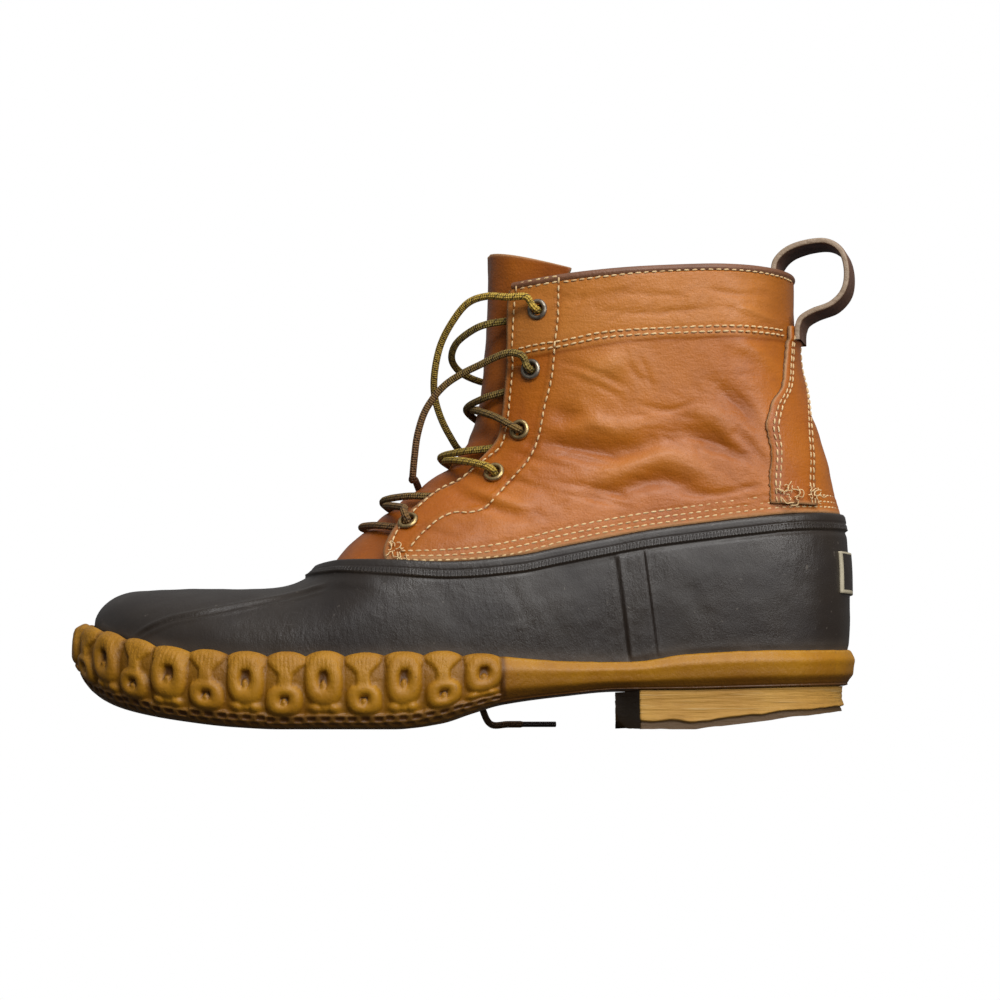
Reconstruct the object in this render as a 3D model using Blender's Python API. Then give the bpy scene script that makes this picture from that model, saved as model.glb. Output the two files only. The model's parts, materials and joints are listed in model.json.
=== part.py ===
"""Left duck boot: rubber bottom, leather shaft, chain-ribbed sole.

The toe points along -X, the outer side of the foot faces -Y, +Z is up, in metres.
Everything follows one last: half_width() gives the last's half width at any place of
the side view, and each piece is a stack of rings or rows read from it.
"""
import math

import bmesh
import bpy
import numpy as np
from mathutils import Vector
from mathutils.bvhtree import BVHTree

# Driving dimensions
LENGTH = 0.313
BALL_WIDTH = 0.101
VAMP_HEIGHT = 0.0556
COLLAR_HEIGHT = 0.181
LIP_HEIGHT = 0.0855
RIM_HEIGHT = 0.0276
HEEL_HEIGHT = 0.0154
SOLE_THICKNESS = 0.0097
RIM_WIDTH = 0.0068
BAND_HEIGHT = 0.0068
FLANGE_HEIGHT = 0.009
RUBBER_WALL = 0.0024
FLANGE_WALL = 0.0017
FLANGE_LEAN = 0.0007
LEATHER_WALL = 0.0022
TONGUE_WALL = 0.0022
INSOLE_THICKNESS = 0.003
GAP = 0.0003
SOLE_GAP = 0.0005

# How far the bead of the lip stands out, and how far the leather lies inside it
BEAD = 0.0012
LEATHER_INSET = 0.0006
CUFF_STEP = 0.0009
SEAM_RISE = 0.0010
TOE_RIDGE_RISE = 0.0009

# Toe of the last: start, depth and height of its rounded front, as seen from the side
TOE_START = 0.007
TOE_ROUND = 0.020
TOE_BASE = 0.041
TOE_PLAN_ROUND = 0.062
HEEL_PLAN_ROUND = 0.040

# Chain ribs of the forefoot
RIB_END = 0.172
RIB_PAIRS = 13
RIB_STEPS = 4
RIB_RISE = 0.0022
RIB_SCALLOP = 0.0016

# Heel block
HEEL_FRONT = 0.2255
HEEL_FLAT_END = 0.2470
HEEL_WEAR = 0.0078
HEEL_INSET = 0.0042
BREAST_SKEW = 0.006

# Collar binding, backstay and pull loop
BINDING = 0.0030
STRAP_WALL = 0.0022
STRAP_GAP = 0.0006
LOOP_WIDTH = 0.021

# Eyelets and laces
EYELET_OUTER = 0.0084
EYELET_BORE = 0.0048
EYELET_WALL = 0.0004
EYELET_RISE = 0.0010
LACE = 0.0030

# Stations of the foot, heel to toe as shares of LENGTH.
# centre and half are shares of BALL_WIDTH, bottom of HEEL_HEIGHT, thick of
# SOLE_THICKNESS, rim of RIM_HEIGHT and rim_width of RIM_WIDTH.
FOOT_COLUMNS = ("along", "centre", "half", "bottom", "thick", "rim", "rim_width")
FOOT = (
    (0.000, 0.089, 0.450, 1.360, 0.85, 1.485, 1.00),
    (0.035, 0.081, 0.455, 0.860, 1.10, 1.430, 1.00),
    (0.070, 0.071, 0.460, 0.560, 1.20, 1.304, 1.00),
    (0.110, 0.059, 0.468, 0.360, 1.15, 1.195, 1.00),
    (0.160, 0.045, 0.480, 0.195, 1.08, 1.080, 1.00),
    (0.220, 0.028, 0.493, 0.058, 1.02, 1.022, 1.00),
    (0.280, 0.012, 0.500, 0.000, 1.00, 1.000, 1.00),
    (0.350, -0.008, 0.498, 0.000, 1.00, 1.000, 1.00),
    (0.420, -0.024, 0.485, 0.000, 1.00, 1.014, 1.00),
    (0.470, -0.034, 0.469, 0.130, 0.96, 1.014, 1.00),
    (0.510, -0.040, 0.453, 0.390, 0.85, 1.007, 0.95),
    (0.550, -0.043, 0.436, 0.630, 0.75, 0.990, 0.85),
    (0.630, -0.042, 0.401, 0.857, 0.65, 0.935, 0.70),
    (0.700, -0.032, 0.379, 0.987, 0.60, 0.928, 0.60),
    (0.780, -0.020, 0.372, 1.000, 0.64, 1.036, 0.55),
    (0.860, -0.010, 0.366, 1.040, 0.64, 1.087, 0.50),
    (0.930, -0.003, 0.356, 1.080, 0.64, 1.100, 0.45),
    (1.000, 0.000, 0.347, 1.130, 0.64, 1.130, 0.30),
)

# Half widths of the last above the foot, as shares of BALL_WIDTH: at the rubber's lip,
# at the ankle and at the collar
WALL_COLUMNS = ("along", "lip", "ankle", "collar")
WALL = (
    (0.000, 0.450, 0.400, 0.380),
    (0.220, 0.485, 0.396, 0.376),
    (0.350, 0.470, 0.396, 0.376),
    (0.420, 0.455, 0.386, 0.376),
    (0.500, 0.434, 0.376, 0.386),
    (0.550, 0.421, 0.376, 0.396),
    (0.630, 0.404, 0.381, 0.406),
    (0.700, 0.391, 0.381, 0.411),
    (0.780, 0.381, 0.376, 0.406),
    (0.860, 0.371, 0.366, 0.391),
    (0.930, 0.356, 0.351, 0.371),
    (1.000, 0.347, 0.337, 0.356),
)
ANKLE_RISE = 0.47

# Vamp, instep and front of the shaft: along is a share of LENGTH, rise runs from 0 at
# the vamp to 1 at the collar, round is a share of BALL_WIDTH
FRONT_COLUMNS = ("along", "rise", "round")
FRONT = (
    (-0.200, 0.000, 0.270),
    (0.080, 0.000, 0.270),
    (0.160, 0.002, 0.277),
    (0.224, 0.001, 0.282),
    (0.268, 0.008, 0.287),
    (0.297, 0.032, 0.305),
    (0.316, 0.069, 0.325),
    (0.339, 0.143, 0.355),
    (0.371, 0.218, 0.385),
    (0.409, 0.297, 0.415),
    (0.444, 0.366, 0.445),
    (0.473, 0.418, 0.475),
    (0.494, 0.486, 0.505),
    (0.507, 0.561, 0.535),
    (0.515, 0.689, 0.565),
    (0.519, 0.833, 0.590),
    (0.521, 0.992, 0.595),
    (0.521, 1.200, 0.595),
)

# Back of the boot: height as a share of COLLAR_HEIGHT, along of LENGTH
BACK_COLUMNS = ("height", "along")
BACK = (
    (0.000, 0.981),
    (0.110, 0.989),
    (0.170, 0.9936),
    (0.250, 0.9965),
    (0.330, 0.9965),
    (0.420, 0.9936),
    (0.465, 0.9885),
    (0.497, 0.9825),
    (0.530, 0.9773),
    (0.586, 0.9720),
    (0.630, 0.9650),
    (0.670, 0.9580),
    (0.700, 0.9510),
    (0.757, 0.9406),
    (0.807, 0.9335),
    (0.867, 0.9313),
    (0.930, 0.9288),
    (0.983, 0.9290),
    (1.100, 0.9300),
)

# Top of the rubber's lip, height as a share of LIP_HEIGHT
LIP = (
    (0.000, 0.700),
    (0.280, 0.715),
    (0.300, 0.735),
    (0.320, 0.747),
    (0.350, 0.762),
    (0.410, 0.760),
    (0.480, 0.751),
    (0.570, 0.779),
    (0.620, 0.816),
    (0.675, 0.857),
    (0.735, 0.899),
    (0.800, 0.932),
    (0.860, 0.959),
    (0.930, 0.987),
    (1.000, 1.000),
)

# Collar edge, height as a share of COLLAR_HEIGHT
COLLAR = (
    (0.400, 0.960),
    (0.560, 0.975),
    (0.640, 0.987),
    (0.740, 1.000),
    (0.830, 1.006),
    (0.930, 1.008),
    (1.000, 1.010),
)

# Front edge of the quarters, from the lip up the lower lobe and the eyestay to the
# collar: along is a share of LENGTH, height of COLLAR_HEIGHT
EYESTAY = (
    (0.406, 0.360),
    (0.403, 0.383),
    (0.409, 0.415),
    (0.421, 0.449),
    (0.438, 0.478),
    (0.460, 0.509),
    (0.480, 0.527),
    (0.499, 0.545),
    (0.513, 0.573),
    (0.528, 0.598),
    (0.543, 0.630),
    (0.548, 0.667),
    (0.551, 0.713),
    (0.5545, 0.782),
    (0.557, 0.839),
    (0.557, 0.885),
    (0.5585, 0.940),
    (0.564, 0.985),
)

# Rings of the rubber: level runs from 0 at the sole's rim to 1 under the lip band, and
# front is where the ring crosses the toe or vamp, as a share of LENGTH
RUBBER_RINGS = (
    (0.00, 0.0230),
    (0.17, 0.0262),
    (0.36, 0.0500),
    (0.56, 0.1130),
    (0.78, 0.2160),
    (1.00, 0.2980),
)
LIP_FRONT = 0.3163
RING_FALL = 0.022

# Columns of a rubber ring on one side: shares of the run from the ring's front to
# FORE_END, with a lift where the toe ridge runs, then stations with the counter seams
FORE_END = 0.130
FORE_SHARES = (
    (0.00, 0.0),
    (0.035, 0.0),
    (0.075, 0.0),
    (0.130, 1.0),
    (0.150, 1.0),
    (0.172, 0.0),
    (0.26, 0.0),
    (0.40, 0.0),
    (0.60, 0.0),
    (0.80, 0.0),
    (1.00, 0.0),
)
SIDE_STATIONS = (
    (0.470, 0.0),
    (0.530, 0.0),
    (0.600, 0.0),
    (0.660, 0.0),
    (0.698, 0.0),
    (0.7015, 1.0),
    (0.7075, 1.0),
    (0.711, 0.0),
    (0.729, 0.0),
    (0.7315, 0.6),
    (0.7345, 0.6),
    (0.737, 0.0),
    (0.790, 0.0),
    (0.845, 0.0),
    (0.890, 0.0),
    (0.925, 0.0),
    (0.952, 0.0),
    (0.973, 0.0),
)

# Rows of the leather shell from its raw edge to the collar, with the cuff's step
UPPER_ROWS = (0.0, 0.10, 0.20, 0.30, 0.40, 0.51, 0.63)
CUFF_ROW = 0.775
CUFF_TOP_ROWS = (0.79, 0.89, 1.0)

# Columns of the leather on one side: stations of its lowest row, as shares of LENGTH
UPPER_STATIONS = (
    0.4060, 0.4153, 0.4430, 0.4700, 0.5300, 0.6000, 0.6600, 0.7015, 0.7345, 0.7900,
    0.8450, 0.8900, 0.9250, 0.9520, 0.9730, 0.9806, 0.9847,
)

# Tongue: rows from the throat to its free top
TONGUE_ROWS = 14
TONGUE_COLUMNS = 5
TONGUE_TOP = 1.07
TONGUE_SPREAD = 1.2
TONGUE_OVERLAP = 0.030
TONGUE_SINK = 0.0078
TONGUE_FRONT_SINK = 0.0033

# Eyelet centres on one side, top to bottom: along of LENGTH, height of COLLAR_HEIGHT
EYELETS = (
    (0.5958, 0.909),
    (0.5866, 0.779),
    (0.5725, 0.647),
    (0.5406, 0.554),
    (0.4336, 0.4475),
)

# Backstay: share of the way up the back from the rubber to the collar, then arc lengths
# round the back from its middle
# towards the outer side, as shares of BALL_WIDTH: centre and half width
BACKSTAY = (
    (0.051, 0.404, 0.107),
    (0.163, 0.376, 0.108),
    (0.256, 0.350, 0.112),
    (0.340, 0.328, 0.124),
    (0.423, 0.275, 0.124),
    (0.516, 0.196, 0.110),
    (0.628, 0.140, 0.107),
    (0.768, 0.110, 0.104),
)

# Pull loop, seen from the side: how far behind the shaft's back and how far above the
# backstay's top, as shares of COLLAR_HEIGHT
LOOP_PATH = (
    (0.004, 0.012),
    (0.012, 0.022),
    (0.036, 0.034),
    (0.078, 0.047),
    (0.106, 0.078),
    (0.112, 0.122),
    (0.100, 0.164),
    (0.068, 0.186),
    (0.022, 0.185),
    (-0.019, 0.172),
    (-0.044, 0.148),
    (-0.050, 0.120),
)

# Loose runs of the lace between their eyelets: station of LENGTH, distance to the outer
# side of BALL_WIDTH (inner side below 0), height of COLLAR_HEIGHT
LACE_LOOP = (
    (0.570, 0.345, 0.940),
    (0.548, 0.300, 0.942),
    (0.520, 0.235, 0.940),
    (0.495, 0.165, 0.905),
    (0.477, 0.100, 0.850),
    (0.467, 0.045, 0.780),
    (0.466, -0.010, 0.705),
    (0.477, -0.070, 0.660),
    (0.492, -0.150, 0.640),
    (0.510, -0.235, 0.665),
    (0.535, -0.320, 0.740),
    (0.560, -0.375, 0.830),
    (0.580, -0.395, 0.890),
)
LACE_END_OPEN = (
    (0.560, 0.330, 0.808),
    (0.535, 0.245, 0.800),
    (0.505, 0.165, 0.775),
    (0.478, 0.115, 0.740),
    (0.458, 0.090, 0.690),
    (0.445, 0.075, 0.625),
    (0.436, 0.045, 0.575),
    (0.431, 0.000, 0.552),
    (0.436, -0.060, 0.548),
)
# The lace's end down the inner side: station of LENGTH, height of COLLAR_HEIGHT,
# distance off the last of BALL_WIDTH
LACE_END_SIDE = (
    (0.452, 0.505, 0.042),
    (0.468, 0.450, 0.040),
    (0.478, 0.390, 0.042),
    (0.485, 0.325, 0.046),
    (0.492, 0.250, 0.058),
    (0.500, 0.185, 0.100),
    (0.507, 0.110, 0.128),
    (0.517, 0.045, 0.140),
)
# Where it lies on the floor: station of LENGTH, distance to the inner side of BALL_WIDTH
LACE_END_FLOOR = ((0.536, 0.640), (0.560, 0.690), (0.590, 0.740), (0.625, 0.770))
LACE_SUNK = 0.0049
LACE_OVER = 0.0033
AGLET_LENGTH = 0.018

MILLI = 0.001


def monotone(rows, column, value):
    """A smooth curve through a table's first and given columns, with no overshoot."""
    xs = [row[0] for row in rows]
    ys = [row[column] for row in rows]
    if value <= xs[0]:
        return ys[0]
    if value >= xs[-1]:
        return ys[-1]
    i = max(k for k in range(len(xs) - 1) if xs[k] <= value)
    slopes = [(ys[k + 1] - ys[k]) / (xs[k + 1] - xs[k]) for k in range(len(xs) - 1)]

    def tangent(k):
        if k == 0 or k == len(xs) - 1:
            return slopes[0] if k == 0 else slopes[-1]
        before, after = slopes[k - 1], slopes[k]
        if before * after <= 0.0:
            return 0.0
        return 2.0 * before * after / (before + after)

    width = xs[i + 1] - xs[i]
    t = (value - xs[i]) / width
    return (
        ys[i] * (1 + 2 * t) * (1 - t) ** 2
        + ys[i + 1] * t * t * (3 - 2 * t)
        + tangent(i) * width * t * (1 - t) ** 2
        - tangent(i + 1) * width * t * t * (1 - t)
    )


def smooth(t):
    """Smooth step from 0 to 1."""
    t = min(1.0, max(0.0, t))
    return t * t * (3.0 - 2.0 * t)


def mix(a, b, t):
    """Straight blend of a and b."""
    return a + (b - a) * t


def rounded(depth, power=2.2):
    """1 well inside an outline and 0 on it, round like a superellipse."""
    t = min(1.0, max(0.0, depth))
    return max(0.0, 1.0 - (1.0 - t) ** power) ** (1.0 / power)


def foot(name, s):
    """A column of the foot's stations at s metres from the toe."""
    scale = {
        "centre": BALL_WIDTH,
        "half": BALL_WIDTH,
        "bottom": HEEL_HEIGHT,
        "thick": SOLE_THICKNESS,
        "rim": RIM_HEIGHT,
        "rim_width": RIM_WIDTH,
    }[name]
    return scale * monotone(FOOT, FOOT_COLUMNS.index(name), s / LENGTH)


def bed(s):
    """Height of the footbed, on top of the sole."""
    return foot("bottom", s) + foot("thick", s)


def lip(s):
    """Height of the rubber's lip."""
    return LIP_HEIGHT * monotone(LIP, 1, s / LENGTH)


def collar(s):
    """Height of the collar edge."""
    return COLLAR_HEIGHT * monotone(COLLAR, 1, s / LENGTH)


def back(z):
    """Distance from the toe to the boot's back at height z."""
    return LENGTH * monotone(BACK, 1, z / COLLAR_HEIGHT)


def front_curve():
    """Points s, z, radius along the vamp, the instep and the front of the shaft."""
    rows = [
        (
            row[0] * LENGTH,
            VAMP_HEIGHT + row[1] * (COLLAR_HEIGHT - VAMP_HEIGHT),
            row[2] * BALL_WIDTH,
        )
        for row in FRONT
    ]
    return np.array(catmull(rows, 8))


def catmull(points, steps):
    """Points on a smooth curve through the given ones, steps to a span."""
    p = [np.array(point, dtype=float) for point in points]
    p = [2 * p[0] - p[1]] + p + [2 * p[-1] - p[-2]]
    out = []
    for i in range(1, len(p) - 2):
        for k in range(steps):
            t = k / steps
            out.append(
                0.5
                * (
                    2 * p[i]
                    + (p[i + 1] - p[i - 1]) * t
                    + (2 * p[i - 1] - 5 * p[i] + 4 * p[i + 1] - p[i + 2]) * t * t
                    + (3 * p[i] - p[i - 1] - 3 * p[i + 1] + p[i + 2]) * t ** 3
                )
            )
    out.append(p[-2])
    return out


FRONT_LINE = front_curve()


def front_distance(s, z):
    """Distance inside the front line, and the last's roundness there."""
    a = FRONT_LINE[:-1]
    b = FRONT_LINE[1:]
    run = b[:, :2] - a[:, :2]
    length2 = np.maximum((run ** 2).sum(1), 1e-12)
    t = np.clip((((s, z) - a[:, :2]) * run).sum(1) / length2, 0.0, 1.0)
    near = a[:, :2] + run * t[:, None]
    gap = np.hypot(near[:, 0] - s, near[:, 1] - z)
    k = int(gap.argmin())
    cross = run[k, 0] * (z - a[k, 1]) - run[k, 1] * (s - a[k, 0])
    inside = -1.0 if cross > 0.0 else 1.0
    return inside * gap[k], mix(a[k, 2], b[k, 2], t[k])


def top_line(s):
    """Height of the vamp and throat line at s, with the toe's rounded front."""
    inner = min(1.0, max(0.0, (s - TOE_START) / TOE_ROUND))
    toe = TOE_BASE + (VAMP_HEIGHT - TOE_BASE) * math.sqrt(1.0 - (1.0 - inner) ** 2)
    z = float(np.interp(s, FRONT_LINE[:, 0], FRONT_LINE[:, 1]))
    return z if inner >= 1.0 else toe


def half_width(s, z):
    """Half width of the last at s metres from the toe and height z."""
    share = s / LENGTH
    rim = foot("rim", s)
    lip_z = lip(s)
    ankle_z = mix(VAMP_HEIGHT, COLLAR_HEIGHT, ANKLE_RISE)
    widths = [foot("half", s)]
    widths += [BALL_WIDTH * monotone(WALL, k, share) for k in (1, 2, 3)]
    if z < lip_z:
        t = (z - rim) / (lip_z - rim)
        width = mix(widths[0], widths[1], smooth(t))
        width += 0.012 * BALL_WIDTH * math.sin(math.pi * min(1.0, max(0.0, t)))
    elif z < ankle_z:
        width = mix(widths[1], widths[2], smooth((z - lip_z) / (ankle_z - lip_z)))
    else:
        width = mix(widths[2], widths[3], smooth((z - ankle_z) / (COLLAR_HEIGHT - ankle_z)))
    base = rim - 0.006
    squeeze = (VAMP_HEIGHT - base) / max(0.004, top_line(s) - base)
    toe_z = base + (z - base) * max(1.0, squeeze) if s < TOE_START + TOE_ROUND else z
    depth, radius = front_distance(s, toe_z)
    plan_toe = rounded((s - TOE_START) / TOE_PLAN_ROUND)
    plan_heel = rounded((back(z) - s) / HEEL_PLAN_ROUND)
    return width * rounded(depth / radius) * plan_toe * plan_heel


def centre(s, z):
    """Side shift of the last's curved centre line, fading up the shaft."""
    fade = smooth((z - 0.060) / 0.050)
    return foot("centre", s) * (1.0 - 0.85 * fade)


def on_last(s, z, side):
    """The point of the last on one side, -1 outer or +1 inner; s runs from the toe."""
    return Vector((s, centre(s, z) + side * half_width(s, z), z))


def last_normal(p):
    """Outward unit normal of the last at one of its points."""
    s, z, step = p[0], p[2], 0.0004
    across = p[1] - centre(s, z)

    def slope(function):
        return (
            (function(s + step, z) - function(s - step, z)) / (2 * step),
            (function(s, z + step) - function(s, z - step)) / (2 * step),
        )

    square_s, square_z = slope(lambda a, b: half_width(a, b) ** 2)
    centre_s, centre_z = slope(centre)
    return Vector(
        (-square_s - 2 * across * centre_s, 2 * across, -square_z - 2 * across * centre_z)
    ).normalized()


def grid_normals(grid):
    """Outward unit normals at every point of a grid on the last."""
    return [[last_normal(p) for p in row] for row in grid]


def offset(grid, normals, amounts):
    """The grid moved along its normals; amounts is a number per row or a function."""
    return [
        [
            p + n * (amounts(i, j) if callable(amounts) else amounts[i])
            for j, (p, n) in enumerate(zip(row, normal_row))
        ]
        for i, (row, normal_row) in enumerate(zip(grid, normals))
    ]


def shell(name, outer, inner, closed, material):
    """A solid between two grids of the same shape; closed grids go all the way round."""
    mesh = bpy.data.meshes.new(name)
    bm = bmesh.new()
    skins = [[[bm.verts.new(place(p)) for p in row] for row in g] for g in (outer, inner)]
    out, inn = skins
    rows, count = len(outer), len(outer[0])
    last = count if closed else count - 1
    for i in range(rows - 1):
        for j in range(last):
            k = (j + 1) % count
            bm.faces.new((out[i][j], out[i][k], out[i + 1][k], out[i + 1][j]))
            bm.faces.new((inn[i][j], inn[i + 1][j], inn[i + 1][k], inn[i][k]))
    for j in range(last):
        k = (j + 1) % count
        bm.faces.new((out[0][j], inn[0][j], inn[0][k], out[0][k]))
        bm.faces.new((out[-1][j], out[-1][k], inn[-1][k], inn[-1][j]))
    if not closed:
        for i in range(rows - 1):
            bm.faces.new((out[i][0], out[i + 1][0], inn[i + 1][0], inn[i][0]))
            bm.faces.new((out[i][-1], inn[i][-1], inn[i + 1][-1], out[i + 1][-1]))
    return finish_mesh(name, bm, mesh, material)


def finish_mesh(name, bm, mesh, material):
    """Closes a bmesh into an object with outward faces, all triangles, so that every
    tool sees the same surface."""
    bmesh.ops.triangulate(bm, faces=bm.faces)
    bmesh.ops.recalc_face_normals(bm, faces=bm.faces)
    bm.to_mesh(mesh)
    bm.free()
    mesh.shade_smooth()
    mesh.set_sharp_from_angle(angle=math.radians(40))
    mesh.materials.append(material)
    obj = bpy.data.objects.new(name, mesh)
    bpy.context.collection.objects.link(obj)
    return obj


def place(p):
    """A point measured from the toe, in the part's frame, with the toe at -X."""
    return Vector((p[0] - 0.5 * LENGTH, p[1], p[2]))


def unplace(p):
    """A point of the part's frame, measured from the toe again."""
    return Vector((p[0] + 0.5 * LENGTH, p[1], p[2]))


def finish(name, colour, roughness, metallic=0.0):
    """A plain material for a piece."""
    material = bpy.data.materials.new(name)
    material.use_nodes = True
    shader = material.node_tree.nodes["Principled BSDF"]
    shader.inputs["Base Color"].default_value = (*colour, 1.0)
    shader.inputs["Roughness"].default_value = roughness
    shader.inputs["Metallic"].default_value = metallic
    material.diffuse_color = (*colour, 1.0)
    return material


def rubber_stations(front):
    """Stations and seam lifts of one side of a rubber ring that starts at front."""
    fore = [(mix(front, FORE_END, share), lift) for share, lift in FORE_SHARES]
    fore = [(s, lift * TOE_RIDGE_RISE) for s, lift in fore]
    return fore + [(share * LENGTH, lift * SEAM_RISE) for share, lift in SIDE_STATIONS]


def side_level(level, s):
    """Height of a rubber ring on the boot's side; above 1 it climbs the lip band."""
    band = lip(s) - BAND_HEIGHT
    rim = foot("rim", s)
    if level <= 1.0:
        return mix(rim, band, level)
    return mix(band, lip(s), level - 1.0)


def rubber_ring(level, front, rise=0.0):
    """A closed ring of the rubber: front, outer side, back, inner side."""
    s_front = front * LENGTH
    z_front = side_level(level, s_front) if level == 0.0 else top_line(s_front)
    stations = rubber_stations(s_front)
    sides = {-1: [], 1: []}
    for s, _ in stations[1:]:
        level_z = side_level(level, s) + rise * flange_share(s)
        fall = math.exp(-((s - s_front) / RING_FALL))
        start = side_level(level, s_front)
        z = level_z + (z_front - start) * fall
        for side in (-1, 1):
            sides[side].append(on_last(s, z, side))
    z_back = side_level(level, LENGTH) + rise
    tail = back(z_back)
    first = Vector((s_front, centre(s_front, z_front), z_front))
    near_back = [mix(stations[-1][0], tail, t) for t in (0.55, 0.85)]
    for s in near_back:
        for side in (-1, 1):
            sides[side].append(on_last(s, z_back, side))
    end = Vector((tail, centre(tail, z_back), z_back))
    return [first] + sides[-1] + [end] + sides[1][::-1]


def flange_share(s):
    """The sewing flange's height along the boot: none at the throat."""
    return smooth((s - 0.136) / 0.016)


def ring_lifts():
    """Seam lift of every column of a rubber ring."""
    side = [lift for _, lift in rubber_stations(LIP_FRONT * LENGTH)[1:]] + [0.0, 0.0]
    return [0.0] + side + [0.0] + side[::-1]


def rubber_bottom(material):
    """The rubber bottom: wall, toe ridges, counter seams, lip band and sewing flange."""
    rows = [rubber_ring(level, front) for level, front in RUBBER_RINGS]
    base = [Vector((p.x, p.y, bed(p.x) + SOLE_GAP)) for p in rows[0]]
    bead_front = mix(RUBBER_RINGS[-1][1], LIP_FRONT, 0.10)
    bead_top = mix(RUBBER_RINGS[-1][1], LIP_FRONT, 0.90)
    rows = [base] + rows
    rows += [rubber_ring(1.10, bead_front), rubber_ring(1.90, bead_top)]
    rows += [rubber_ring(2.0, LIP_FRONT)]
    flange = rubber_ring(2.0, LIP_FRONT + 0.0016, FLANGE_HEIGHT)
    smooth_rows = rows + [flange]
    normals = grid_normals(smooth_rows)
    level = [Vector((n.x, n.y, 0.0)).normalized() for n in normals[1]]
    normals[0] = normals[1] = level
    rows.append(rows[-1])
    rows.append(flange)
    normals.insert(-1, normals[-2])
    wall_rows = len(RUBBER_RINGS)
    deep = LEATHER_INSET + LEATHER_WALL + GAP
    out = [-0.0015] + [0.0] * wall_rows + [0.7 * BEAD, BEAD, 0.3 * BEAD, -deep]
    out.append(-deep - FLANGE_LEAN)
    skin = deep + FLANGE_WALL
    inn = [-0.0015 - RUBBER_WALL] + [-RUBBER_WALL] * wall_rows
    inn += [-RUBBER_WALL, -0.5 * (RUBBER_WALL + skin), -skin, -skin, -skin - FLANGE_LEAN]
    lifts = ring_lifts()

    def lifted(i, j):
        wall = 2 <= i <= wall_rows
        return out[i] + (lifts[j] if wall else 0.0)

    outer = offset(rows, normals, lifted)
    inner = offset(rows, normals, inn)
    return shell("rubber_bottom", outer, inner, True, material)


def eyestay_edge(v):
    """Place of the quarters' front edge at share v of its length, 0 at the lip."""
    rows = [(s * LENGTH, z * COLLAR_HEIGHT) for s, z in EYESTAY]
    rows[0] = (rows[0][0], lip(rows[0][0]))
    line = np.array(catmull(rows, 6))
    run = np.concatenate([[0.0], np.cumsum(np.hypot(*np.diff(line, axis=0).T))])
    at = v * run[-1]
    return float(np.interp(at, run, line[:, 0])), float(np.interp(at, run, line[:, 1]))


def upper_height(v, s, s_edge, z_edge, s_back):
    """Height of leather row v at s."""
    top = collar(s_edge) - BINDING
    rise_front = (z_edge - lip(s_edge)) / (top - lip(s_edge))
    t = smooth((s - s_edge) / (s_back - s_edge))
    rise = mix(min(1.0, rise_front), v, t)
    return mix(lip(s) + GAP, collar(s) - BINDING, rise)


def upper_row(v):
    """A row of the leather from the outer eyestay round the back to the inner one."""
    s_edge, z_edge = eyestay_edge(v)
    z_back = mix(lip(LENGTH) + GAP, collar(LENGTH) - BINDING, v)
    s_back = back(z_back)
    sides = {-1: [], 1: []}
    low_back = back(lip(LENGTH) + GAP) / LENGTH
    for station in UPPER_STATIONS:
        share = (station - UPPER_STATIONS[0]) / (low_back - UPPER_STATIONS[0])
        s = mix(s_edge, s_back, share)
        z = upper_height(v, s, s_edge, z_edge, s_back)
        for side in (-1, 1):
            sides[side].append(on_last(s, z, side))
    end = Vector((s_back, centre(s_back, z_back), z_back))
    return sides[-1] + [end] + sides[1][::-1]


def upper_grid():
    """Rows, normals and outward offsets of the leather shell's outside."""
    levels = list(UPPER_ROWS) + [CUFF_ROW] + list(CUFF_TOP_ROWS)
    grid = [upper_row(v) for v in levels]
    normals = grid_normals(grid)
    cuffs = len(UPPER_ROWS)
    rises = [-LEATHER_INSET] * (cuffs + 1) + [CUFF_STEP - LEATHER_INSET] * len(CUFF_TOP_ROWS)
    return grid, normals, rises


def eyelet_frames(leather=None):
    """Centre on the leather's outside, outward normal and number of each eyelet; the
    faces of the leather decide where it is given."""
    frames = []
    tree = None
    if leather is not None:
        tree = BVHTree.FromObject(leather, bpy.context.evaluated_depsgraph_get())
    for side, label in ((-1, "outer"), (1, "inner")):
        for number, (along, height) in enumerate(EYELETS, 1):
            s, z = along * LENGTH, height * COLLAR_HEIGHT
            normal = last_normal(on_last(s, z, side))
            rise = -LEATHER_INSET + (CUFF_STEP if height > 0.86 else 0.0)
            point = on_last(s, z, side) + normal * rise
            if tree is not None:
                hit, face_normal, _, _ = tree.ray_cast(place(point + normal * 0.005), -normal)
                point, normal = unplace(hit), face_normal.lerp(normal, 0.3).normalized()
            frames.append((point, normal, label, number))
    return frames


def cylinder_cutter(name, point, normal, radius, depth):
    """A hidden cylinder along a normal, to cut a hole."""
    bm = bmesh.new()
    bmesh.ops.create_cone(
        bm, cap_ends=True, segments=12, radius1=radius, radius2=radius, depth=depth
    )
    turn = Vector((0, 0, 1)).rotation_difference(normal).to_matrix()
    for vert in bm.verts:
        vert.co = turn @ vert.co + place(point)
    mesh = bpy.data.meshes.new(name)
    bm.to_mesh(mesh)
    bm.free()
    obj = bpy.data.objects.new(name, mesh)
    bpy.context.collection.objects.link(obj)
    obj.hide_render = True
    obj.display_type = "WIRE"
    return obj


def upper(material):
    """The leather quarters and shaft, one hollow shell with the raised cuff."""
    grid, normals, rises = upper_grid()
    outer = offset(grid, normals, rises)
    inner = offset(grid, normals, [-LEATHER_INSET - LEATHER_WALL] * len(grid))
    obj = shell("upper", outer, inner, False, material)
    frames = eyelet_frames(obj)
    for point, normal, label, number in frames:
        cutter = cylinder_cutter(
            f"hole_{label}_{number}",
            point,
            normal,
            0.5 * EYELET_BORE + EYELET_WALL + GAP,
            6 * LEATHER_WALL,
        )
        cut = obj.modifiers.new(cutter.name, "BOOLEAN")
        cut.operation = "DIFFERENCE"
        cut.solver = "EXACT"
        cut.object = cutter
    return obj, frames


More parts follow.
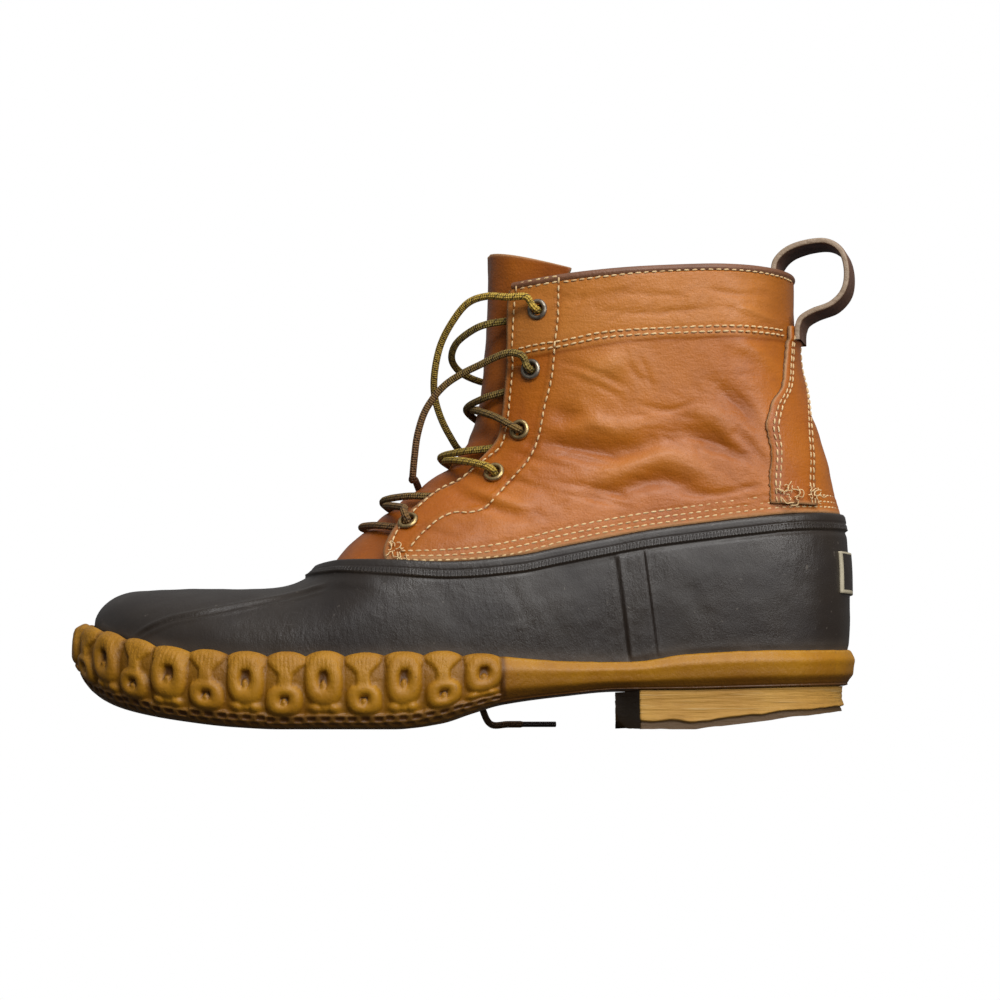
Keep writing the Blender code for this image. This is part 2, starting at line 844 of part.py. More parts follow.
def turned(name, profile, point, normal, segments, material):
    """A ring turned from a closed profile of radius and height pairs."""
    bm = bmesh.new()
    turn = Vector((0, 0, 1)).rotation_difference(normal).to_matrix()
    rings = []
    for k in range(segments):
        angle = 2 * math.pi * k / segments
        ring = []
        for radius, height in profile:
            local = Vector((radius * math.cos(angle), radius * math.sin(angle), height))
            ring.append(bm.verts.new(turn @ local + place(point)))
        rings.append(ring)
    count = len(profile)
    for k in range(segments):
        here, there = rings[k], rings[(k + 1) % segments]
        for i in range(count):
            j = (i + 1) % count
            bm.faces.new((here[i], there[i], there[j], here[j]))
    return finish_mesh(name, bm, bpy.data.meshes.new(name), material)


def eyelets(frames, nickel, brass):
    """Ten metal eyelets: a rolled flange on the leather and a barrel through it."""
    bore = 0.5 * EYELET_BORE
    edge = 0.5 * EYELET_OUTER
    profile = (
        (bore, -LEATHER_WALL),
        (bore + EYELET_WALL, -LEATHER_WALL),
        (bore + EYELET_WALL, 1.3 * GAP),
        (edge, 1.3 * GAP),
        (mix(edge, bore, 0.5), EYELET_RISE + GAP),
        (bore, 0.5 * EYELET_RISE),
    )
    for point, normal, label, number in frames:
        material = nickel if number < 3 else brass
        turned(f"eyelet_{label}_{number}", profile, point, normal, 10, material)


def tongue(material):
    """The tongue, sunk under the eyestays and full between them."""
    grid = []
    shares = [k / TONGUE_COLUMNS for k in range(TONGUE_COLUMNS + 1)]
    for i in range(TONGUE_ROWS):
        w = i / (TONGUE_ROWS - 1)
        s_front, z_front = throat_point(w * TONGUE_TOP)
        s_edge, z_edge = eyestay_edge(min(1.0, w * TONGUE_TOP))
        spread = 1.0 + TONGUE_SPREAD * smooth((w - 0.75) / 0.25)
        s_side = s_edge + TONGUE_OVERLAP * spread * LENGTH
        z_side = max(z_edge, lip(s_side)) + GAP
        z_side += max(0.0, w * TONGUE_TOP - 1.0) * COLLAR_HEIGHT * 0.25
        sides = {-1: [], 1: []}
        for t in shares[1:]:
            s = mix(s_front, s_side, t)
            z = max(mix(z_front, z_side, t), lip(s) + 0.0014)
            for side in (-1, 1):
                sides[side].append(on_last(s, z, side))
        first = Vector((s_front, centre(s_front, z_front), z_front))
        grid.append(sides[-1][::-1] + [first] + sides[1])
    normals = grid_normals(grid)

    def sink(i, j):
        t = abs(j - TONGUE_COLUMNS) / TONGUE_COLUMNS
        return -mix(TONGUE_FRONT_SINK, TONGUE_SINK, smooth(t * 1.4))

    outer = offset(grid, normals, sink)
    inner = offset(grid, normals, lambda i, j: sink(i, j) - TONGUE_WALL)
    return shell("tongue", outer, inner, False, material)


def throat_point(w):
    """A place on the front line: 0 at the lip's front, 1 at the collar's height."""
    start = top_line(LIP_FRONT * LENGTH) + 0.0008
    line = FRONT_LINE[FRONT_LINE[:, 1] > start]
    run = np.concatenate([[0.0], np.cumsum(np.hypot(*np.diff(line[:, :2], axis=0).T))])
    full = float(np.interp(COLLAR_HEIGHT, line[:, 1], run))
    at = w * full
    return float(np.interp(at, run, line[:, 0])), float(np.interp(at, run, line[:, 1]))


def sole_side(side):
    """Feather points of one side of the sole from the toe to the back, evenly spaced
    by arc in the ribbed forefoot, with the outward direction in plan at each."""
    dense = []
    front = RUBBER_RINGS[0][1] * LENGTH
    tail = back(foot("rim", LENGTH))
    steps = 300
    for k in range(steps + 1):
        s = front + (tail - front) * 0.5 * (1 - math.cos(math.pi * k / steps))
        z = foot("rim", s)
        y = centre(s, z) + (side * half_width(s, z) if 0 < k < steps else 0.0)
        dense.append(Vector((s, y, z)))
    arc = [0.0]
    for a, b in zip(dense, dense[1:]):
        arc.append(arc[-1] + (b - a).xy.length)
    xs = [p.x for p in dense]
    rib_arc = float(np.interp(RIB_END, xs, arc))
    stops = [rib_arc * k / (RIB_PAIRS * RIB_STEPS) for k in range(RIB_PAIRS * RIB_STEPS)]
    rest = 17
    stops += [rib_arc + (arc[-1] - rib_arc) * k / rest for k in range(rest + 1)]
    ys = [p.y for p in dense]
    out = []
    for at in stops:
        p = Vector((np.interp(at, arc, xs), np.interp(at, arc, ys), 0.0))
        p.z = foot("rim", p.x)
        before = at - 0.002
        after = at + 0.002
        ends = []
        for place_at in (before, after):
            flip = 1.0
            if place_at < 0:
                place_at, flip = -place_at, -1.0
            if place_at > arc[-1]:
                place_at, flip = 2 * arc[-1] - place_at, -1.0
            x = float(np.interp(place_at, arc, xs))
            y = float(np.interp(place_at, arc, ys))
            if flip < 0:
                y = 2 * centre(x, foot("rim", x)) - y
            ends.append(Vector((x, y, 0.0)))
        run = ends[1] - ends[0]
        out.append((p, Vector((run.y, -run.x, 0.0)).normalized() * -side))
    return out


def rib(index, height):
    """How far a chain rib stands out at a column index and a height share 0 to 1."""
    phase = (index % RIB_STEPS) / RIB_STEPS
    pair = index // RIB_STEPS
    bulge = math.sin(math.pi * phase) ** 0.7 if phase else 0.0
    middle = 0.66 if pair % 2 else 0.34
    link = math.exp(-(((height - middle) / 0.30) ** 2))
    return RIB_RISE * bulge * (0.55 + 0.45 * link)


def outsole(material):
    """The cup sole: ribbed forefoot side, plain rim, shank and heel seat."""
    columns = [sole_side(-1), sole_side(1)]
    ribbed = RIB_PAIRS * RIB_STEPS
    rows = (
        (-0.0080, 0.00, 0.0, 0.0),
        (-0.0018, 0.07, 0.2, 0.0),
        (0.0002, 0.36, 1.0, 0.0),
        (0.0002, 0.74, 1.0, 0.0),
        (-0.0022, 1.00, 0.6, 1.0),
    )
    mesh = bpy.data.meshes.new("outsole")
    bm = bmesh.new()

    def column_points(j, side_columns):
        p, n = side_columns[j]
        width = foot("rim_width", p.x)
        inside = p - n * 0.0
        points = []
        for shift, height, relief, scallop in rows:
            q = inside + n * (width + max(shift, -0.8 * width - 0.002))
            bottom, top = foot("bottom", q.x), foot("rim", p.x)
            if j < ribbed:
                q += n * rib(j, height) * relief
            z = mix(bottom, top, height)
            z += scallop * RIB_SCALLOP * (rib(j, 0.5) / RIB_RISE if j < ribbed else 0.0)
            points.append(Vector((q.x, q.y, z)))
        groove = p + n * SOLE_GAP
        floor = p + n * (SOLE_GAP - 0.0015)
        points.append(Vector((groove.x, groove.y, foot("rim", p.x) - 0.0008)))
        points.append(Vector((floor.x, floor.y, bed(p.x))))
        return points

    near = [column_points(j, columns[0]) for j in range(len(columns[0]))]
    far = [column_points(j, columns[1]) for j in range(len(columns[1]))]
    ring = near + far[-2:0:-1]
    verts = [[bm.verts.new(place(p)) for p in column] for column in ring]
    count = len(ring)
    for j in range(count):
        here, there = verts[j], verts[(j + 1) % count]
        for i in range(len(here) - 1):
            bm.faces.new((here[i], there[i], there[i + 1], here[i + 1]))
    half = len(near) - 1
    for level in (0, -1):
        bridge(bm, [verts[j][level] for j in range(count)], half)
    return finish_mesh("outsole", bm, mesh, material)


def bridge(bm, ring, half):
    """Fills a closed ring with strips from its outer side across to its inner side."""
    count = len(ring)
    for j in range(half):
        corners = [ring[j], ring[j + 1], ring[(count - j - 1) % count], ring[(count - j) % count]]
        unique = []
        for vert in corners:
            if vert not in unique:
                unique.append(vert)
        if len(unique) >= 3:
            bm.faces.new(unique)


def insole(material):
    """The footbed, resting on the sole inside the rubber wall."""
    inset = 0.0015 + RUBBER_WALL + GAP + 0.0010
    rings = []
    for lift in (1.5 * GAP, GAP + INSOLE_THICKNESS):
        sides = []
        for side in (-1, 1):
            points = [p - n * inset for p, n in sole_side(side)[:-1:2]]
            last_p, last_n = sole_side(side)[-1]
            points.append(last_p - last_n * inset)
            sides.append([Vector((p.x, p.y, bed(p.x) + lift)) for p in points])
        rings.append(sides[0] + sides[1][-2:0:-1])
    bm = bmesh.new()
    low, high = [[bm.verts.new(place(p)) for p in ring] for ring in rings]
    count = len(low)
    half = count // 2
    for j in range(count):
        k = (j + 1) % count
        bm.faces.new((low[j], low[k], high[k], high[j]))
    bridge(bm, low, half)
    bridge(bm, high, half)
    return finish_mesh("insole", bm, bpy.data.meshes.new("insole"), material)


def heel_bottom(s):
    """Underside of the heel: flat in front, worn off towards the back."""
    t = max(0.0, (s - HEEL_FLAT_END) / (LENGTH - HEEL_FLAT_END))
    return HEEL_WEAR * t


def heel_block(material):
    """The heel lift: straight breast, slightly hollow sides and a worn back."""
    sides = []
    for side in (-1, 1):
        start = HEEL_FRONT - (BREAST_SKEW if side > 0 else 0.0)
        picked = [(p, n) for p, n in sole_side(side) if p.x > start + 0.006]
        p, n = picked[0]
        corner = Vector((start, p.y, p.z))
        sides.append([(corner, n)] + picked)
    outline = sides[0] + sides[1][-2::-1]
    levels = ((1.0, 0.0), (0.5, -0.0012), (0.0, 0.0010))
    bm = bmesh.new()
    rings = []
    for height, flare in levels:
        ring = []
        for p, n in outline:
            width = foot("rim_width", p.x) - HEEL_INSET + flare
            q = p + n * width
            if p.x <= HEEL_FRONT:
                q = Vector((p.x, q.y, 0.0))
            z = mix(heel_bottom(q.x), foot("bottom", q.x) - GAP, height)
            ring.append(bm.verts.new(place((q.x, q.y, z))))
        rings.append(ring)
    count = len(outline)
    for upper_ring, lower_ring in zip(rings, rings[1:]):
        for j in range(count):
            k = (j + 1) % count
            bm.faces.new((upper_ring[j], upper_ring[k], lower_ring[k], lower_ring[j]))
    for ring in (rings[0], rings[-1]):
        lo, hi = 0, count - 1
        while hi - lo > 2:
            bm.faces.new((ring[lo], ring[lo + 1], ring[hi - 1], ring[hi]))
            lo += 1
            hi -= 1
        if hi - lo == 2:
            bm.faces.new((ring[lo], ring[lo + 1], ring[hi]))
    return finish_mesh("heel_block", bm, bpy.data.meshes.new("heel_block"), material)


def ring_solid(name, path, frames, profile, closed, material):
    """A solid swept along a path; each frame is a pair of cross directions."""
    bm = bmesh.new()
    rings = []
    for p, (a, b) in zip(path, frames):
        rings.append([bm.verts.new(place(p + a * u + b * v)) for u, v in profile])
    count = len(profile)
    steps = len(rings) if closed else len(rings) - 1
    for i in range(steps):
        here, there = rings[i], rings[(i + 1) % len(rings)]
        for j in range(count):
            k = (j + 1) % count
            bm.faces.new((here[j], here[k], there[k], there[j]))
    if not closed:
        bm.faces.new(rings[0])
        bm.faces.new(rings[-1][::-1])
    return finish_mesh(name, bm, bpy.data.meshes.new(name), material)


def collar_binding(material):
    """The rolled binding that sits on the collar edge."""
    grid, normals, rises = upper_grid()
    row, row_normals = grid[-1], normals[-1]
    middle = -LEATHER_INSET - 0.5 * LEATHER_WALL + 0.5 * CUFF_STEP
    half = 0.5 * (LEATHER_WALL + CUFF_STEP) + 0.0004
    path = [p + n * middle for p, n in zip(row, row_normals)]
    frames = [(n, Vector((0, 0, 1))) for n in row_normals]
    low, high = GAP, BINDING
    profile = (
        (-half, low),
        (half, low),
        (half, 0.6 * high),
        (0.55 * half, high),
        (-0.55 * half, high),
        (-half, 0.6 * high),
    )
    return ring_solid("collar_binding", path, frames, profile, False, material)


def back_arc(z, arc):
    """A point of the last at an arc length round the back from its middle, positive to
    the outer side, with its level outward direction."""
    side = -1 if arc >= 0 else 1
    points = [Vector((back(z), centre(back(z), z), z))]
    for k in range(1, 80):
        points.append(on_last(back(z) - 0.06 * (k / 79) ** 2.2, z, side))
    run = [0.0]
    for here, there in zip(points, points[1:]):
        run.append(run[-1] + (there - here).length)
    at = abs(arc)
    here = Vector([float(np.interp(at, run, [q[i] for q in points])) for i in range(3)])
    there = Vector([float(np.interp(at + 0.002, run, [q[i] for q in points])) for i in range(3)])
    before = at - 0.002
    if before >= 0:
        past = Vector([float(np.interp(before, run, [q[i] for q in points])) for i in range(3)])
    else:
        past = Vector([float(np.interp(-before, run, [q[i] for q in points])) for i in range(3)])
        past.y = 2 * points[0].y - past.y
    tangent = (there - past).normalized()
    out = Vector((tangent.y, -tangent.x, 0.0)) * side
    return here, out if out.x > -0.2 else -out


def back_level(share):
    """Height at a share of the way up the back from the rubber to the collar."""
    return mix(lip(LENGTH), collar(LENGTH), share)


def backstay(material, leather):
    """The leather strip up the back, turned a little to the outer side, lying on the
    leather shell under it."""
    graph = bpy.context.evaluated_depsgraph_get()
    tree = BVHTree.FromObject(leather, graph)
    outer, inner = [], []
    columns = 7
    for share, middle, half in BACKSTAY:
        z = back_level(share)
        row_out, row_in = [], []
        for k in range(columns + 1):
            arc = BALL_WIDTH * mix(middle + half, middle - half, k / columns)
            p, n = back_arc(z, arc)
            start = place(p + n * 0.02)
            hit, hit_normal, _, _ = tree.ray_cast(start, -n)
            base = hit + n * STRAP_GAP
            row_in.append(unplace(base))
            row_out.append(unplace(base + n * STRAP_WALL))
        outer.append(row_out)
        inner.append(row_in)
    return shell("backstay", outer, inner, False, material)


def pull_loop(material):
    """The strap that bows out above the backstay and goes down inside the collar."""
    root = BACKSTAY[-1]
    z_root = back_level(root[0])
    p, n = back_arc(z_root, root[1] * BALL_WIDTH)
    outward = Vector((n.x, n.y, 0.0)).normalized()
    start = p + outward * (CUFF_STEP + STRAP_WALL * 0.5 + GAP)
    path = [
        start + outward * a * COLLAR_HEIGHT + Vector((0, 0, b * COLLAR_HEIGHT))
        for a, b in LOOP_PATH
    ]
    path = [Vector(q) for q in catmull([tuple(q) for q in path], 3)]
    across = Vector((0, 0, 1)).cross(outward).normalized()
    frames = []
    for i in range(len(path)):
        run = path[min(i + 1, len(path) - 1)] - path[max(i - 1, 0)]
        frames.append((across, run.normalized().cross(across).normalized()))
    half = 0.5 * LOOP_WIDTH
    thick = 0.5 * STRAP_WALL
    profile = ((-half, -thick), (half, -thick), (half, thick), (-half, thick))
    return ring_solid("pull_loop", path, frames, profile, False, material)


def off_last(s, z, side, out):
    """A point at a distance outside the last on one side."""
    point = on_last(s, z, side)
    return point + last_normal(point) * out


def off_front(z, out):
    """A point at a distance in front of the front line at height z."""
    line = FRONT_LINE[FRONT_LINE[:, 1] > VAMP_HEIGHT + 0.002]
    s = float(np.interp(z, line[:, 1], line[:, 0]))
    ahead = float(np.interp(z + 0.002, line[:, 1], line[:, 0]))
    normal = Vector((-0.002, 0.0, ahead - s)).normalized()
    return Vector((s, centre(s, z), z)) + normal * out


def edge_at(z):
    """Station of the quarters' front edge at height z."""
    rows = [eyestay_edge(k / 60) for k in range(3, 61)]
    return float(np.interp(z, [row[1] for row in rows], [row[0] for row in rows]))


def across_front(z, side, out):
    """A point beside the front line, between the tongue's middle and the eyestay."""
    line = FRONT_LINE[FRONT_LINE[:, 1] > VAMP_HEIGHT + 0.002]
    s = float(np.interp(z, line[:, 1], line[:, 0]))
    return off_last(mix(s, edge_at(z), 0.36), z, side, out)


def over_leather(frame, toward, reach):
    """Lace points out of an eyelet, bent over its flange towards a place."""
    point, normal, _, _ = frame
    lead = toward - point
    lead = (lead - normal * lead.dot(normal)).normalized()
    return [
        point - normal * 0.0014,
        point + normal * 0.0018,
        point + normal * LACE_OVER * 0.92 + lead * 0.0012,
        point + normal * LACE_OVER + lead * reach,
    ]


def strand(over, under, lift):
    """Centre line of a lace from outside one eyelet across the tongue to under another
    on the other side."""
    side = -1 if over[2] == "outer" else 1
    z_over, z_under = over[0].z, under[0].z
    z_mid = 0.5 * (z_over + z_under)
    z_near = mix(z_over, z_mid, 0.45)
    z_far = mix(z_mid, z_under, 0.5)
    rim = off_last(edge_at(z_near) - 0.001, z_near, side, 0.0016)
    middle = off_front(z_mid, lift)
    near = across_front(mix(z_near, z_mid, 0.55), side, 0.5 * lift + 0.0006)
    far = across_front(mix(z_mid, z_far, 0.45), -side, min(lift, 0.0) - 0.0009)
    sunk = off_last(edge_at(z_far) + 0.0005, z_far, -side, -LACE_SUNK)
    end = under[0] + under[1] * (LEATHER_INSET - LACE_SUNK)
    beyond = end + (end - sunk).normalized() * 0.0006
    points = over_leather(over, rim, 0.0035)
    return points + [rim, near, middle, far, sunk, beyond]


def tube(name, path, radius, sides, material):
    """A round bar along a smooth curve through the points."""
    line = [Vector(p) for p in catmull([tuple(p) for p in path], 2)]
    frames = []
    guide = Vector((0.3, 0.2, 1.0)).normalized()
    for i in range(len(line)):
        run = (line[min(i + 1, len(line) - 1)] - line[max(i - 1, 0)]).normalized()
        guide = (guide - run * guide.dot(run)).normalized()
        frames.append((guide.copy(), run.cross(guide).normalized()))
    profile = [
        (radius * math.cos(2 * math.pi * k / sides), radius * math.sin(2 * math.pi * k / sides))
        for k in range(sides)
    ]
    return ring_solid(name, line, frames, profile, False, material)


def joined(name, paths, material):
    """Two crossing strands as one solid."""
    first = tube(name, paths[0], 0.5 * LACE, 6, material)
    second = tube(f"{name}_strand", paths[1], 0.5 * LACE, 6, material)
    second.hide_render = True
    second.display_type = "WIRE"
    union = first.modifiers.new("strand", "BOOLEAN")
    union.operation = "UNION"
    union.solver = "EXACT"
    union.object = second
    return first


def cord_curve(name, points, material):
    """A lace run as a round curve."""
    line = [place(p) for p in catmull([tuple(p) for p in points], 2)]
    curve = bpy.data.curves.new(name, "CURVE")
    curve.dimensions = "3D"
    spline = curve.splines.new("POLY")
    spline.points.add(len(line) - 1)
    for target, p in zip(spline.points, line):
        target.co = (*p, 1.0)
    curve.bevel_depth = 0.5 * LACE
    curve.bevel_resolution = 2
    curve.use_fill_caps = True
    curve.materials.append(material)
    obj = bpy.data.objects.new(name, curve)
    bpy.context.collection.objects.link(obj)
    return obj


def open_points(rows):
    """Free lace points from a table of stations, sideways distances and heights."""
    return [
        Vector((s * LENGTH, -out * BALL_WIDTH, z * COLLAR_HEIGHT)) for s, out, z in rows
    ]


def laces(eyelets_at, material):
    """The lace: a bottom bar, three crossings, a top bar, a loose loop and an end."""
    frames = {(frame[2], frame[3]): frame for frame in eyelets_at}
    for low, high in ((5, 4), (4, 3), (3, 2)):
        paths = [
            strand(frames["outer", low], frames["inner", high], -0.0012),
            strand(frames["inner", low], frames["outer", high], 0.0002),
        ]
        joined(f"lace_cross_{low}{high}", paths, material)
    ends = [frames[label, 5] for label in ("outer", "inner")]
    hidden = [p + n * (LEATHER_INSET - LACE_SUNK) for p, n, _, _ in ends]
    z = ends[0][0].z + 0.001
    inside = [off_last(edge_at(z), z, side, -LACE_SUNK) for side in (-1, 1)]
    beside = [across_front(z, side, -0.0022) for side in (-1, 1)]
    middle = off_front(z, -0.0012)
    bar = [hidden[0], inside[0], beside[0], middle, beside[1], inside[1], hidden[1]]
    tube("lace_bar_bottom", bar, 0.5 * LACE, 8, material)
    top = strand(frames["inner", 2], frames["outer", 1], 0.009)
    tube("lace_bar_top", top, 0.5 * LACE, 8, material)
    near, far = frames["outer", 1], frames["inner", 1]
    run = open_points(LACE_LOOP)
    start = over_leather(near, run[0], 0.0035)
    end = over_leather(far, run[-1], 0.0035)
    cord_curve("lace_loop", start + run + end[::-1], material)
    run = open_points(LACE_END_OPEN)
    start = over_leather(frames["outer", 2], run[0], 0.0035)
    side = [
        off_last(s * LENGTH, z * COLLAR_HEIGHT, 1, out * BALL_WIDTH)
        for s, z, out in LACE_END_SIDE
    ]
    floor = [
        Vector((s * LENGTH, out * BALL_WIDTH, 0.5 * LACE + GAP)) for s, out in LACE_END_FLOOR
    ]
    cord_curve("lace_end", start + run + side + floor, material)


def build():
    """Builds the boot."""
    leather = finish("tan_leather", (0.50, 0.20, 0.06), 0.45)
    dark_leather = finish("brown_leather", (0.12, 0.06, 0.035), 0.55)
    rubber = finish("brown_rubber", (0.045, 0.034, 0.028), 0.45)
    gum = finish("gum_rubber", (0.45, 0.25, 0.04), 0.5)
    heel_gum = finish("heel_rubber", (0.52, 0.34, 0.13), 0.7)
    footbed = finish("footbed", (0.25, 0.2, 0.15), 0.9)
    nickel = finish("eyelet_nickel", (0.45, 0.42, 0.36), 0.4, 1.0)
    brass = finish("eyelet_brass", (0.45, 0.30, 0.12), 0.4, 1.0)
    cord = finish("lace_cord", (0.45, 0.28, 0.07), 0.8)
    outsole(gum)
    heel_block(heel_gum)
    insole(footbed)
    rubber_bottom(rubber)
    quarters, eyelets_at = upper(leather)
    tongue(leather)
    collar_binding(dark_leather)
    backstay(leather, quarters)
    pull_loop(dark_leather)
    eyelets(eyelets_at, nickel, brass)
    laces(eyelets_at, cord)


def centre_box():
    """Shifts every piece so that the origin is the middle of the box's underside, with
    the loose runs of the lace left out of the box."""
    solid = [obj for obj in bpy.data.objects if obj.type == "MESH" and not obj.hide_render]
    points = [v.co for obj in solid for v in obj.data.vertices]
    middle = [0.5 * (min(p[i] for p in points) + max(p[i] for p in points)) for i in (0, 1)]
    shift = Vector((-middle[0], -middle[1], 0.0))
    for obj in bpy.data.objects:
        if obj.type == "MESH":
            for v in obj.data.vertices:
                v.co += shift
        elif obj.type == "CURVE":
            for point in obj.data.splines[0].points:
                point.co = (*(point.co.xyz + shift), 1.0)


for old in list(bpy.data.objects):
    bpy.data.objects.remove(old)
build()
centre_box()
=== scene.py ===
"""Looks of the duck boot: dense surfaces on the boot's last, stitching, laces, finishes.

Every surface is drawn on one last, described by the tables below. Places on the boot are
given as s, the distance from the toe tip towards the heel, and z, the height above the
floor, both in millimetres where a table holds them and in metres inside the classes.
"""
from __future__ import annotations

import json
import logging
import math
from dataclasses import dataclass
from enum import Enum
from typing import Callable, Iterable, Sequence, Union

import bpy
import numpy as np
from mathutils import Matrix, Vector

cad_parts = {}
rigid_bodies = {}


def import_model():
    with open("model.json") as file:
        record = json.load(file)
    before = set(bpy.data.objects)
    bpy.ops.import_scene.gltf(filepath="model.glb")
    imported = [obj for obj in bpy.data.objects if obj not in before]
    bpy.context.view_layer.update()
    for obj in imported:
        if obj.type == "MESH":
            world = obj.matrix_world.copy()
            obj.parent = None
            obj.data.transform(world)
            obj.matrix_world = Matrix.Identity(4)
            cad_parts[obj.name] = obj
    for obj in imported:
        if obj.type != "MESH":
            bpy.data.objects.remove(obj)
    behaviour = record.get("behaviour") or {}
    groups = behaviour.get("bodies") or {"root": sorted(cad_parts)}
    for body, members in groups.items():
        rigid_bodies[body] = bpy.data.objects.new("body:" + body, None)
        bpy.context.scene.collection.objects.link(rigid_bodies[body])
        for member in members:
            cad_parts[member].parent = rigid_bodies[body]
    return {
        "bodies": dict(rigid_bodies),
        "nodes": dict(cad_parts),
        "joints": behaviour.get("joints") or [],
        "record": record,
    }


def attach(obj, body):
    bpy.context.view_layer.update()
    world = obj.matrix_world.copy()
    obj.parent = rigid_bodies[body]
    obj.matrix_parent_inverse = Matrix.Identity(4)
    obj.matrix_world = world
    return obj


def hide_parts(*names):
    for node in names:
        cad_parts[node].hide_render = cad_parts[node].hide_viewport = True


LOG = logging.getLogger("duck_boot")
Array = np.ndarray
MM = 0.001

# Sizes shared with the CAD construction, in metres
LENGTH = 0.313
BALL_WIDTH = 0.101
VAMP_HEIGHT = 0.0556
COLLAR_HEIGHT = 0.181
LIP_HEIGHT = 0.0855
RIM_HEIGHT = 0.0276
HEEL_HEIGHT = 0.0154
SOLE_THICKNESS = 0.0097
RIM_WIDTH = 0.0068
BAND_HEIGHT = 0.0068
RUBBER_WALL = 0.0024
LEATHER_WALL = 0.0022
LEATHER_INSET = 0.0006
CUFF_STEP = 0.0009
BINDING = 0.0030
GAP = 0.0003
LACE = 0.0030
SHIFT = np.array([-0.5 * LENGTH - 0.000497, -0.000607, 0.0])

FOOT = (
    # along, centre, half, bottom, thick, rim, rim width
    (0.000, 0.089, 0.450, 1.360, 0.85, 1.485, 1.00),
    (0.035, 0.081, 0.455, 0.860, 1.10, 1.430, 1.00),
    (0.070, 0.071, 0.460, 0.560, 1.20, 1.304, 1.00),
    (0.110, 0.059, 0.468, 0.360, 1.15, 1.195, 1.00),
    (0.160, 0.045, 0.480, 0.195, 1.08, 1.080, 1.00),
    (0.220, 0.028, 0.493, 0.058, 1.02, 1.022, 1.00),
    (0.280, 0.012, 0.500, 0.000, 1.00, 1.000, 1.00),
    (0.350, -0.008, 0.498, 0.000, 1.00, 1.000, 1.00),
    (0.420, -0.024, 0.485, 0.000, 1.00, 1.014, 1.00),
    (0.470, -0.034, 0.469, 0.130, 0.96, 1.014, 1.00),
    (0.510, -0.040, 0.453, 0.390, 0.85, 1.007, 0.95),
    (0.550, -0.043, 0.436, 0.630, 0.75, 0.990, 0.85),
    (0.630, -0.042, 0.401, 0.857, 0.65, 0.935, 0.70),
    (0.700, -0.032, 0.379, 0.987, 0.60, 0.928, 0.60),
    (0.780, -0.020, 0.372, 1.000, 0.64, 1.036, 0.55),
    (0.860, -0.010, 0.366, 1.040, 0.64, 1.087, 0.50),
    (0.930, -0.003, 0.356, 1.080, 0.64, 1.100, 0.45),
    (1.000, 0.000, 0.347, 1.130, 0.64, 1.130, 0.30),
)
WALL = (
    # along, half widths at the lip, the ankle and the collar
    (0.000, 0.450, 0.400, 0.380),
    (0.220, 0.485, 0.396, 0.376),
    (0.350, 0.470, 0.396, 0.376),
    (0.420, 0.455, 0.386, 0.376),
    (0.500, 0.434, 0.376, 0.386),
    (0.550, 0.421, 0.376, 0.396),
    (0.630, 0.404, 0.381, 0.406),
    (0.700, 0.391, 0.381, 0.411),
    (0.780, 0.381, 0.376, 0.406),
    (0.860, 0.371, 0.366, 0.391),
    (0.930, 0.356, 0.351, 0.371),
    (1.000, 0.347, 0.337, 0.356),
)
FRONT = (
    # along, rise from vamp to collar, roundness
    (-0.200, 0.000, 0.270),
    (0.080, 0.000, 0.270),
    (0.160, 0.002, 0.277),
    (0.224, 0.001, 0.282),
    (0.268, 0.008, 0.287),
    (0.297, 0.032, 0.305),
    (0.316, 0.069, 0.325),
    (0.339, 0.143, 0.355),
    (0.371, 0.218, 0.385),
    (0.409, 0.297, 0.415),
    (0.444, 0.366, 0.445),
    (0.473, 0.418, 0.475),
    (0.494, 0.486, 0.505),
    (0.507, 0.561, 0.535),
    (0.515, 0.689, 0.565),
    (0.519, 0.833, 0.590),
    (0.521, 0.992, 0.595),
    (0.521, 1.200, 0.595),
)
BACK = (
    # height, along
    (0.000, 0.981),
    (0.110, 0.989),
    (0.170, 0.9936),
    (0.250, 0.9965),
    (0.330, 0.9965),
    (0.420, 0.9936),
    (0.465, 0.9885),
    (0.497, 0.9825),
    (0.530, 0.9773),
    (0.586, 0.9720),
    (0.630, 0.9650),
    (0.670, 0.9580),
    (0.700, 0.9510),
    (0.757, 0.9406),
    (0.807, 0.9335),
    (0.867, 0.9313),
    (0.930, 0.9288),
    (0.983, 0.9290),
    (1.100, 0.9300),
)
LIP = (
    (0.000, 0.700),
    (0.280, 0.715),
    (0.300, 0.735),
    (0.320, 0.747),
    (0.350, 0.762),
    (0.410, 0.760),
    (0.480, 0.751),
    (0.570, 0.779),
    (0.620, 0.816),
    (0.675, 0.857),
    (0.735, 0.899),
    (0.800, 0.932),
    (0.860, 0.959),
    (0.930, 0.987),
    (1.000, 1.000),
)
COLLAR = (
    (0.400, 0.960),
    (0.560, 0.975),
    (0.640, 0.987),
    (0.740, 1.000),
    (0.830, 1.006),
    (0.930, 1.008),
    (1.000, 1.010),
)
EYESTAY = (
    (0.406, 0.360),
    (0.403, 0.383),
    (0.409, 0.415),
    (0.421, 0.449),
    (0.438, 0.478),
    (0.460, 0.509),
    (0.480, 0.527),
    (0.499, 0.545),
    (0.513, 0.573),
    (0.528, 0.598),
    (0.543, 0.630),
    (0.548, 0.667),
    (0.551, 0.713),
    (0.5545, 0.782),
    (0.557, 0.839),
    (0.557, 0.885),
    (0.5585, 0.940),
    (0.564, 0.985),
)
RUBBER_FRONTS = (
    (0.00, 0.0230),
    (0.17, 0.0262),
    (0.36, 0.0500),
    (0.56, 0.1130),
    (0.78, 0.2160),
    (1.00, 0.2980),
    (2.00, 0.3163),
)
EYELETS = (
    (0.5958, 0.909),
    (0.5866, 0.779),
    (0.5725, 0.647),
    (0.5406, 0.554),
    (0.4336, 0.4475),
)
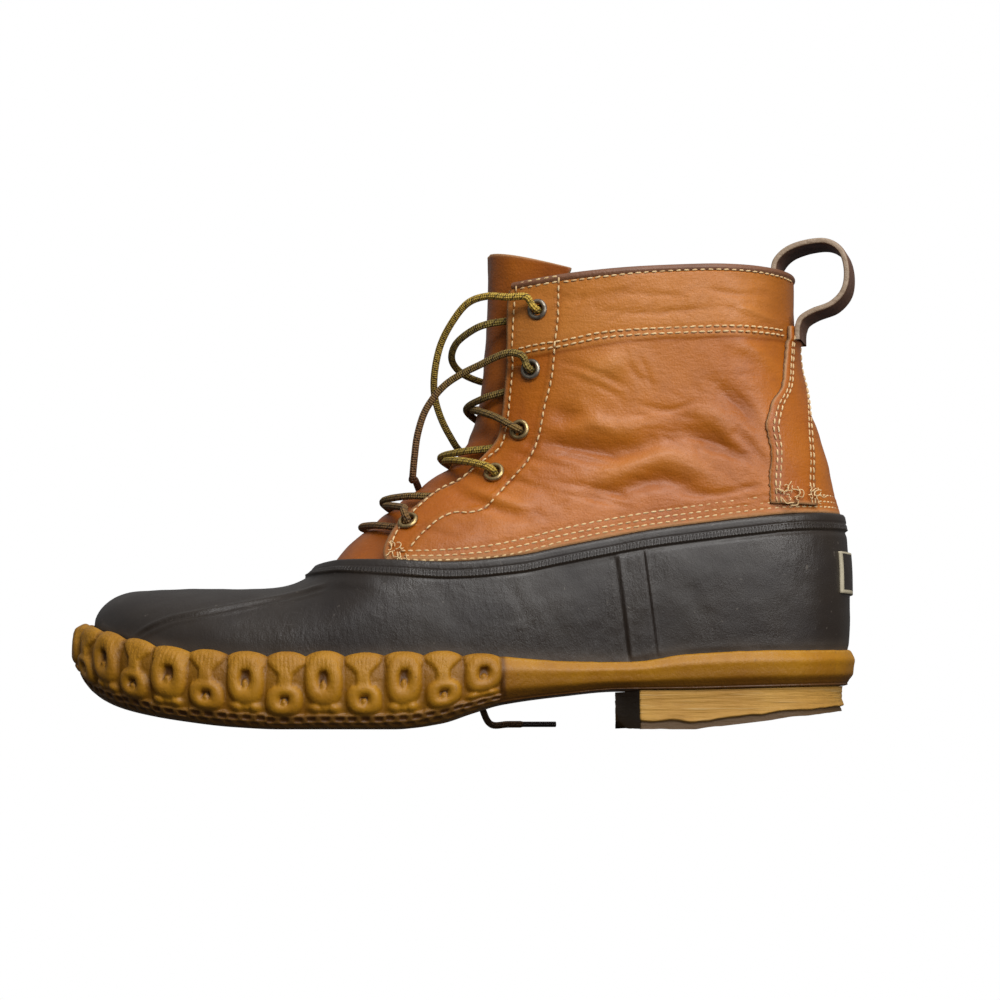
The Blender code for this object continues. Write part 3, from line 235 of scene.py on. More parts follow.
BACKSTAY = (
    # height, middle and half width of the strip round the back
    (0.485, 0.412, 0.107),
    (0.560, 0.376, 0.108),
    (0.610, 0.350, 0.112),
    (0.655, 0.328, 0.124),
    (0.700, 0.275, 0.124),
    (0.750, 0.196, 0.110),
    (0.810, 0.140, 0.107),
    (0.885, 0.110, 0.104),
)
LOOP_PATH = (
    (0.004, 0.002),
    (0.012, 0.018),
    (0.036, 0.032),
    (0.078, 0.047),
    (0.106, 0.078),
    (0.112, 0.122),
    (0.100, 0.164),
    (0.068, 0.186),
    (0.022, 0.185),
    (-0.019, 0.172),
    (-0.044, 0.148),
    (-0.050, 0.120),
)

# Creases of the leather's outer side: height (a trough below 0), width and places, in mm
CREASES = (
    (1.6, 9.0, ((206, 97), (219, 100.3), (234, 106), (247, 102), (256, 98))),
    (-1.5, 6.0, ((209, 91), (222, 94), (236, 97), (250, 92))),
    (-1.7, 7.0, ((186, 111.5), (196, 111), (208, 109), (222, 108), (236, 112))),
    (1.3, 7.0, ((196, 117), (206, 119), (218, 117), (230, 119))),
    (-1.3, 7.5, ((192, 124), (200, 121.5), (210, 122))),
    (1.4, 9.0, ((204, 134), (212, 141), (222, 145))),
    (1.0, 8.0, ((199, 127), (205, 123), (212, 120))),
    (-1.2, 7.0, ((256, 134), (266, 126), (274, 116))),
    (1.1, 7.0, ((247, 124), (256, 121), (264, 115))),
    (-1.2, 5.5, ((241, 116), (251, 114), (262, 108), (272, 104))),
    (-0.9, 4.0, ((262, 118), (272, 108), (277, 101))),
    (0.8, 6.0, ((262, 151), (272, 148), (280, 141))),
    (-0.6, 2.2, ((193.9, 144.1), (206, 140), (221.7, 133.0))),
    (-0.55, 2.0, ((196, 139), (209, 134), (219, 129))),
    (-0.6, 2.2, ((187.4, 112.1), (203.3, 108.9), (220.2, 104.8))),
    (-0.5, 1.8, ((190, 107.5), (204, 105), (217, 101.5))),
    (-0.5, 1.8, ((244.1, 113.8), (254, 112), (263.0, 108.9))),
    (-0.45, 1.7, ((247, 109.5), (257, 108), (266, 104.5))),
    (-0.55, 2.2, ((193.7, 95.9), (211.0, 93.1), (225.2, 88.2))),
    (-0.5, 2.0, ((197, 91.0), (212, 88.5), (224, 84.8))),
    (-0.25, 1.7, ((225.4, 146.2), (229, 139), (231.2, 131.8))),
    (-1.1, 3.4, ((153, 95), (157, 91.3), (163.7, 88.3), (171.6, 84.6), (182.3, 81.4))),
    (0.9, 3.2, ((158, 95.5), (165, 92.0), (173, 88.6), (183, 85.6))),
    (-0.8, 2.6, ((166, 103.5), (173, 99.5), (182, 95), (192, 92.5))),
    (-0.6, 2.2, ((176, 109), (184, 105.5), (193, 102.5))),
    (-0.5, 2.0, ((140, 79), (147, 76), (156, 74.5))),
    (0.5, 3.0, ((262, 166), (274, 163), (283, 160))),
    (-0.35, 2.4, ((182, 171), (200, 168), (220, 170), (244, 168))),
    (-0.4, 2.0, ((205, 165), (222, 162), (242, 163), (262, 165))),
    (-0.4, 1.8, ((250, 172), (264, 170), (280, 171))),
    (-0.7, 3.0, ((240, 92), (256, 91), (270, 94))),
    (-0.6, 2.4, ((226, 126), (238, 124), (249, 128))),
)

# Rows of stitches on each side, in mm
COLLAR_ROW = ((196.1, 174.7), (210.6, 176.2), (228.7, 178.0), (245.2, 179.0), (264.6, 179.6),
              (283.5, 179.2), (288.5, 179.0))
EYESTAY_TOP = (
    ((179.2, 175.6), (194.8, 177.2)),
    ((179.2, 173.4), (194.8, 175.0)),
)
CUFF_ROWS = (
    ((178.8, 149.5), (187.6, 150.8), (194.4, 151.4), (202.4, 152.8), (210.0, 154.3),
     (222.0, 155.5), (236.8, 156.3), (251.6, 157.0), (266.0, 157.6), (284.0, 157.8)),
    ((178.8, 147.4), (187.6, 148.7), (194.4, 149.3), (202.4, 150.7), (210.0, 152.2),
     (222.0, 153.4), (236.8, 154.2), (251.6, 154.9), (266.0, 155.5), (284.5, 155.7)),
)
EYESTAY_FRONT = ((178.6, 175.2), (177.6, 165.6), (176.9, 153.0), (176.4, 141.0), (175.4, 130.6),
                 (174.4, 121.1), (171.9, 111.2), (165.8, 106.1), (161.6, 102.6), (155.5, 98.0),
                 (147.5, 94.0), (140.5, 88.0), (135.0, 82.0), (131.0, 76.0), (129.2, 70.0))
EYESTAY_BACK = ((194.9, 177.0), (194.5, 160.9), (193.2, 150.1), (191.7, 136.8), (189.1, 126.5),
                (187.1, 115.9), (185.0, 109.4), (181.7, 103.7), (177.0, 98.4), (172.4, 93.1),
                (168.0, 88.0), (164.5, 85.2), (159.5, 84.0), (154.7, 84.2), (150.6, 83.0),
                (146.4, 80.4), (141.3, 75.7), (136.9, 70.3))
BOTTOM_ROWS = (
    ((132.4, 68.9), (145.4, 68.9), (156.9, 69.6), (170.0, 71.1), (184.1, 74.3), (195.1, 77.2),
     (210.9, 80.6), (230.0, 84.0), (250.3, 86.9), (277.9, 90.8), (300.0, 92.4), (306.0, 92.6)),
    ((134.0, 66.9), (150.5, 66.9), (170.0, 68.7), (184.1, 71.7), (195.1, 74.6),
     (210.9, 78.0), (230.0, 81.4), (250.3, 84.4), (277.9, 88.2), (300.0, 89.8), (306.5, 90.0)),
    ((131.4, 65.6), (145.4, 64.9), (161.4, 65.6), (172.0, 66.6), (184.1, 69.2), (195.1, 72.2),
     (210.9, 75.8), (230.0, 79.2), (250.3, 82.2), (277.9, 86.0), (300.0, 87.6), (307.0, 87.9)),
)
CUFF_LINE = ((170, 145.6), (187.6, 147.2), (202.4, 149.2), (222.0, 151.9), (251.6, 153.4),
             (284.0, 154.2), (300, 154.2))
TOE_RIDGE = ((26, 34.0), (31.4, 38.0), (38.3, 41.3), (45.2, 43.6), (54.5, 45.2), (64.3, 47.0),
             (74.0, 49.2), (89.5, 52.4), (103.0, 55.6))


def smooth(t: Array) -> Array:
    """Smooth step from 0 to 1 between t = 0 and t = 1."""
    t = np.clip(t, 0.0, 1.0)
    return t * t * (3.0 - 2.0 * t)


def mix(a: Array | float, b: Array | float, t: Array | float) -> Array | float:
    """Straight blend from a to b."""
    return a + (b - a) * t


def bell(*terms: Array) -> Array:
    """1 where every term is 0, and falling off as each grows past 1."""
    return np.exp(-sum(term**2 for term in terms))


def travel(line: Array) -> Array:
    """Distance gone at each place of a line."""
    return np.concatenate([[0.0], np.cumsum(np.linalg.norm(np.diff(line, axis=0), axis=1))])


def resample(at: Array, run: Array, line: Array) -> Array:
    """Places of a line at the given distances, where run is the distance at each place."""
    return np.stack([np.interp(at, run, column) for column in line.T], axis=-1)


def rounded(depth: Array, power: float = 2.2) -> Array:
    """1 well inside an outline and 0 on it, round like a superellipse."""
    t = np.clip(depth, 0.0, 1.0)
    return np.maximum(0.0, 1.0 - (1.0 - t) ** power) ** (1.0 / power)


def catmull(points: Sequence, steps: int) -> Array:
    """Points on a smooth curve through the given ones.

    Args:
        points: places, each a sequence of numbers.
        steps: points made for each span.

    Returns:
        An array of places, the last given one included.
    """
    p = [np.array(point, dtype=float) for point in points]
    p = [2 * p[0] - p[1]] + p + [2 * p[-1] - p[-2]]
    out = []
    for i in range(1, len(p) - 2):
        for k in range(steps):
            t = k / steps
            out.append(
                0.5
                * (
                    2 * p[i]
                    + (p[i + 1] - p[i - 1]) * t
                    + (2 * p[i - 1] - 5 * p[i] + 4 * p[i + 1] - p[i + 2]) * t * t
                    + (3 * p[i] - p[i - 1] - 3 * p[i + 1] + p[i + 2]) * t**3
                )
            )
    out.append(p[-2])
    return np.array(out)


def lattice(x: Array, y: Array, z: Array, seed: int) -> Array:
    """Smooth value noise from -1 to 1 at places given in cells.

    Args:
        x: places, in cells.
        y: places, in cells.
        z: places, in cells.
        seed: number of the pattern.

    Returns:
        The noise at each place.
    """
    cells = [np.floor(v).astype(np.int64) for v in (x, y, z)]
    parts = [smooth(v - c) for v, c in zip((x, y, z), cells)]
    total = np.zeros_like(x, dtype=float)
    for corner in range(8):
        bits = [(corner >> k) & 1 for k in range(3)]
        h = seed * 374761393
        for c, b, prime in zip(cells, bits, (668265263, 2246822519, 3266489917)):
            h = h + (c + b) * prime
        h = (h ^ (h >> 13)) * 1274126177
        value = ((h ^ (h >> 16)) & 0xFFFF) / 32767.5 - 1.0
        weight = np.ones_like(x, dtype=float)
        for part, b in zip(parts, bits):
            weight = weight * (part if b else 1.0 - part)
        total += value * weight
    return total


def cloud(points: Array, cell: float, octaves: int = 3, seed: int = 1) -> Array:
    """Layered noise from about -1 to 1 over places in metres, its largest cell in metres.

    Args:
        points: places in metres.
        cell: size of the largest cell.
        octaves: number of layers.
        seed: number of the pattern.

    Returns:
        The noise at each place.
    """
    total, size, weight = 0.0, cell, 1.0
    for k in range(octaves):
        q = points / size
        total = total + weight * lattice(q[..., 0], q[..., 1], q[..., 2], seed + k)
        size, weight = size * 0.5, weight * 0.5
    return total / (2.0 - 2.0 ** (1 - octaves))


class Curve:
    """A smooth curve through table points that never overshoots them."""

    def __init__(self, points: Iterable[Sequence[float]]) -> None:
        """Works out the slopes.

        Args:
            points: pairs of place and height, in order.
        """
        rows = np.array(list(points), dtype=float)
        self.x, self.y = rows[:, 0], rows[:, 1]
        slopes = np.diff(self.y) / np.diff(self.x)
        before, after = slopes[:-1], slopes[1:]
        same = before * after > 0
        inner = np.where(same, 2 * before * after / np.where(same, before + after, 1.0), 0.0)
        self.tangent = np.concatenate([[slopes[0]], inner, [slopes[-1]]])

    def __call__(self, at: Array) -> Array:
        """Height of the curve at the given places.

        Args:
            at: places.

        Returns:
            The curve's heights.
        """
        at = np.clip(np.asarray(at, dtype=float), self.x[0], self.x[-1])
        i = np.clip(np.searchsorted(self.x, at, side="right") - 1, 0, len(self.x) - 2)
        width = self.x[i + 1] - self.x[i]
        t = (at - self.x[i]) / width
        return (
            self.y[i] * (1 + 2 * t) * (1 - t) ** 2
            + self.y[i + 1] * t * t * (3 - 2 * t)
            + self.tangent[i] * width * t * (1 - t) ** 2
            - self.tangent[i + 1] * width * t * t * (1 - t)
        )


class Line:
    """A line in the boot's side view, to measure distances from."""

    def __init__(self, points: Sequence, smooth_steps: int = 3) -> None:
        """Draws the line smoothly through its points."""
        self.points = catmull(points, smooth_steps)[:, :2]

    def near(self, s: Array, z: Array) -> tuple[Array, Array, Array]:
        """Distance to the line, share of its length, and side (above is positive).

        Args:
            s: stations in the line's unit.
            z: heights in the line's unit.

        Returns:
            The three, each in the shape of s.
        """
        a, b = self.points[:-1], self.points[1:]
        run = b - a
        length = np.hypot(run[:, 0], run[:, 1])
        start = np.concatenate([[0.0], np.cumsum(length)[:-1]])
        flat_s, flat_z = np.ravel(s), np.ravel(z)
        best = np.full(flat_s.shape, np.inf)
        share = np.zeros_like(best)
        side = np.ones_like(best)
        for k in range(len(a)):
            dx, dz = flat_s - a[k, 0], flat_z - a[k, 1]
            t = np.clip((dx * run[k, 0] + dz * run[k, 1]) / max(length[k] ** 2, 1e-12), 0, 1)
            gap = np.hypot(dx - run[k, 0] * t, dz - run[k, 1] * t)
            closer = gap < best
            best = np.where(closer, gap, best)
            share = np.where(closer, (start[k] + t * length[k]) / length.sum(), share)
            cross = run[k, 0] * dz - run[k, 1] * dx
            side = np.where(closer, np.sign(cross), side)
        shape = np.shape(s)
        return best.reshape(shape), share.reshape(shape), side.reshape(shape)


class Last:
    """The shape that every surface of the boot follows."""

    TOE_START = 0.007
    TOE_ROUND = 0.020
    TOE_BASE = 0.041

    def __init__(self) -> None:
        """Turns the tables into curves."""
        names = ("centre", "half", "bottom", "thick", "rim", "rim_width")
        scales = (BALL_WIDTH, BALL_WIDTH, HEEL_HEIGHT, SOLE_THICKNESS, RIM_HEIGHT, RIM_WIDTH)
        self.columns = {
            name: (scale, Curve((row[0], row[k + 1]) for row in FOOT))
            for k, (name, scale) in enumerate(zip(names, scales))
        }
        self.walls = [Curve((row[0], row[k]) for row in WALL) for k in (1, 2, 3)]
        self.lip_line = Curve(LIP)
        self.collar_line = Curve(COLLAR)
        self.back_line = Curve(BACK)
        rise = COLLAR_HEIGHT - VAMP_HEIGHT
        rows = [(a * LENGTH, VAMP_HEIGHT + b * rise, c * BALL_WIDTH) for a, b, c in FRONT]
        self.front = catmull(rows, 6)
        edge = [(s * LENGTH, z * COLLAR_HEIGHT) for s, z in EYESTAY]
        edge[0] = (edge[0][0], float(self.lip(edge[0][0])))
        self.edge = catmull(edge, 8)
        steps = np.hypot(*np.diff(self.edge, axis=0).T)
        self.edge_run = np.concatenate([[0.0], np.cumsum(steps)])

    def foot(self, name: str, s: Array) -> Array:
        """A column of the foot's table at s."""
        scale, curve = self.columns[name]
        return scale * curve(np.asarray(s) / LENGTH)

    def bed(self, s: Array) -> Array:
        """Top of the sole."""
        return self.foot("bottom", s) + self.foot("thick", s)

    def lip(self, s: Array) -> Array:
        """Top of the rubber."""
        return LIP_HEIGHT * self.lip_line(np.asarray(s) / LENGTH)

    def collar(self, s: Array) -> Array:
        """Height of the collar."""
        return COLLAR_HEIGHT * self.collar_line(np.asarray(s) / LENGTH)

    def back(self, z: Array) -> Array:
        """Station of the boot's back at height z."""
        return LENGTH * self.back_line(np.asarray(z) / COLLAR_HEIGHT)

    def top(self, s: Array) -> Array:
        """Height of the vamp line, round at the toe.

        Args:
            s: stations.

        Returns:
            Heights in metres.
        """
        inner = np.clip((np.asarray(s) - self.TOE_START) / self.TOE_ROUND, 0.0, 1.0)
        toe = self.TOE_BASE + (VAMP_HEIGHT - self.TOE_BASE) * np.sqrt(1 - (1 - inner) ** 2)
        return np.where(inner >= 1.0, np.interp(s, self.front[:, 0], self.front[:, 1]), toe)

    def depth(self, s: Array, z: Array) -> tuple[Array, Array]:
        """Distance inside the front line, and the roundness there.

        Args:
            s: stations.
            z: heights.

        Returns:
            Distances in metres, and roundness.
        """
        flat_s, flat_z = np.ravel(s), np.ravel(z)
        a, b = self.front[:-1], self.front[1:]
        run = b[:, :2] - a[:, :2]
        square = np.maximum((run**2).sum(1), 1e-12)
        out, radius = np.empty_like(flat_s), np.empty_like(flat_s)
        for low in range(0, len(flat_s), 20000):
            part = slice(low, low + 20000)
            dx = flat_s[part, None] - a[None, :, 0]
            dz = flat_z[part, None] - a[None, :, 1]
            t = np.clip((dx * run[:, 0] + dz * run[:, 1]) / square, 0.0, 1.0)
            gap = np.hypot(dx - run[:, 0] * t, dz - run[:, 1] * t)
            k = gap.argmin(1)
            rows = np.arange(len(k))
            cross = run[k, 0] * dz[rows, k] - run[k, 1] * dx[rows, k]
            out[part] = np.where(cross > 0, -1.0, 1.0) * gap[rows, k]
            radius[part] = mix(a[k, 2], b[k, 2], t[rows, k])
        return out.reshape(np.shape(s)), radius.reshape(np.shape(s))

    def half(self, s: Array, z: Array) -> Array:
        """Half width of the last.

        Args:
            s: stations.
            z: heights.

        Returns:
            Half widths in metres.
        """
        s, z = np.broadcast_arrays(np.asarray(s, float), np.asarray(z, float))
        share = s / LENGTH
        rim, lip = self.foot("rim", s), self.lip(s)
        ankle = mix(VAMP_HEIGHT, COLLAR_HEIGHT, 0.47)
        widths = [self.foot("half", s)] + [BALL_WIDTH * wall(share) for wall in self.walls]
        t = (z - rim) / (lip - rim)
        low = mix(widths[0], widths[1], smooth(t))
        low = low + 0.012 * BALL_WIDTH * np.sin(math.pi * np.clip(t, 0.0, 1.0))
        middle = mix(widths[1], widths[2], smooth((z - lip) / (ankle - lip)))
        high = mix(widths[2], widths[3], smooth((z - ankle) / (COLLAR_HEIGHT - ankle)))
        width = np.where(z < lip, low, np.where(z < ankle, middle, high))
        base = rim - 0.006
        squeeze = (VAMP_HEIGHT - base) / np.maximum(0.004, self.top(s) - base)
        toe = s < self.TOE_START + self.TOE_ROUND
        toe_z = np.where(toe, base + (z - base) * np.maximum(1.0, squeeze), z)
        depth, radius = self.depth(s, toe_z)
        plan = rounded((s - self.TOE_START) / 0.062) * rounded((self.back(z) - s) / 0.040)
        return width * rounded(depth / radius) * plan

    def centre(self, s: Array, z: Array) -> Array:
        """Side shift of the curved centre line."""
        return self.foot("centre", s) * (1.0 - 0.85 * smooth((np.asarray(z) - 0.060) / 0.050))

    def point(self, s: Array, z: Array, side: Array) -> Array:
        """Places on the last; side is -1 on the outer side and 1 on the inner one.

        Args:
            s: stations.
            z: heights.
            side: -1 or 1.

        Returns:
            The places.
        """
        s, z, side = np.broadcast_arrays(
            np.asarray(s, float), np.asarray(z, float), np.asarray(side, float)
        )
        return np.stack([s, self.centre(s, z) + side * self.half(s, z), z], axis=-1)

    def normal(self, p: Array) -> Array:
        """Outward unit normals at places on the last.

        Args:
            p: places.

        Returns:
            The normals.
        """
        s, z, step = p[..., 0], p[..., 2], 0.0004
        across = p[..., 1] - self.centre(s, z)

        def slope(function: Callable[[Array, Array], Array]) -> tuple[Array, Array]:
            """How fast a function of s and z changes along each."""
            return (
                (function(s + step, z) - function(s - step, z)) / (2 * step),
                (function(s, z + step) - function(s, z - step)) / (2 * step),
            )

        square_s, square_z = slope(lambda a, b: self.half(a, b) ** 2)
        centre_s, centre_z = slope(self.centre)
        n = np.stack(
            [-square_s - 2 * across * centre_s, 2 * across, -square_z - 2 * across * centre_z],
            axis=-1,
        )
        return n / np.maximum(np.linalg.norm(n, axis=-1, keepdims=True), 1e-12)

    def off(self, s: float, z: float, side: float, out: float) -> Array:
        """One place at a distance outside the last."""
        p = self.point(s, z, side)
        return p + self.normal(p) * out

    def off_front(self, z: float, out: float) -> Array:
        """A place in front of the front line at height z.

        Args:
            z: height.
            out: distance ahead of the line.

        Returns:
            The place.
        """
        line = self.front[self.front[:, 1] > VAMP_HEIGHT + 0.002]
        s = float(np.interp(z, line[:, 1], line[:, 0]))
        ahead = float(np.interp(z + 0.002, line[:, 1], line[:, 0]))
        n = np.array([-0.002, 0.0, ahead - s])
        return np.array([s, float(self.centre(s, z)), z]) + n / np.linalg.norm(n) * out

    def edge_point(self, v: Array) -> tuple[Array, Array]:
        """Place of the quarters' front edge at a share of its length.

        Args:
            v: share of the edge's length.

        Returns:
            Stations and heights.
        """
        at = np.asarray(v) * self.edge_run[-1]
        return (
            np.interp(at, self.edge_run, self.edge[:, 0]),
            np.interp(at, self.edge_run, self.edge[:, 1]),
        )

    def edge_at(self, z: float) -> float:
        """Station of the quarters' front edge at height z."""
        high = self.edge[20:]
        return float(np.interp(z, high[:, 1], high[:, 0]))

    def back_arc(self, z: float, arcs: Array) -> tuple[Array, Array]:
        """Places and level outward directions at arc lengths round the back.

        Args:
            z: height.
            arcs: distances round the back, positive to the outer side.

        Returns:
            Places, and level directions away from the boot.
        """
        t = np.linspace(0, 1, 90) ** 2.2
        s = self.back(z) - 0.075 * t
        runs, lines = [], []
        for side in (-1, 1):
            p = self.point(s, np.full_like(s, z), side)
            runs.append(travel(p))
            lines.append(p)
        run = np.concatenate([-runs[1][::-1], runs[0][1:]])
        line = np.concatenate([lines[1][::-1], lines[0][1:]])
        place = resample(arcs, run, line)
        ahead = resample(arcs + 0.002, run, line)
        past = resample(arcs - 0.002, run, line)
        tangent = ahead - past
        out = np.stack([-tangent[:, 1], tangent[:, 0], np.zeros(len(arcs))], axis=-1)
        return place, out / np.linalg.norm(out, axis=1, keepdims=True)


class MeshKit:
    """Makes objects from grids and tubes of places measured from the toe."""

    def __init__(self, body: str) -> None:
        """Keeps the name of the body that every piece rides on."""
        self.body = body

    def object(
        self,
        name: str,
        verts: Array,
        faces: Sequence,
        materials: Sequence[bpy.types.Material],
        attributes: dict[str, Array] | None = None,
        indices: Array | None = None,
        uv: Array | None = None,
    ) -> bpy.types.Object:
        """An object from vertices and faces.

        Args:
            name: the object's name.
            verts: places, measured from the toe, in metres.
            faces: vertex numbers of each face.
            materials: its materials.
            attributes: a number for each vertex, by name.
            indices: the material of each face.
            uv: a pair for each vertex.

        Returns:
            The new object, riding on the boot.
        """
        mesh = bpy.data.meshes.new(name)
        mesh.from_pydata((np.asarray(verts) + SHIFT).tolist(), [], faces)
        for material in materials:
            mesh.materials.append(material)
        for key, values in (attributes or {}).items():
            layer = mesh.attributes.new(key, "FLOAT", "POINT")
            layer.data.foreach_set("value", np.asarray(values, dtype=np.float32).ravel())
        if uv is not None:
            loops = np.empty(len(mesh.loops), dtype=np.int32)
            mesh.loops.foreach_get("vertex_index", loops)
            layer = mesh.uv_layers.new(name="UVMap")
            layer.data.foreach_set("uv", np.asarray(uv, dtype=np.float32)[loops].ravel())
        if indices is not None:
            mesh.polygons.foreach_set("material_index", np.asarray(indices, dtype=np.int32))
        return self.place(name, mesh)

    def place(self, name: str, mesh: bpy.types.Mesh) -> bpy.types.Object:
        """Puts a finished mesh in the scene.

        Args:
            name: the object's name.
            mesh: its mesh.

        Returns:
            The new object, riding on the boot.
        """
        mesh.name = name
        mesh.shade_smooth()
        mesh.update()
        obj = bpy.data.objects.new(name, mesh)
        bpy.context.collection.objects.link(obj)
        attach(obj, self.body)
        return obj

    @staticmethod
    def quads(rows: int, cols: int, closed: bool, start: int = 0, flip: bool = False) -> Array:
        """Faces of a grid of vertices numbered row by row.

        Args:
            rows: rows of vertices.
            cols: vertices in a row.
            closed: whether a row joins its own start.
            start: number of the first vertex.
            flip: whether faces turn the other way.

        Returns:
            Four vertex numbers for each face.
        """
        last = cols if closed else cols - 1
        i, j = np.meshgrid(np.arange(rows - 1), np.arange(last), indexing="ij")
        k = (j + 1) % cols
        a, b = i * cols + j, i * cols + k
        c, d = (i + 1) * cols + k, (i + 1) * cols + j
        quad = np.stack([a, b, c, d] if not flip else [a, d, c, b], axis=-1)
        return quad.reshape(-1, 4) + start

    def sheet(
        self,
        name: str,
        outer: Array,
        inner: Array | None,
        closed: bool,
        materials: Sequence[bpy.types.Material],
        attributes: dict[str, Array] | None = None,
        uv: Array | None = None,
        keep: Array | None = None,
    ) -> bpy.types.Object:
        """A sheet between two grids; keep marks the cells of the grid that are not cut out.

        Args:
            name: the object's name.
            outer: grid of places.
            inner: grid behind it, or None for a bare surface.
            closed: whether rows join their own start.
            materials: those of the front, the back and the rim.
            attributes: a number for each place, by name.
            uv: a pair for each place.
            keep: cells of the grid that stay.

        Returns:
            The new object.
        """
        rows, cols = outer.shape[:2]
        count = rows * cols
        last = cols if closed else cols - 1
        faces = [self.quads(rows, cols, closed)]
        index = [np.zeros(len(faces[0]), int)]
        if keep is not None:
            faces[0] = faces[0][keep.ravel()]
            index[0] = index[0][keep.ravel()]
        verts = [outer.reshape(-1, 3)]
        if inner is not None:
            back = self.quads(rows, cols, closed, count, True)
            if keep is not None:
                back = back[keep.ravel()]
            faces.append(back)
            index.append(np.full(len(back), min(1, len(materials) - 1)))
            j = np.arange(last)
            k = (j + 1) % cols
            top = (rows - 1) * cols
            faces.append(np.stack([j + count, k + count, k, j], axis=-1))
            faces.append(np.stack([top + j, top + k, top + k + count, top + j + count], axis=-1))
            rim = 2 * last
            if not closed:
                i = np.arange(rows - 1) * cols
                faces.append(np.stack([i, i + cols, i + cols + count, i + count], axis=-1))
                i = i + cols - 1
                faces.append(np.stack([i + count, i + cols + count, i + cols, i], axis=-1))
                rim += 2 * (rows - 1)
            index.append(np.full(rim, min(2, len(materials) - 1)))
            verts.append(inner.reshape(-1, 3))
        doubled = 2 if inner is not None else 1
        attributes = {
            key: np.concatenate([np.ravel(value)] * doubled)
            for key, value in (attributes or {}).items()
        }
        if uv is not None:
            uv = np.concatenate([uv.reshape(-1, 2)] * doubled)
        return self.object(
            name,
            np.concatenate(verts),
            np.concatenate(faces).tolist(),
            materials,
            attributes,
            np.concatenate(index),
            uv,
        )

    @staticmethod
    def frames(line: Array, guide: Sequence[float] = (0.3, 0.2, 1.0)) -> tuple[Array, Array]:
        """Cross directions along a line, turned as little as possible.

        Args:
            line: places.
            guide: a direction to start from.

        Returns:
            Two unit directions at each place.
        """
        run = np.gradient(line, axis=0)
        run /= np.maximum(np.linalg.norm(run, axis=1, keepdims=True), 1e-12)
        first, second = [], []
        g = np.array(guide, dtype=float)
        for r in run:
            g = g - r * g.dot(r)
            g /= np.linalg.norm(g)
            first.append(g.copy())
            second.append(np.cross(r, g))
        return np.array(first), np.array(second)


@dataclass(frozen=True)
class Tone:
    """A colour as red, green and blue shares of full light."""

    red: float
    green: float
    blue: float

    @property
    def rgba(self) -> tuple[float, float, float, float]:
        """The colour with full opacity."""
        return (self.red, self.green, self.blue, 1.0)


Value = Union[float, tuple, Tone, bpy.types.NodeSocket]


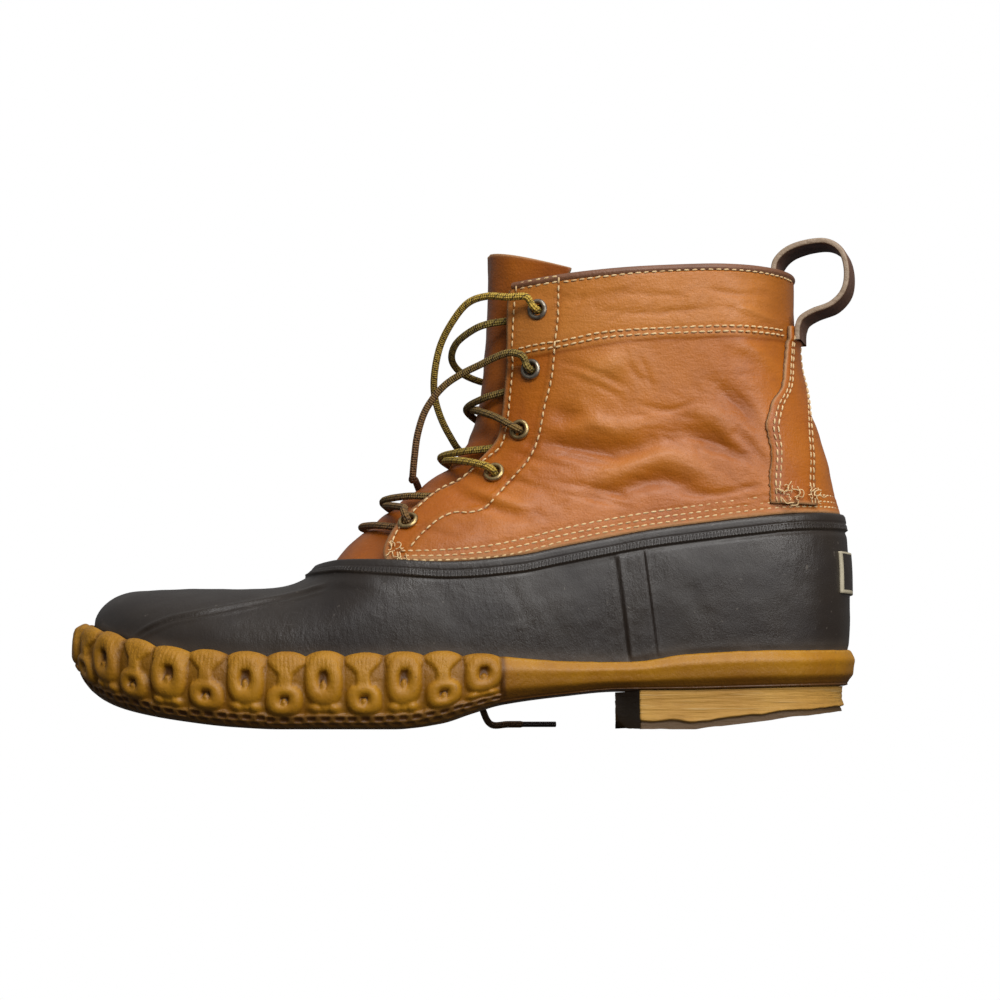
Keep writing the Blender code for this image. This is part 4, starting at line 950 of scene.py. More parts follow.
class Graph:
    """Adds nodes to a tree in few words."""

    def __init__(self, tree: bpy.types.NodeTree) -> None:
        """Keeps the tree that nodes go to."""
        self.tree = tree

    def node(self, kind: str, inputs: dict | None = None, **settings: object) -> bpy.types.Node:
        """A node with its settings and inputs; an input may be a value or a socket.

        Args:
            kind: the node's type.
            inputs: values or sockets by name or number.
            **settings: its properties.

        Returns:
            The node.
        """
        node = self.tree.nodes.new(kind)
        for key, value in settings.items():
            setattr(node, key, value)
        for key, value in (inputs or {}).items():
            self.feed(node.inputs[key], value)
        return node

    def feed(self, socket: bpy.types.NodeSocket, value: Value) -> None:
        """Links or sets an input.

        Args:
            socket: the input.
            value: what it gets.
        """
        if isinstance(value, bpy.types.NodeSocket):
            self.tree.links.new(value, socket)
        elif isinstance(value, Tone):
            socket.default_value = value.rgba
        else:
            socket.default_value = value

    def attribute(self, name: str) -> bpy.types.NodeSocket:
        """A number stored on the mesh."""
        return self.node("ShaderNodeAttribute", attribute_name=name).outputs["Fac"]

    def place(self, scale: Sequence[float] = (1, 1, 1)) -> bpy.types.NodeSocket:
        """Object coordinates, stretched.

        Args:
            scale: stretch along each axis.

        Returns:
            The coordinates.
        """
        coords = self.node("ShaderNodeTexCoord").outputs["Object"]
        mapping = self.node("ShaderNodeMapping", {"Vector": coords, "Scale": tuple(scale)})
        return mapping.outputs["Vector"]

    def noise(
        self,
        scale: float,
        detail: float = 3.0,
        rough: float = 0.5,
        at: bpy.types.NodeSocket | None = None,
    ) -> bpy.types.NodeSocket:
        """Noise from 0 to 1.

        Args:
            scale: its scale.
            detail: its layers.
            rough: its roughness.
            at: where it is sampled.

        Returns:
            The noise.
        """
        inputs = {"Scale": scale, "Detail": detail, "Roughness": rough}
        inputs["Vector"] = self.place() if at is None else at
        return self.node("ShaderNodeTexNoise", inputs).outputs["Fac"]

    def span(
        self, value: Value, low: float, high: float, to_low: float = 0.0, to_high: float = 1.0
    ) -> bpy.types.NodeSocket:
        """A value's range carried over to another, with its ends held.

        Args:
            value: the number.
            low: start of its range.
            high: end of its range.
            to_low: start of the new range.
            to_high: end of the new range.

        Returns:
            The new number.
        """
        inputs = {
            "Value": value,
            "From Min": low,
            "From Max": high,
            "To Min": to_low,
            "To Max": to_high,
        }
        return self.node("ShaderNodeMapRange", inputs, clamp=True).outputs["Result"]

    def math(self, kind: str, a: Value, b: Value = 0.0) -> bpy.types.NodeSocket:
        """An arithmetic node."""
        return self.node("ShaderNodeMath", {0: a, 1: b}, operation=kind).outputs["Value"]

    def mul(self, a: Value, b: Value) -> bpy.types.NodeSocket:
        """The product of a and b."""
        return self.math("MULTIPLY", a, b)

    def add(self, a: Value, b: Value) -> bpy.types.NodeSocket:
        """The sum of a and b."""
        return self.math("ADD", a, b)

    def group(self, tree: bpy.types.NodeTree, **inputs: Value) -> bpy.types.NodeSocket:
        """The first output of a shared node group.

        Args:
            tree: the group.
            **inputs: its inputs by name.

        Returns:
            The output socket.
        """
        node = self.node("ShaderNodeGroup")
        node.node_tree = tree
        for key, value in inputs.items():
            self.feed(node.inputs[key], value)
        return node.outputs[0]

    def blend(self, factor: Value, a: Value, b: Value) -> bpy.types.NodeSocket:
        """A colour between a and b.

        Args:
            factor: 0 for a and 1 for b.
            a: a colour.
            b: a colour.

        Returns:
            The colour.
        """
        node = self.node("ShaderNodeMix", data_type="RGBA")
        self.feed(node.inputs[0], factor)
        self.feed(node.inputs[6], a)
        self.feed(node.inputs[7], b)
        return node.outputs[2]

    def bump(
        self,
        height: bpy.types.NodeSocket,
        distance: float,
        strength: float = 1.0,
        normal: bpy.types.NodeSocket | None = None,
    ) -> bpy.types.NodeSocket:
        """A bumped normal.

        Args:
            height: the height.
            distance: its scale in metres.
            strength: share of its effect.
            normal: the normal it starts from.

        Returns:
            The normal.
        """
        inputs = {"Height": height, "Distance": distance, "Strength": strength}
        if normal is not None:
            inputs["Normal"] = normal
        return self.node("ShaderNodeBump", inputs).outputs["Normal"]


class Groups:
    """Shader node groups that several finishes share."""

    def __init__(self) -> None:
        """Builds the groups."""
        self.grain, self.scuffs, self.speckle = self._grain(), self._scuffs(), self._speckle()

    @staticmethod
    def _new(name: str, inputs: dict[str, float], output: str) -> tuple:
        """A new group with number inputs and one output.

        Args:
            name: the group's name.
            inputs: the inputs' default values by name.
            output: the output's name.

        Returns:
            The tree, its graph, and its input and output nodes.
        """
        tree = bpy.data.node_groups.new(name, "ShaderNodeTree")
        for key, value in inputs.items():
            socket = tree.interface.new_socket(key, in_out="INPUT", socket_type="NodeSocketFloat")
            socket.default_value = value
        kind = "NodeSocketVector" if output == "Normal" else "NodeSocketFloat"
        tree.interface.new_socket(output, in_out="OUTPUT", socket_type=kind)
        graph = Graph(tree)
        start = graph.node("NodeGroupInput")
        end = graph.node("NodeGroupOutput")
        return tree, graph, start, end

    @classmethod
    def _grain(cls) -> bpy.types.NodeTree:
        """Fine pebbled grain with pores, as a height."""
        tree, g, start, end = cls._new("leather_grain", {"Cell": 1400.0}, "Height")
        warp = g.place((1.0, 1.0, 0.8))
        cells = g.node(
            "ShaderNodeTexVoronoi",
            {"Vector": warp, "Scale": start.outputs["Cell"], "Randomness": 1.0},
            feature="SMOOTH_F1",
        )
        fine = g.noise(2600.0, 4.0, 0.6, warp)
        folds = g.noise(240.0, 5.0, 0.62, g.place((1.0, 1.0, 2.6)))
        height = g.add(g.mul(cells.outputs["Distance"], 0.5),
                        g.mul(fine, 0.35))
        height = g.add(height, g.mul(folds, 1.4))
        g.feed(end.inputs["Height"], height)
        return tree

    @classmethod
    def _scuffs(cls) -> bpy.types.NodeTree:
        """Thin scratches in two directions, as a mask."""
        tree, g, start, end = cls._new("scuffs", {"Amount": 0.5}, "Mask")
        one = g.noise(70.0, 2.0, 0.6, g.place((1.0, 1.0, 14.0)))
        two = g.noise(60.0, 3.0, 0.6, g.place((12.0, 4.0, 2.0)))
        patch = g.noise(24.0, 3.0, 0.6)
        line = g.math("MAXIMUM", g.span(one, 0.68, 0.76), g.span(two, 0.70, 0.78))
        mask = g.mul(line, g.span(patch, 0.45, 0.65))
        g.feed(end.inputs["Mask"], g.mul(mask, start.outputs["Amount"]))
        return tree

    @classmethod
    def _speckle(cls) -> bpy.types.NodeTree:
        """Small spots, as a mask."""
        tree, g, start, end = cls._new("speckle", {"Scale": 900.0, "Cover": 0.3}, "Mask")
        dots = g.node(
            "ShaderNodeTexNoise",
            {"Vector": g.place(), "Scale": start.outputs["Scale"], "Detail": 2.0},
        )
        edge = g.math("SUBTRACT", 0.72, g.mul(start.outputs["Cover"], 0.3))
        mask = g.mul(g.math("SUBTRACT", dots.outputs["Fac"], edge), 14.0)
        g.feed(end.inputs["Mask"], g.math("MINIMUM", g.math("MAXIMUM", mask, 0.0), 1.0))
        return tree


@dataclass(frozen=True)
class Finish:
    """A named finish; each kind below makes its own shader."""

    name: str

    def start(self) -> tuple[bpy.types.Material, Graph, bpy.types.Node]:
        """A new material with its graph and its shader node."""
        material = bpy.data.materials.new(self.name)
        material.use_nodes = True
        return material, Graph(material.node_tree), material.node_tree.nodes["Principled BSDF"]


@dataclass(frozen=True)
class Plain(Finish):
    """One tone with a darker mottle and a fine bump."""

    tone: Tone
    rough: float
    scale: float
    depth: float

    def make(self, groups: Groups) -> bpy.types.Material:
        """Builds the shader.

        Args:
            groups: the shared node groups.

        Returns:
            The material.
        """
        material, g, shader = self.start()
        noise = g.noise(self.scale, 4.0, 0.6)
        broad = g.noise(60.0, 4.0, 0.6)
        dark = Tone(self.tone.red * 0.62, self.tone.green * 0.60, self.tone.blue * 0.58)
        g.feed(shader.inputs["Base Color"], g.blend(g.span(broad, 0.35, 0.7), self.tone, dark))
        g.feed(shader.inputs["Normal"], g.bump(noise, self.depth))
        shader.inputs["Roughness"].default_value = self.rough
        return material


@dataclass(frozen=True)
class Leather(Finish):
    """Waxed tan leather: dark, pale and edge are stored on the mesh; dark holds painted shade as
    well as darker tone, and pale holds lighter panels and tone as well as painted highlight.
    """

    def make(self, groups: Groups) -> bpy.types.Material:
        """Builds the shader.

        Args:
            groups: the shared node groups.

        Returns:
            The material.
        """
        material, g, shader = self.start()
        broad = g.noise(22.0, 5.0, 0.58)
        mottled = g.noise(120.0, 6.0, 0.62)
        warm = Tone(0.43, 0.118, 0.003)
        deep = Tone(0.20, 0.042, 0.003)
        light = Tone(0.52, 0.195, 0.034)
        base = g.blend(g.span(broad, 0.36, 0.66), warm, Tone(0.34, 0.080, 0.002))
        base = g.blend(g.mul(g.span(mottled, 0.5, 0.75), 0.35), base, deep)
        # pale: lighter panels and tone plus painted highlight on fold ridges; dark: painted shade
        # in creases, seams and under edges plus darker tone
        base = g.blend(g.mul(g.attribute("pale"), 0.75), base, light)
        base = g.blend(g.mul(g.attribute("dark"), 0.85), base, deep)
        spots = g.group(groups.speckle, Scale=1500.0, Cover=0.25)
        base = g.blend(g.mul(spots, 0.35), base, Tone(0.22, 0.07, 0.015))
        scuff = g.group(groups.scuffs, Amount=0.35)
        base = g.blend(scuff, base, Tone(0.62, 0.34, 0.16))
        base = g.blend(g.attribute("edge"), base, Tone(0.40, 0.22, 0.10))
        g.feed(shader.inputs["Base Color"], base)
        rough = g.add(g.span(mottled, 0.3, 0.7, 0.36, 0.50),
                       g.mul(g.attribute("edge"), 0.4))
        g.feed(shader.inputs["Roughness"], rough)
        grain = g.group(groups.grain, Cell=1300.0)
        g.feed(shader.inputs["Normal"], g.bump(grain, 0.00022, 0.85))
        shader.inputs["Coat Weight"].default_value = 0.10
        shader.inputs["Coat Roughness"].default_value = 0.28
        shader.inputs["Specular IOR Level"].default_value = 0.32
        return material


@dataclass(frozen=True)
class BrownLeather(Finish):
    """Brown leather: pale and edge are stored on the mesh."""

    def make(self, groups: Groups) -> bpy.types.Material:
        """Builds the shader.

        Args:
            groups: the shared node groups.

        Returns:
            The material.
        """
        material, g, shader = self.start()
        broad = g.noise(90.0, 5.0, 0.6)
        broad_share = g.span(broad, 0.35, 0.7)
        base = g.blend(broad_share, Tone(0.105, 0.048, 0.027), Tone(0.05, 0.024, 0.015))
        base = g.blend(g.attribute("pale"), base, Tone(0.20, 0.080, 0.034))
        base = g.blend(g.attribute("edge"), base, Tone(0.33, 0.24, 0.16))
        g.feed(shader.inputs["Base Color"], base)
        grain = g.group(groups.grain, Cell=1100.0)
        g.feed(shader.inputs["Normal"], g.bump(grain, 0.00025, 0.9))
        g.feed(shader.inputs["Roughness"], g.span(broad, 0.3, 0.7, 0.45, 0.62))
        return material


@dataclass(frozen=True)
class Rubber(Finish):
    """Dull brown rubber: hatch, dust and along are stored on the mesh."""

    def make(self, groups: Groups) -> bpy.types.Material:
        """Builds the shader.

        Args:
            groups: the shared node groups.

        Returns:
            The material.
        """
        material, g, shader = self.start()
        broad = g.noise(35.0, 5.0, 0.6)
        fine = g.noise(1600.0, 3.0, 0.6)
        broad_share = g.span(broad, 0.35, 0.7)
        base = g.blend(broad_share, Tone(0.022, 0.015, 0.010), Tone(0.015, 0.010, 0.008))
        scuff = g.group(groups.scuffs, Amount=0.5)
        base = g.blend(g.mul(scuff, 0.55), base, Tone(0.16, 0.14, 0.13))
        spots = g.group(groups.speckle, Scale=420.0, Cover=0.05)
        base = g.blend(g.mul(spots, 0.3), base, Tone(0.20, 0.17, 0.14))
        base = g.blend(g.mul(g.attribute("dust"), 0.55), base, Tone(0.15, 0.115, 0.085))
        g.feed(shader.inputs["Base Color"], base)
        ticks = g.math("SINE", g.mul(g.attribute("along"), 2 * math.pi / 1.35))
        ticks = g.mul(g.span(ticks, -0.2, 0.6), g.attribute("hatch"))
        normal = g.bump(ticks, 0.00035, 1.0)
        wrinkles = g.noise(170.0, 6.0, 0.70, g.place((1.6, 1.0, 0.8)))
        patch = g.span(g.noise(26.0, 2.0, 0.5), 0.42, 0.62, 0.35, 1.3)
        height = g.add(g.mul(fine, 0.22), g.mul(wrinkles, patch))
        normal = g.bump(height, 0.00045, 0.8, normal)
        g.feed(shader.inputs["Normal"], normal)
        rough = g.span(broad, 0.3, 0.7, 0.34, 0.50)
        g.feed(shader.inputs["Roughness"], g.add(rough, g.mul(g.attribute("dust"), 0.3)))
        shader.inputs["Specular IOR Level"].default_value = 0.5
        return material


@dataclass(frozen=True)
class Gum(Finish):
    """Mustard rubber: groove, under, crest and speck are stored on the mesh; under and groove carry
    painted shade, with a dark line where the chain ends, and crest carries painted highlight.
    """

    def make(self, groups: Groups) -> bpy.types.Material:
        """Builds the shader.

        Args:
            groups: the shared node groups.

        Returns:
            The material.
        """
        material, g, shader = self.start()
        broad = g.noise(45.0, 5.0, 0.6)
        fine = g.noise(700.0, 4.0, 0.6)
        base = g.blend(g.span(broad, 0.35, 0.7), Tone(0.40, 0.175, 0.004), Tone(0.29, 0.112, 0.002))
        # crest: painted highlight on the chain's crests and the rim's top edge; under and groove:
        # painted shade underneath, in hollows and toward the bottom
        base = g.blend(g.mul(g.attribute("crest"), 0.40), base, Tone(0.52, 0.28, 0.035))
        base = g.blend(g.attribute("under"), base, Tone(0.115, 0.050, 0.010))
        base = g.blend(g.mul(g.attribute("groove"), 0.94), base, Tone(0.075, 0.026, 0.003))
        spots = g.group(groups.speckle, Scale=650.0, Cover=0.2)
        base = g.blend(g.mul(spots, 0.35), base, Tone(0.13, 0.06, 0.015))
        g.feed(shader.inputs["Base Color"], base)
        rope = g.noise(420.0, 5.0, 0.7, g.place((1.0, 1.0, 0.55)))
        height = g.add(g.mul(fine, 0.5),
                        g.mul(rope, g.add(0.5, g.attribute("speck"))))
        g.feed(shader.inputs["Normal"], g.bump(height, 0.0005, 0.8))
        g.feed(shader.inputs["Roughness"], g.span(fine, 0.3, 0.7, 0.36, 0.52))
        shader.inputs["Specular IOR Level"].default_value = 0.34
        return material


@dataclass(frozen=True)
class HeelRubber(Finish):
    """Paler rubber with level scratches: under, stored on the mesh, is painted shade."""

    def make(self, groups: Groups) -> bpy.types.Material:
        """Builds the shader.

        Args:
            groups: the shared node groups.

        Returns:
            The material.
        """
        material, g, shader = self.start()
        broad = g.noise(60.0, 5.0, 0.6)
        lines = g.noise(90.0, 5.0, 0.7, g.place((0.35, 0.35, 11.0)))
        base = g.blend(g.span(broad, 0.35, 0.7), Tone(0.50, 0.265, 0.045), Tone(0.42, 0.205, 0.030))
        base = g.blend(g.mul(g.span(lines, 0.55, 0.72), 0.6), base, Tone(0.58, 0.42, 0.19))
        base = g.blend(g.mul(g.span(lines, 0.42, 0.30), 0.5), base, Tone(0.25, 0.13, 0.03))
        # painted shade where under is set
        base = g.blend(g.mul(g.attribute("under"), 0.95), base, Tone(0.070, 0.036, 0.012))
        g.feed(shader.inputs["Base Color"], base)
        g.feed(shader.inputs["Normal"], g.bump(lines, 0.0007, 0.8))
        shader.inputs["Roughness"].default_value = 0.62
        return material


@dataclass(frozen=True)
class Thread(Finish):
    """Waxed sewing thread."""

    def make(self, groups: Groups) -> bpy.types.Material:
        """Builds the shader.

        Args:
            groups: the shared node groups.

        Returns:
            The material.
        """
        material, g, shader = self.start()
        noise = g.noise(300.0, 3.0, 0.6)
        base = g.blend(g.span(noise, 0.4, 0.7), Tone(0.72, 0.52, 0.27), Tone(0.50, 0.30, 0.13))
        g.feed(shader.inputs["Base Color"], base)
        shader.inputs["Roughness"].default_value = 0.85
        return material


@dataclass(frozen=True)
class Braid(Finish):
    """Braided lace: the pattern follows the UV, and tint and tip are on the mesh."""

    def make(self, groups: Groups) -> bpy.types.Material:
        """Builds the shader.

        Args:
            groups: the shared node groups.

        Returns:
            The material.
        """
        material, g, shader = self.start()
        uv = g.node("ShaderNodeUVMap").outputs["UV"]
        split = g.node("ShaderNodeSeparateXYZ", {"Vector": uv})
        along = g.mul(split.outputs["X"], 2 * math.pi / 1.9)
        around = g.mul(split.outputs["Y"], 2 * math.pi * 4)
        first = g.math("SINE", g.add(along, around))
        second = g.math("SINE", g.math("SUBTRACT", along, around))
        weave = g.mul(first, second)
        fleck = g.math("SINE", g.add(g.mul(along, 0.5), g.mul(around, 0.5)))
        gold, olive = Tone(0.66, 0.43, 0.055), Tone(0.30, 0.21, 0.035)
        brown, dark = Tone(0.20, 0.085, 0.030), Tone(0.040, 0.020, 0.010)
        tint = g.attribute("tint")
        yarn = g.blend(g.span(tint, 0.0, 0.5), gold, olive)
        yarn = g.blend(g.span(tint, 0.5, 1.0), yarn, brown)
        flecked = g.mul(g.span(fleck, 0.55, 0.75), g.span(first, -0.3, 0.3))
        base = g.blend(g.mul(flecked, 0.9), yarn, dark)
        # painted shade in the low places of the weave
        base = g.blend(g.mul(g.span(weave, 0.35, -0.1), 0.35), base, dark)
        base = g.blend(g.attribute("tip"), base, Tone(0.035, 0.012, 0.008))
        g.feed(shader.inputs["Base Color"], base)
        fuzz = g.noise(2500.0, 3.0, 0.6)
        g.feed(shader.inputs["Normal"], g.bump(g.add(weave, g.mul(fuzz, 0.6)), 0.0004, 0.9))
        g.feed(shader.inputs["Roughness"], g.span(g.attribute("tip"), 0.0, 1.0, 0.75, 0.35))
        return material


@dataclass(frozen=True)
class Metal(Finish):
    """Worn plated metal."""

    tone: Tone
    dull: Tone

    def make(self, groups: Groups) -> bpy.types.Material:
        """Builds the shader.

        Args:
            groups: the shared node groups.

        Returns:
            The material.
        """
        material, g, shader = self.start()
        noise = g.noise(350.0, 5.0, 0.65)
        mask = g.span(noise, 0.42, 0.68)
        g.feed(shader.inputs["Base Color"], g.blend(mask, self.tone, self.dull))
        g.feed(shader.inputs["Roughness"], g.span(noise, 0.3, 0.7, 0.30, 0.62))
        g.feed(shader.inputs["Normal"], g.bump(noise, 0.0001, 0.5))
        shader.inputs["Metallic"].default_value = 0.9
        return material


class Finishes:
    """The boot's materials."""

    def __init__(self) -> None:
        """Makes every material once."""
        groups = Groups()
        self.leather = Leather("tan_leather").make(groups)
        self.suede = Plain("suede", Tone(0.28, 0.13, 0.055), 0.95, 900.0, 0.0002).make(groups)
        self.raw_edge = Plain(
            "raw_edge", Tone(0.34, 0.19, 0.085), 0.95, 1500.0, 0.0003
        ).make(groups)
        self.brown = BrownLeather("brown_leather").make(groups)
        self.rubber = Rubber("brown_rubber").make(groups)
        self.gum = Gum("gum_rubber").make(groups)
        self.heel = HeelRubber("heel_rubber").make(groups)
        self.tread = Plain(
            "tread_rubber", Tone(0.075, 0.042, 0.016), 0.7, 500.0, 0.0004
        ).make(groups)
        self.footbed = Plain("footbed", Tone(0.22, 0.17, 0.12), 0.95, 700.0, 0.0003).make(groups)
        self.thread = Thread("thread").make(groups)
        self.cord = Braid("lace_cord").make(groups)
        self.nickel = Metal(
            "eyelet_nickel", Tone(0.34, 0.30, 0.24), Tone(0.10, 0.08, 0.06)
        ).make(groups)
        self.brass = Metal(
            "eyelet_brass", Tone(0.46, 0.33, 0.15), Tone(0.12, 0.08, 0.04)
        ).make(groups)
        self.lining = Plain(
            "rubber_lining", Tone(0.16, 0.13, 0.10), 0.95, 800.0, 0.0002
        ).make(groups)
        self.label = Plain("label_rubber", Tone(0.50, 0.44, 0.31), 0.6, 300.0, 0.0001).make(groups)


@dataclass
class Builder:
    """What every part of the boot needs to build itself."""

    last: Last
    kit: MeshKit
    finish: Finishes


class Side(Enum):
    """The two sides of the boot."""

    OUTER = -1
    INNER = 1


@dataclass
class RubberBottom:
    """The rubber bottom with toe ridges, counter seams and the lip band."""

    tools: Builder
    fore_columns: int = 120
    side_columns: int = 150
    fore_end: float = 0.130
    fall: float = 0.022

    def level_height(self, level: Array, s: Array) -> Array:
        """Height on the side: 0 to 1 climbs the wall, 1 to 2 the lip band.

        Args:
            level: place on the side.
            s: stations.

        Returns:
            Heights in metres.
        """
        last = self.tools.last
        band, rim = last.lip(s) - BAND_HEIGHT, last.foot("rim", s)
        return np.where(level <= 1.0, mix(rim, band, level), mix(band, last.lip(s), level - 1.0))

    def ring(self, level: float, rise: float = 0.0) -> tuple[Array, Array]:
        """Stations and heights of one side of a ring, from its front to the back.

        Args:
            level: place on the side.
            rise: metres above it.

        Returns:
            Stations and heights.
        """
        last = self.tools.last
        front = float(Curve(RUBBER_FRONTS)(level)) * LENGTH + 0.2 * rise
        ahead = np.linspace(0, 1, self.fore_columns, endpoint=False) ** 1.7
        fore = mix(front, self.fore_end, ahead)
        z_back = float(self.level_height(np.array(level), np.array(LENGTH))) + rise
        tail = float(last.back(z_back))
        share = np.linspace(0, 1, 600)
        place = mix(self.fore_end, tail, share)
        dense = 1.0 + 4.0 * bell((place - 0.2265) / 0.009) + 4.0 * share**8
        run = np.concatenate([[0.0], np.cumsum(dense[1:] + dense[:-1])])
        turn = np.interp(np.linspace(0, run[-1], self.side_columns), run, place)
        s = np.concatenate([fore, turn])
        start = float(self.level_height(np.array(level), np.array(front)))
        z_front = start if level == 0.0 else float(last.top(front))
        flange = smooth((s - 0.136) / 0.016)
        z = self.level_height(np.full_like(s, level), s) + rise * flange
        z = z + (z_front - start) * np.exp(-(s - front) / self.fall)
        return s, z

    def build(self) -> bpy.types.Object:
        """Builds the rubber with its inner side."""
        last = self.tools.last
        levels = np.concatenate([
            np.linspace(0, 1, 70),
            [1.04, 1.08, 1.12, 1.2, 1.3, 1.36, 1.42, 1.5, 1.6, 1.72, 1.86, 1.96, 2.0],
        ])
        s_rows, z_rows = zip(*(self.ring(float(level)) for level in levels))
        s, z = np.array(s_rows), np.array(z_rows)
        side = np.where(np.arange(2 * s.shape[1] - 2) < s.shape[1], -1.0, 1.0)
        s = np.concatenate([s, s[:, -2:0:-1]], axis=1)
        z = np.concatenate([z, z[:, -2:0:-1]], axis=1)
        base = last.point(s, z, side[None, :])
        normal = last.normal(base)
        level = levels[:, None] * np.ones_like(s)
        out = self.relief(s, z, level, base)
        outer = base + normal * out[..., None]
        flat = normal[0] * np.array([1.0, 1.0, 0.0])
        flat /= np.linalg.norm(flat, axis=1, keepdims=True)
        foot = base[0] - flat * 0.0015
        foot[:, 2] = last.bed(foot[:, 0]) + 0.0005
        deep = LEATHER_INSET + LEATHER_WALL + GAP
        tuck = base[-1] - normal[-1] * deep
        outer = np.concatenate([foot[None], outer, tuck[None]])
        wall = mix(RUBBER_WALL, deep + 0.0017, smooth(level - 1.0))
        inner = base - normal * wall[..., None]
        low = base[0] - flat * (0.0015 + RUBBER_WALL)
        low[:, 2] = foot[:, 2]
        inner = np.concatenate([low[None], inner, inner[-1:] - [0.0, 0.0, 0.0001]])
        run = travel(base[-1])

        def pad(rows: Array) -> Array:
            """Repeats the first and last rows, for the foot and the tuck."""
            return np.concatenate([rows[:1], rows, rows[-1:]])

        hatch = np.where((level > 1.10) & (level < 1.38), 1.0, 0.0)
        crack = bell((z - last.foot("rim", s)) / 0.0035)
        dust = np.clip(crack * (0.5 + 0.6 * cloud(base, 0.012, 3, 5)), 0, 1)
        line = bell((level - 1.05) / 0.05) * 0.7
        attributes = {
            "along": pad(np.repeat(run[None] * 1000, len(levels), 0)),
            "hatch": pad(hatch),
            "dust": pad(np.clip(dust + line * 0.5, 0, 1)),
        }
        finish = self.tools.finish
        obj = self.tools.kit.sheet(
            "rubber_skin", outer, inner, True,
            [finish.rubber, finish.lining, finish.rubber], attributes,
        )
        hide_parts("rubber_bottom")
        return obj

    def relief(self, s: Array, z: Array, level: Array, base: Array) -> Array:
        """How far the rubber's outside stands off the last.

        Args:
            s: stations.
            z: heights.
            level: place on the side.
            base: places on the last.

        Returns:
            Rise in metres.
        """
        out = np.zeros_like(s)
        mm_s, mm_z = s * 1000, z * 1000
        fade = smooth((s - 0.024) / 0.012) * smooth((0.108 - s) / 0.010)
        gap, _, above = Line(TOE_RIDGE).near(mm_s, mm_z)
        signed = gap * above
        out += 0.00060 * bell(signed / 0.75) * fade
        out -= 0.00030 * bell((signed + 1.3) / 0.6) * fade
        out += 0.00040 * bell((signed + 2.5) / 0.65) * fade
        out += 0.00045 * smooth((signed + 3.0) / 3.0) * fade
        wall = smooth(level / 0.06) * smooth((1.0 - level) / 0.05)
        slope = (mm_z - 28.0) / 36.0
        for station, lean, rise, width in (
            (222.4, -4.6, 0.0006, 0.9),
            (221.0, -4.6, -0.0006, 0.5),
            (233.2, -4.6, 0.00045, 0.6),
            (232.2, -4.6, -0.0004, 0.4),
        ):
            out += rise * bell((mm_s - station - lean * slope) / width) * wall
        out += 0.0005 * smooth((mm_s - 221.5 + 4.6 * slope) / 2.0) * wall
        band = smooth((level - 1.0) / 0.10) * smooth((2.0 - level) / 0.06)
        out += 0.0012 * band + 0.0003 * smooth(level - 1.0)
        out -= 0.00045 * bell((level - 1.44) / 0.04)
        out += 0.00025 * bell((level - 1.07) / 0.04)
        throat = np.clip(1.0 - np.abs(s - 0.112) / 0.016, 0, 1)
        out += 0.0006 * throat * smooth((level - 0.8) / 0.1) * smooth((1.6 - level) / 0.3)
        out += 0.00035 * cloud(base, 0.030, 3, 11) * wall
        out += 0.00012 * cloud(base, 0.006, 2, 12) * wall
        for station, height, size in ((152, 47, 5), (178, 50, 5), (190, 46, 4), (248, 48, 6)):
            bend = (mm_s - station) * 0.9 + (mm_z - height) * 0.5
            reach = bell((mm_z - height) / 11.0, (mm_s - station) / 16.0)
            out -= 0.00022 * reach * bell(bend / size * 2.0)
        return out


@dataclass
class Outline:
    """One side of the sole's plan: places on the rim with level outward directions."""

    places: Array
    outward: Array
    arc: Array

    @classmethod
    def trace(cls, last: Last, side: int, step: float) -> "Outline":
        """Follows the rubber's foot at even steps from the toe to the back.

        Args:
            last: the boot's last.
            side: -1 or 1.
            step: distance between places.

        Returns:
            The outline.
        """
        front, tail = RUBBER_FRONTS[0][1] * LENGTH, float(last.back(last.foot("rim", LENGTH)))
        s = front + (tail - front) * 0.5 * (1 - np.cos(math.pi * np.linspace(0, 1, 700)))
        z = last.foot("rim", s)
        half = last.half(s, z)
        half[0] = half[-1] = 0.0
        p = np.stack([s, last.centre(s, z) + side * half, z], axis=-1)
        arc = travel(p[:, :2])
        at = np.linspace(0, arc[-1], int(arc[-1] / step))
        mirror = p.copy()
        mirror[:, 1] = 2 * last.centre(s, z) - mirror[:, 1]
        run = np.concatenate([-arc[::-1], arc[1:], arc[-1] + arc[1:]])
        whole = np.concatenate([mirror[::-1], p[1:], mirror[-2::-1]])
        places = resample(at, run, whole)
        ahead = resample(at + 0.0025, run, whole[:, :2])
        past = resample(at - 0.0025, run, whole[:, :2])
        tangent = ahead - past
        out = np.stack([tangent[:, 1], -tangent[:, 0], np.zeros(len(at))], axis=-1) * -side
        return cls(places, out / np.linalg.norm(out, axis=1, keepdims=True), at)


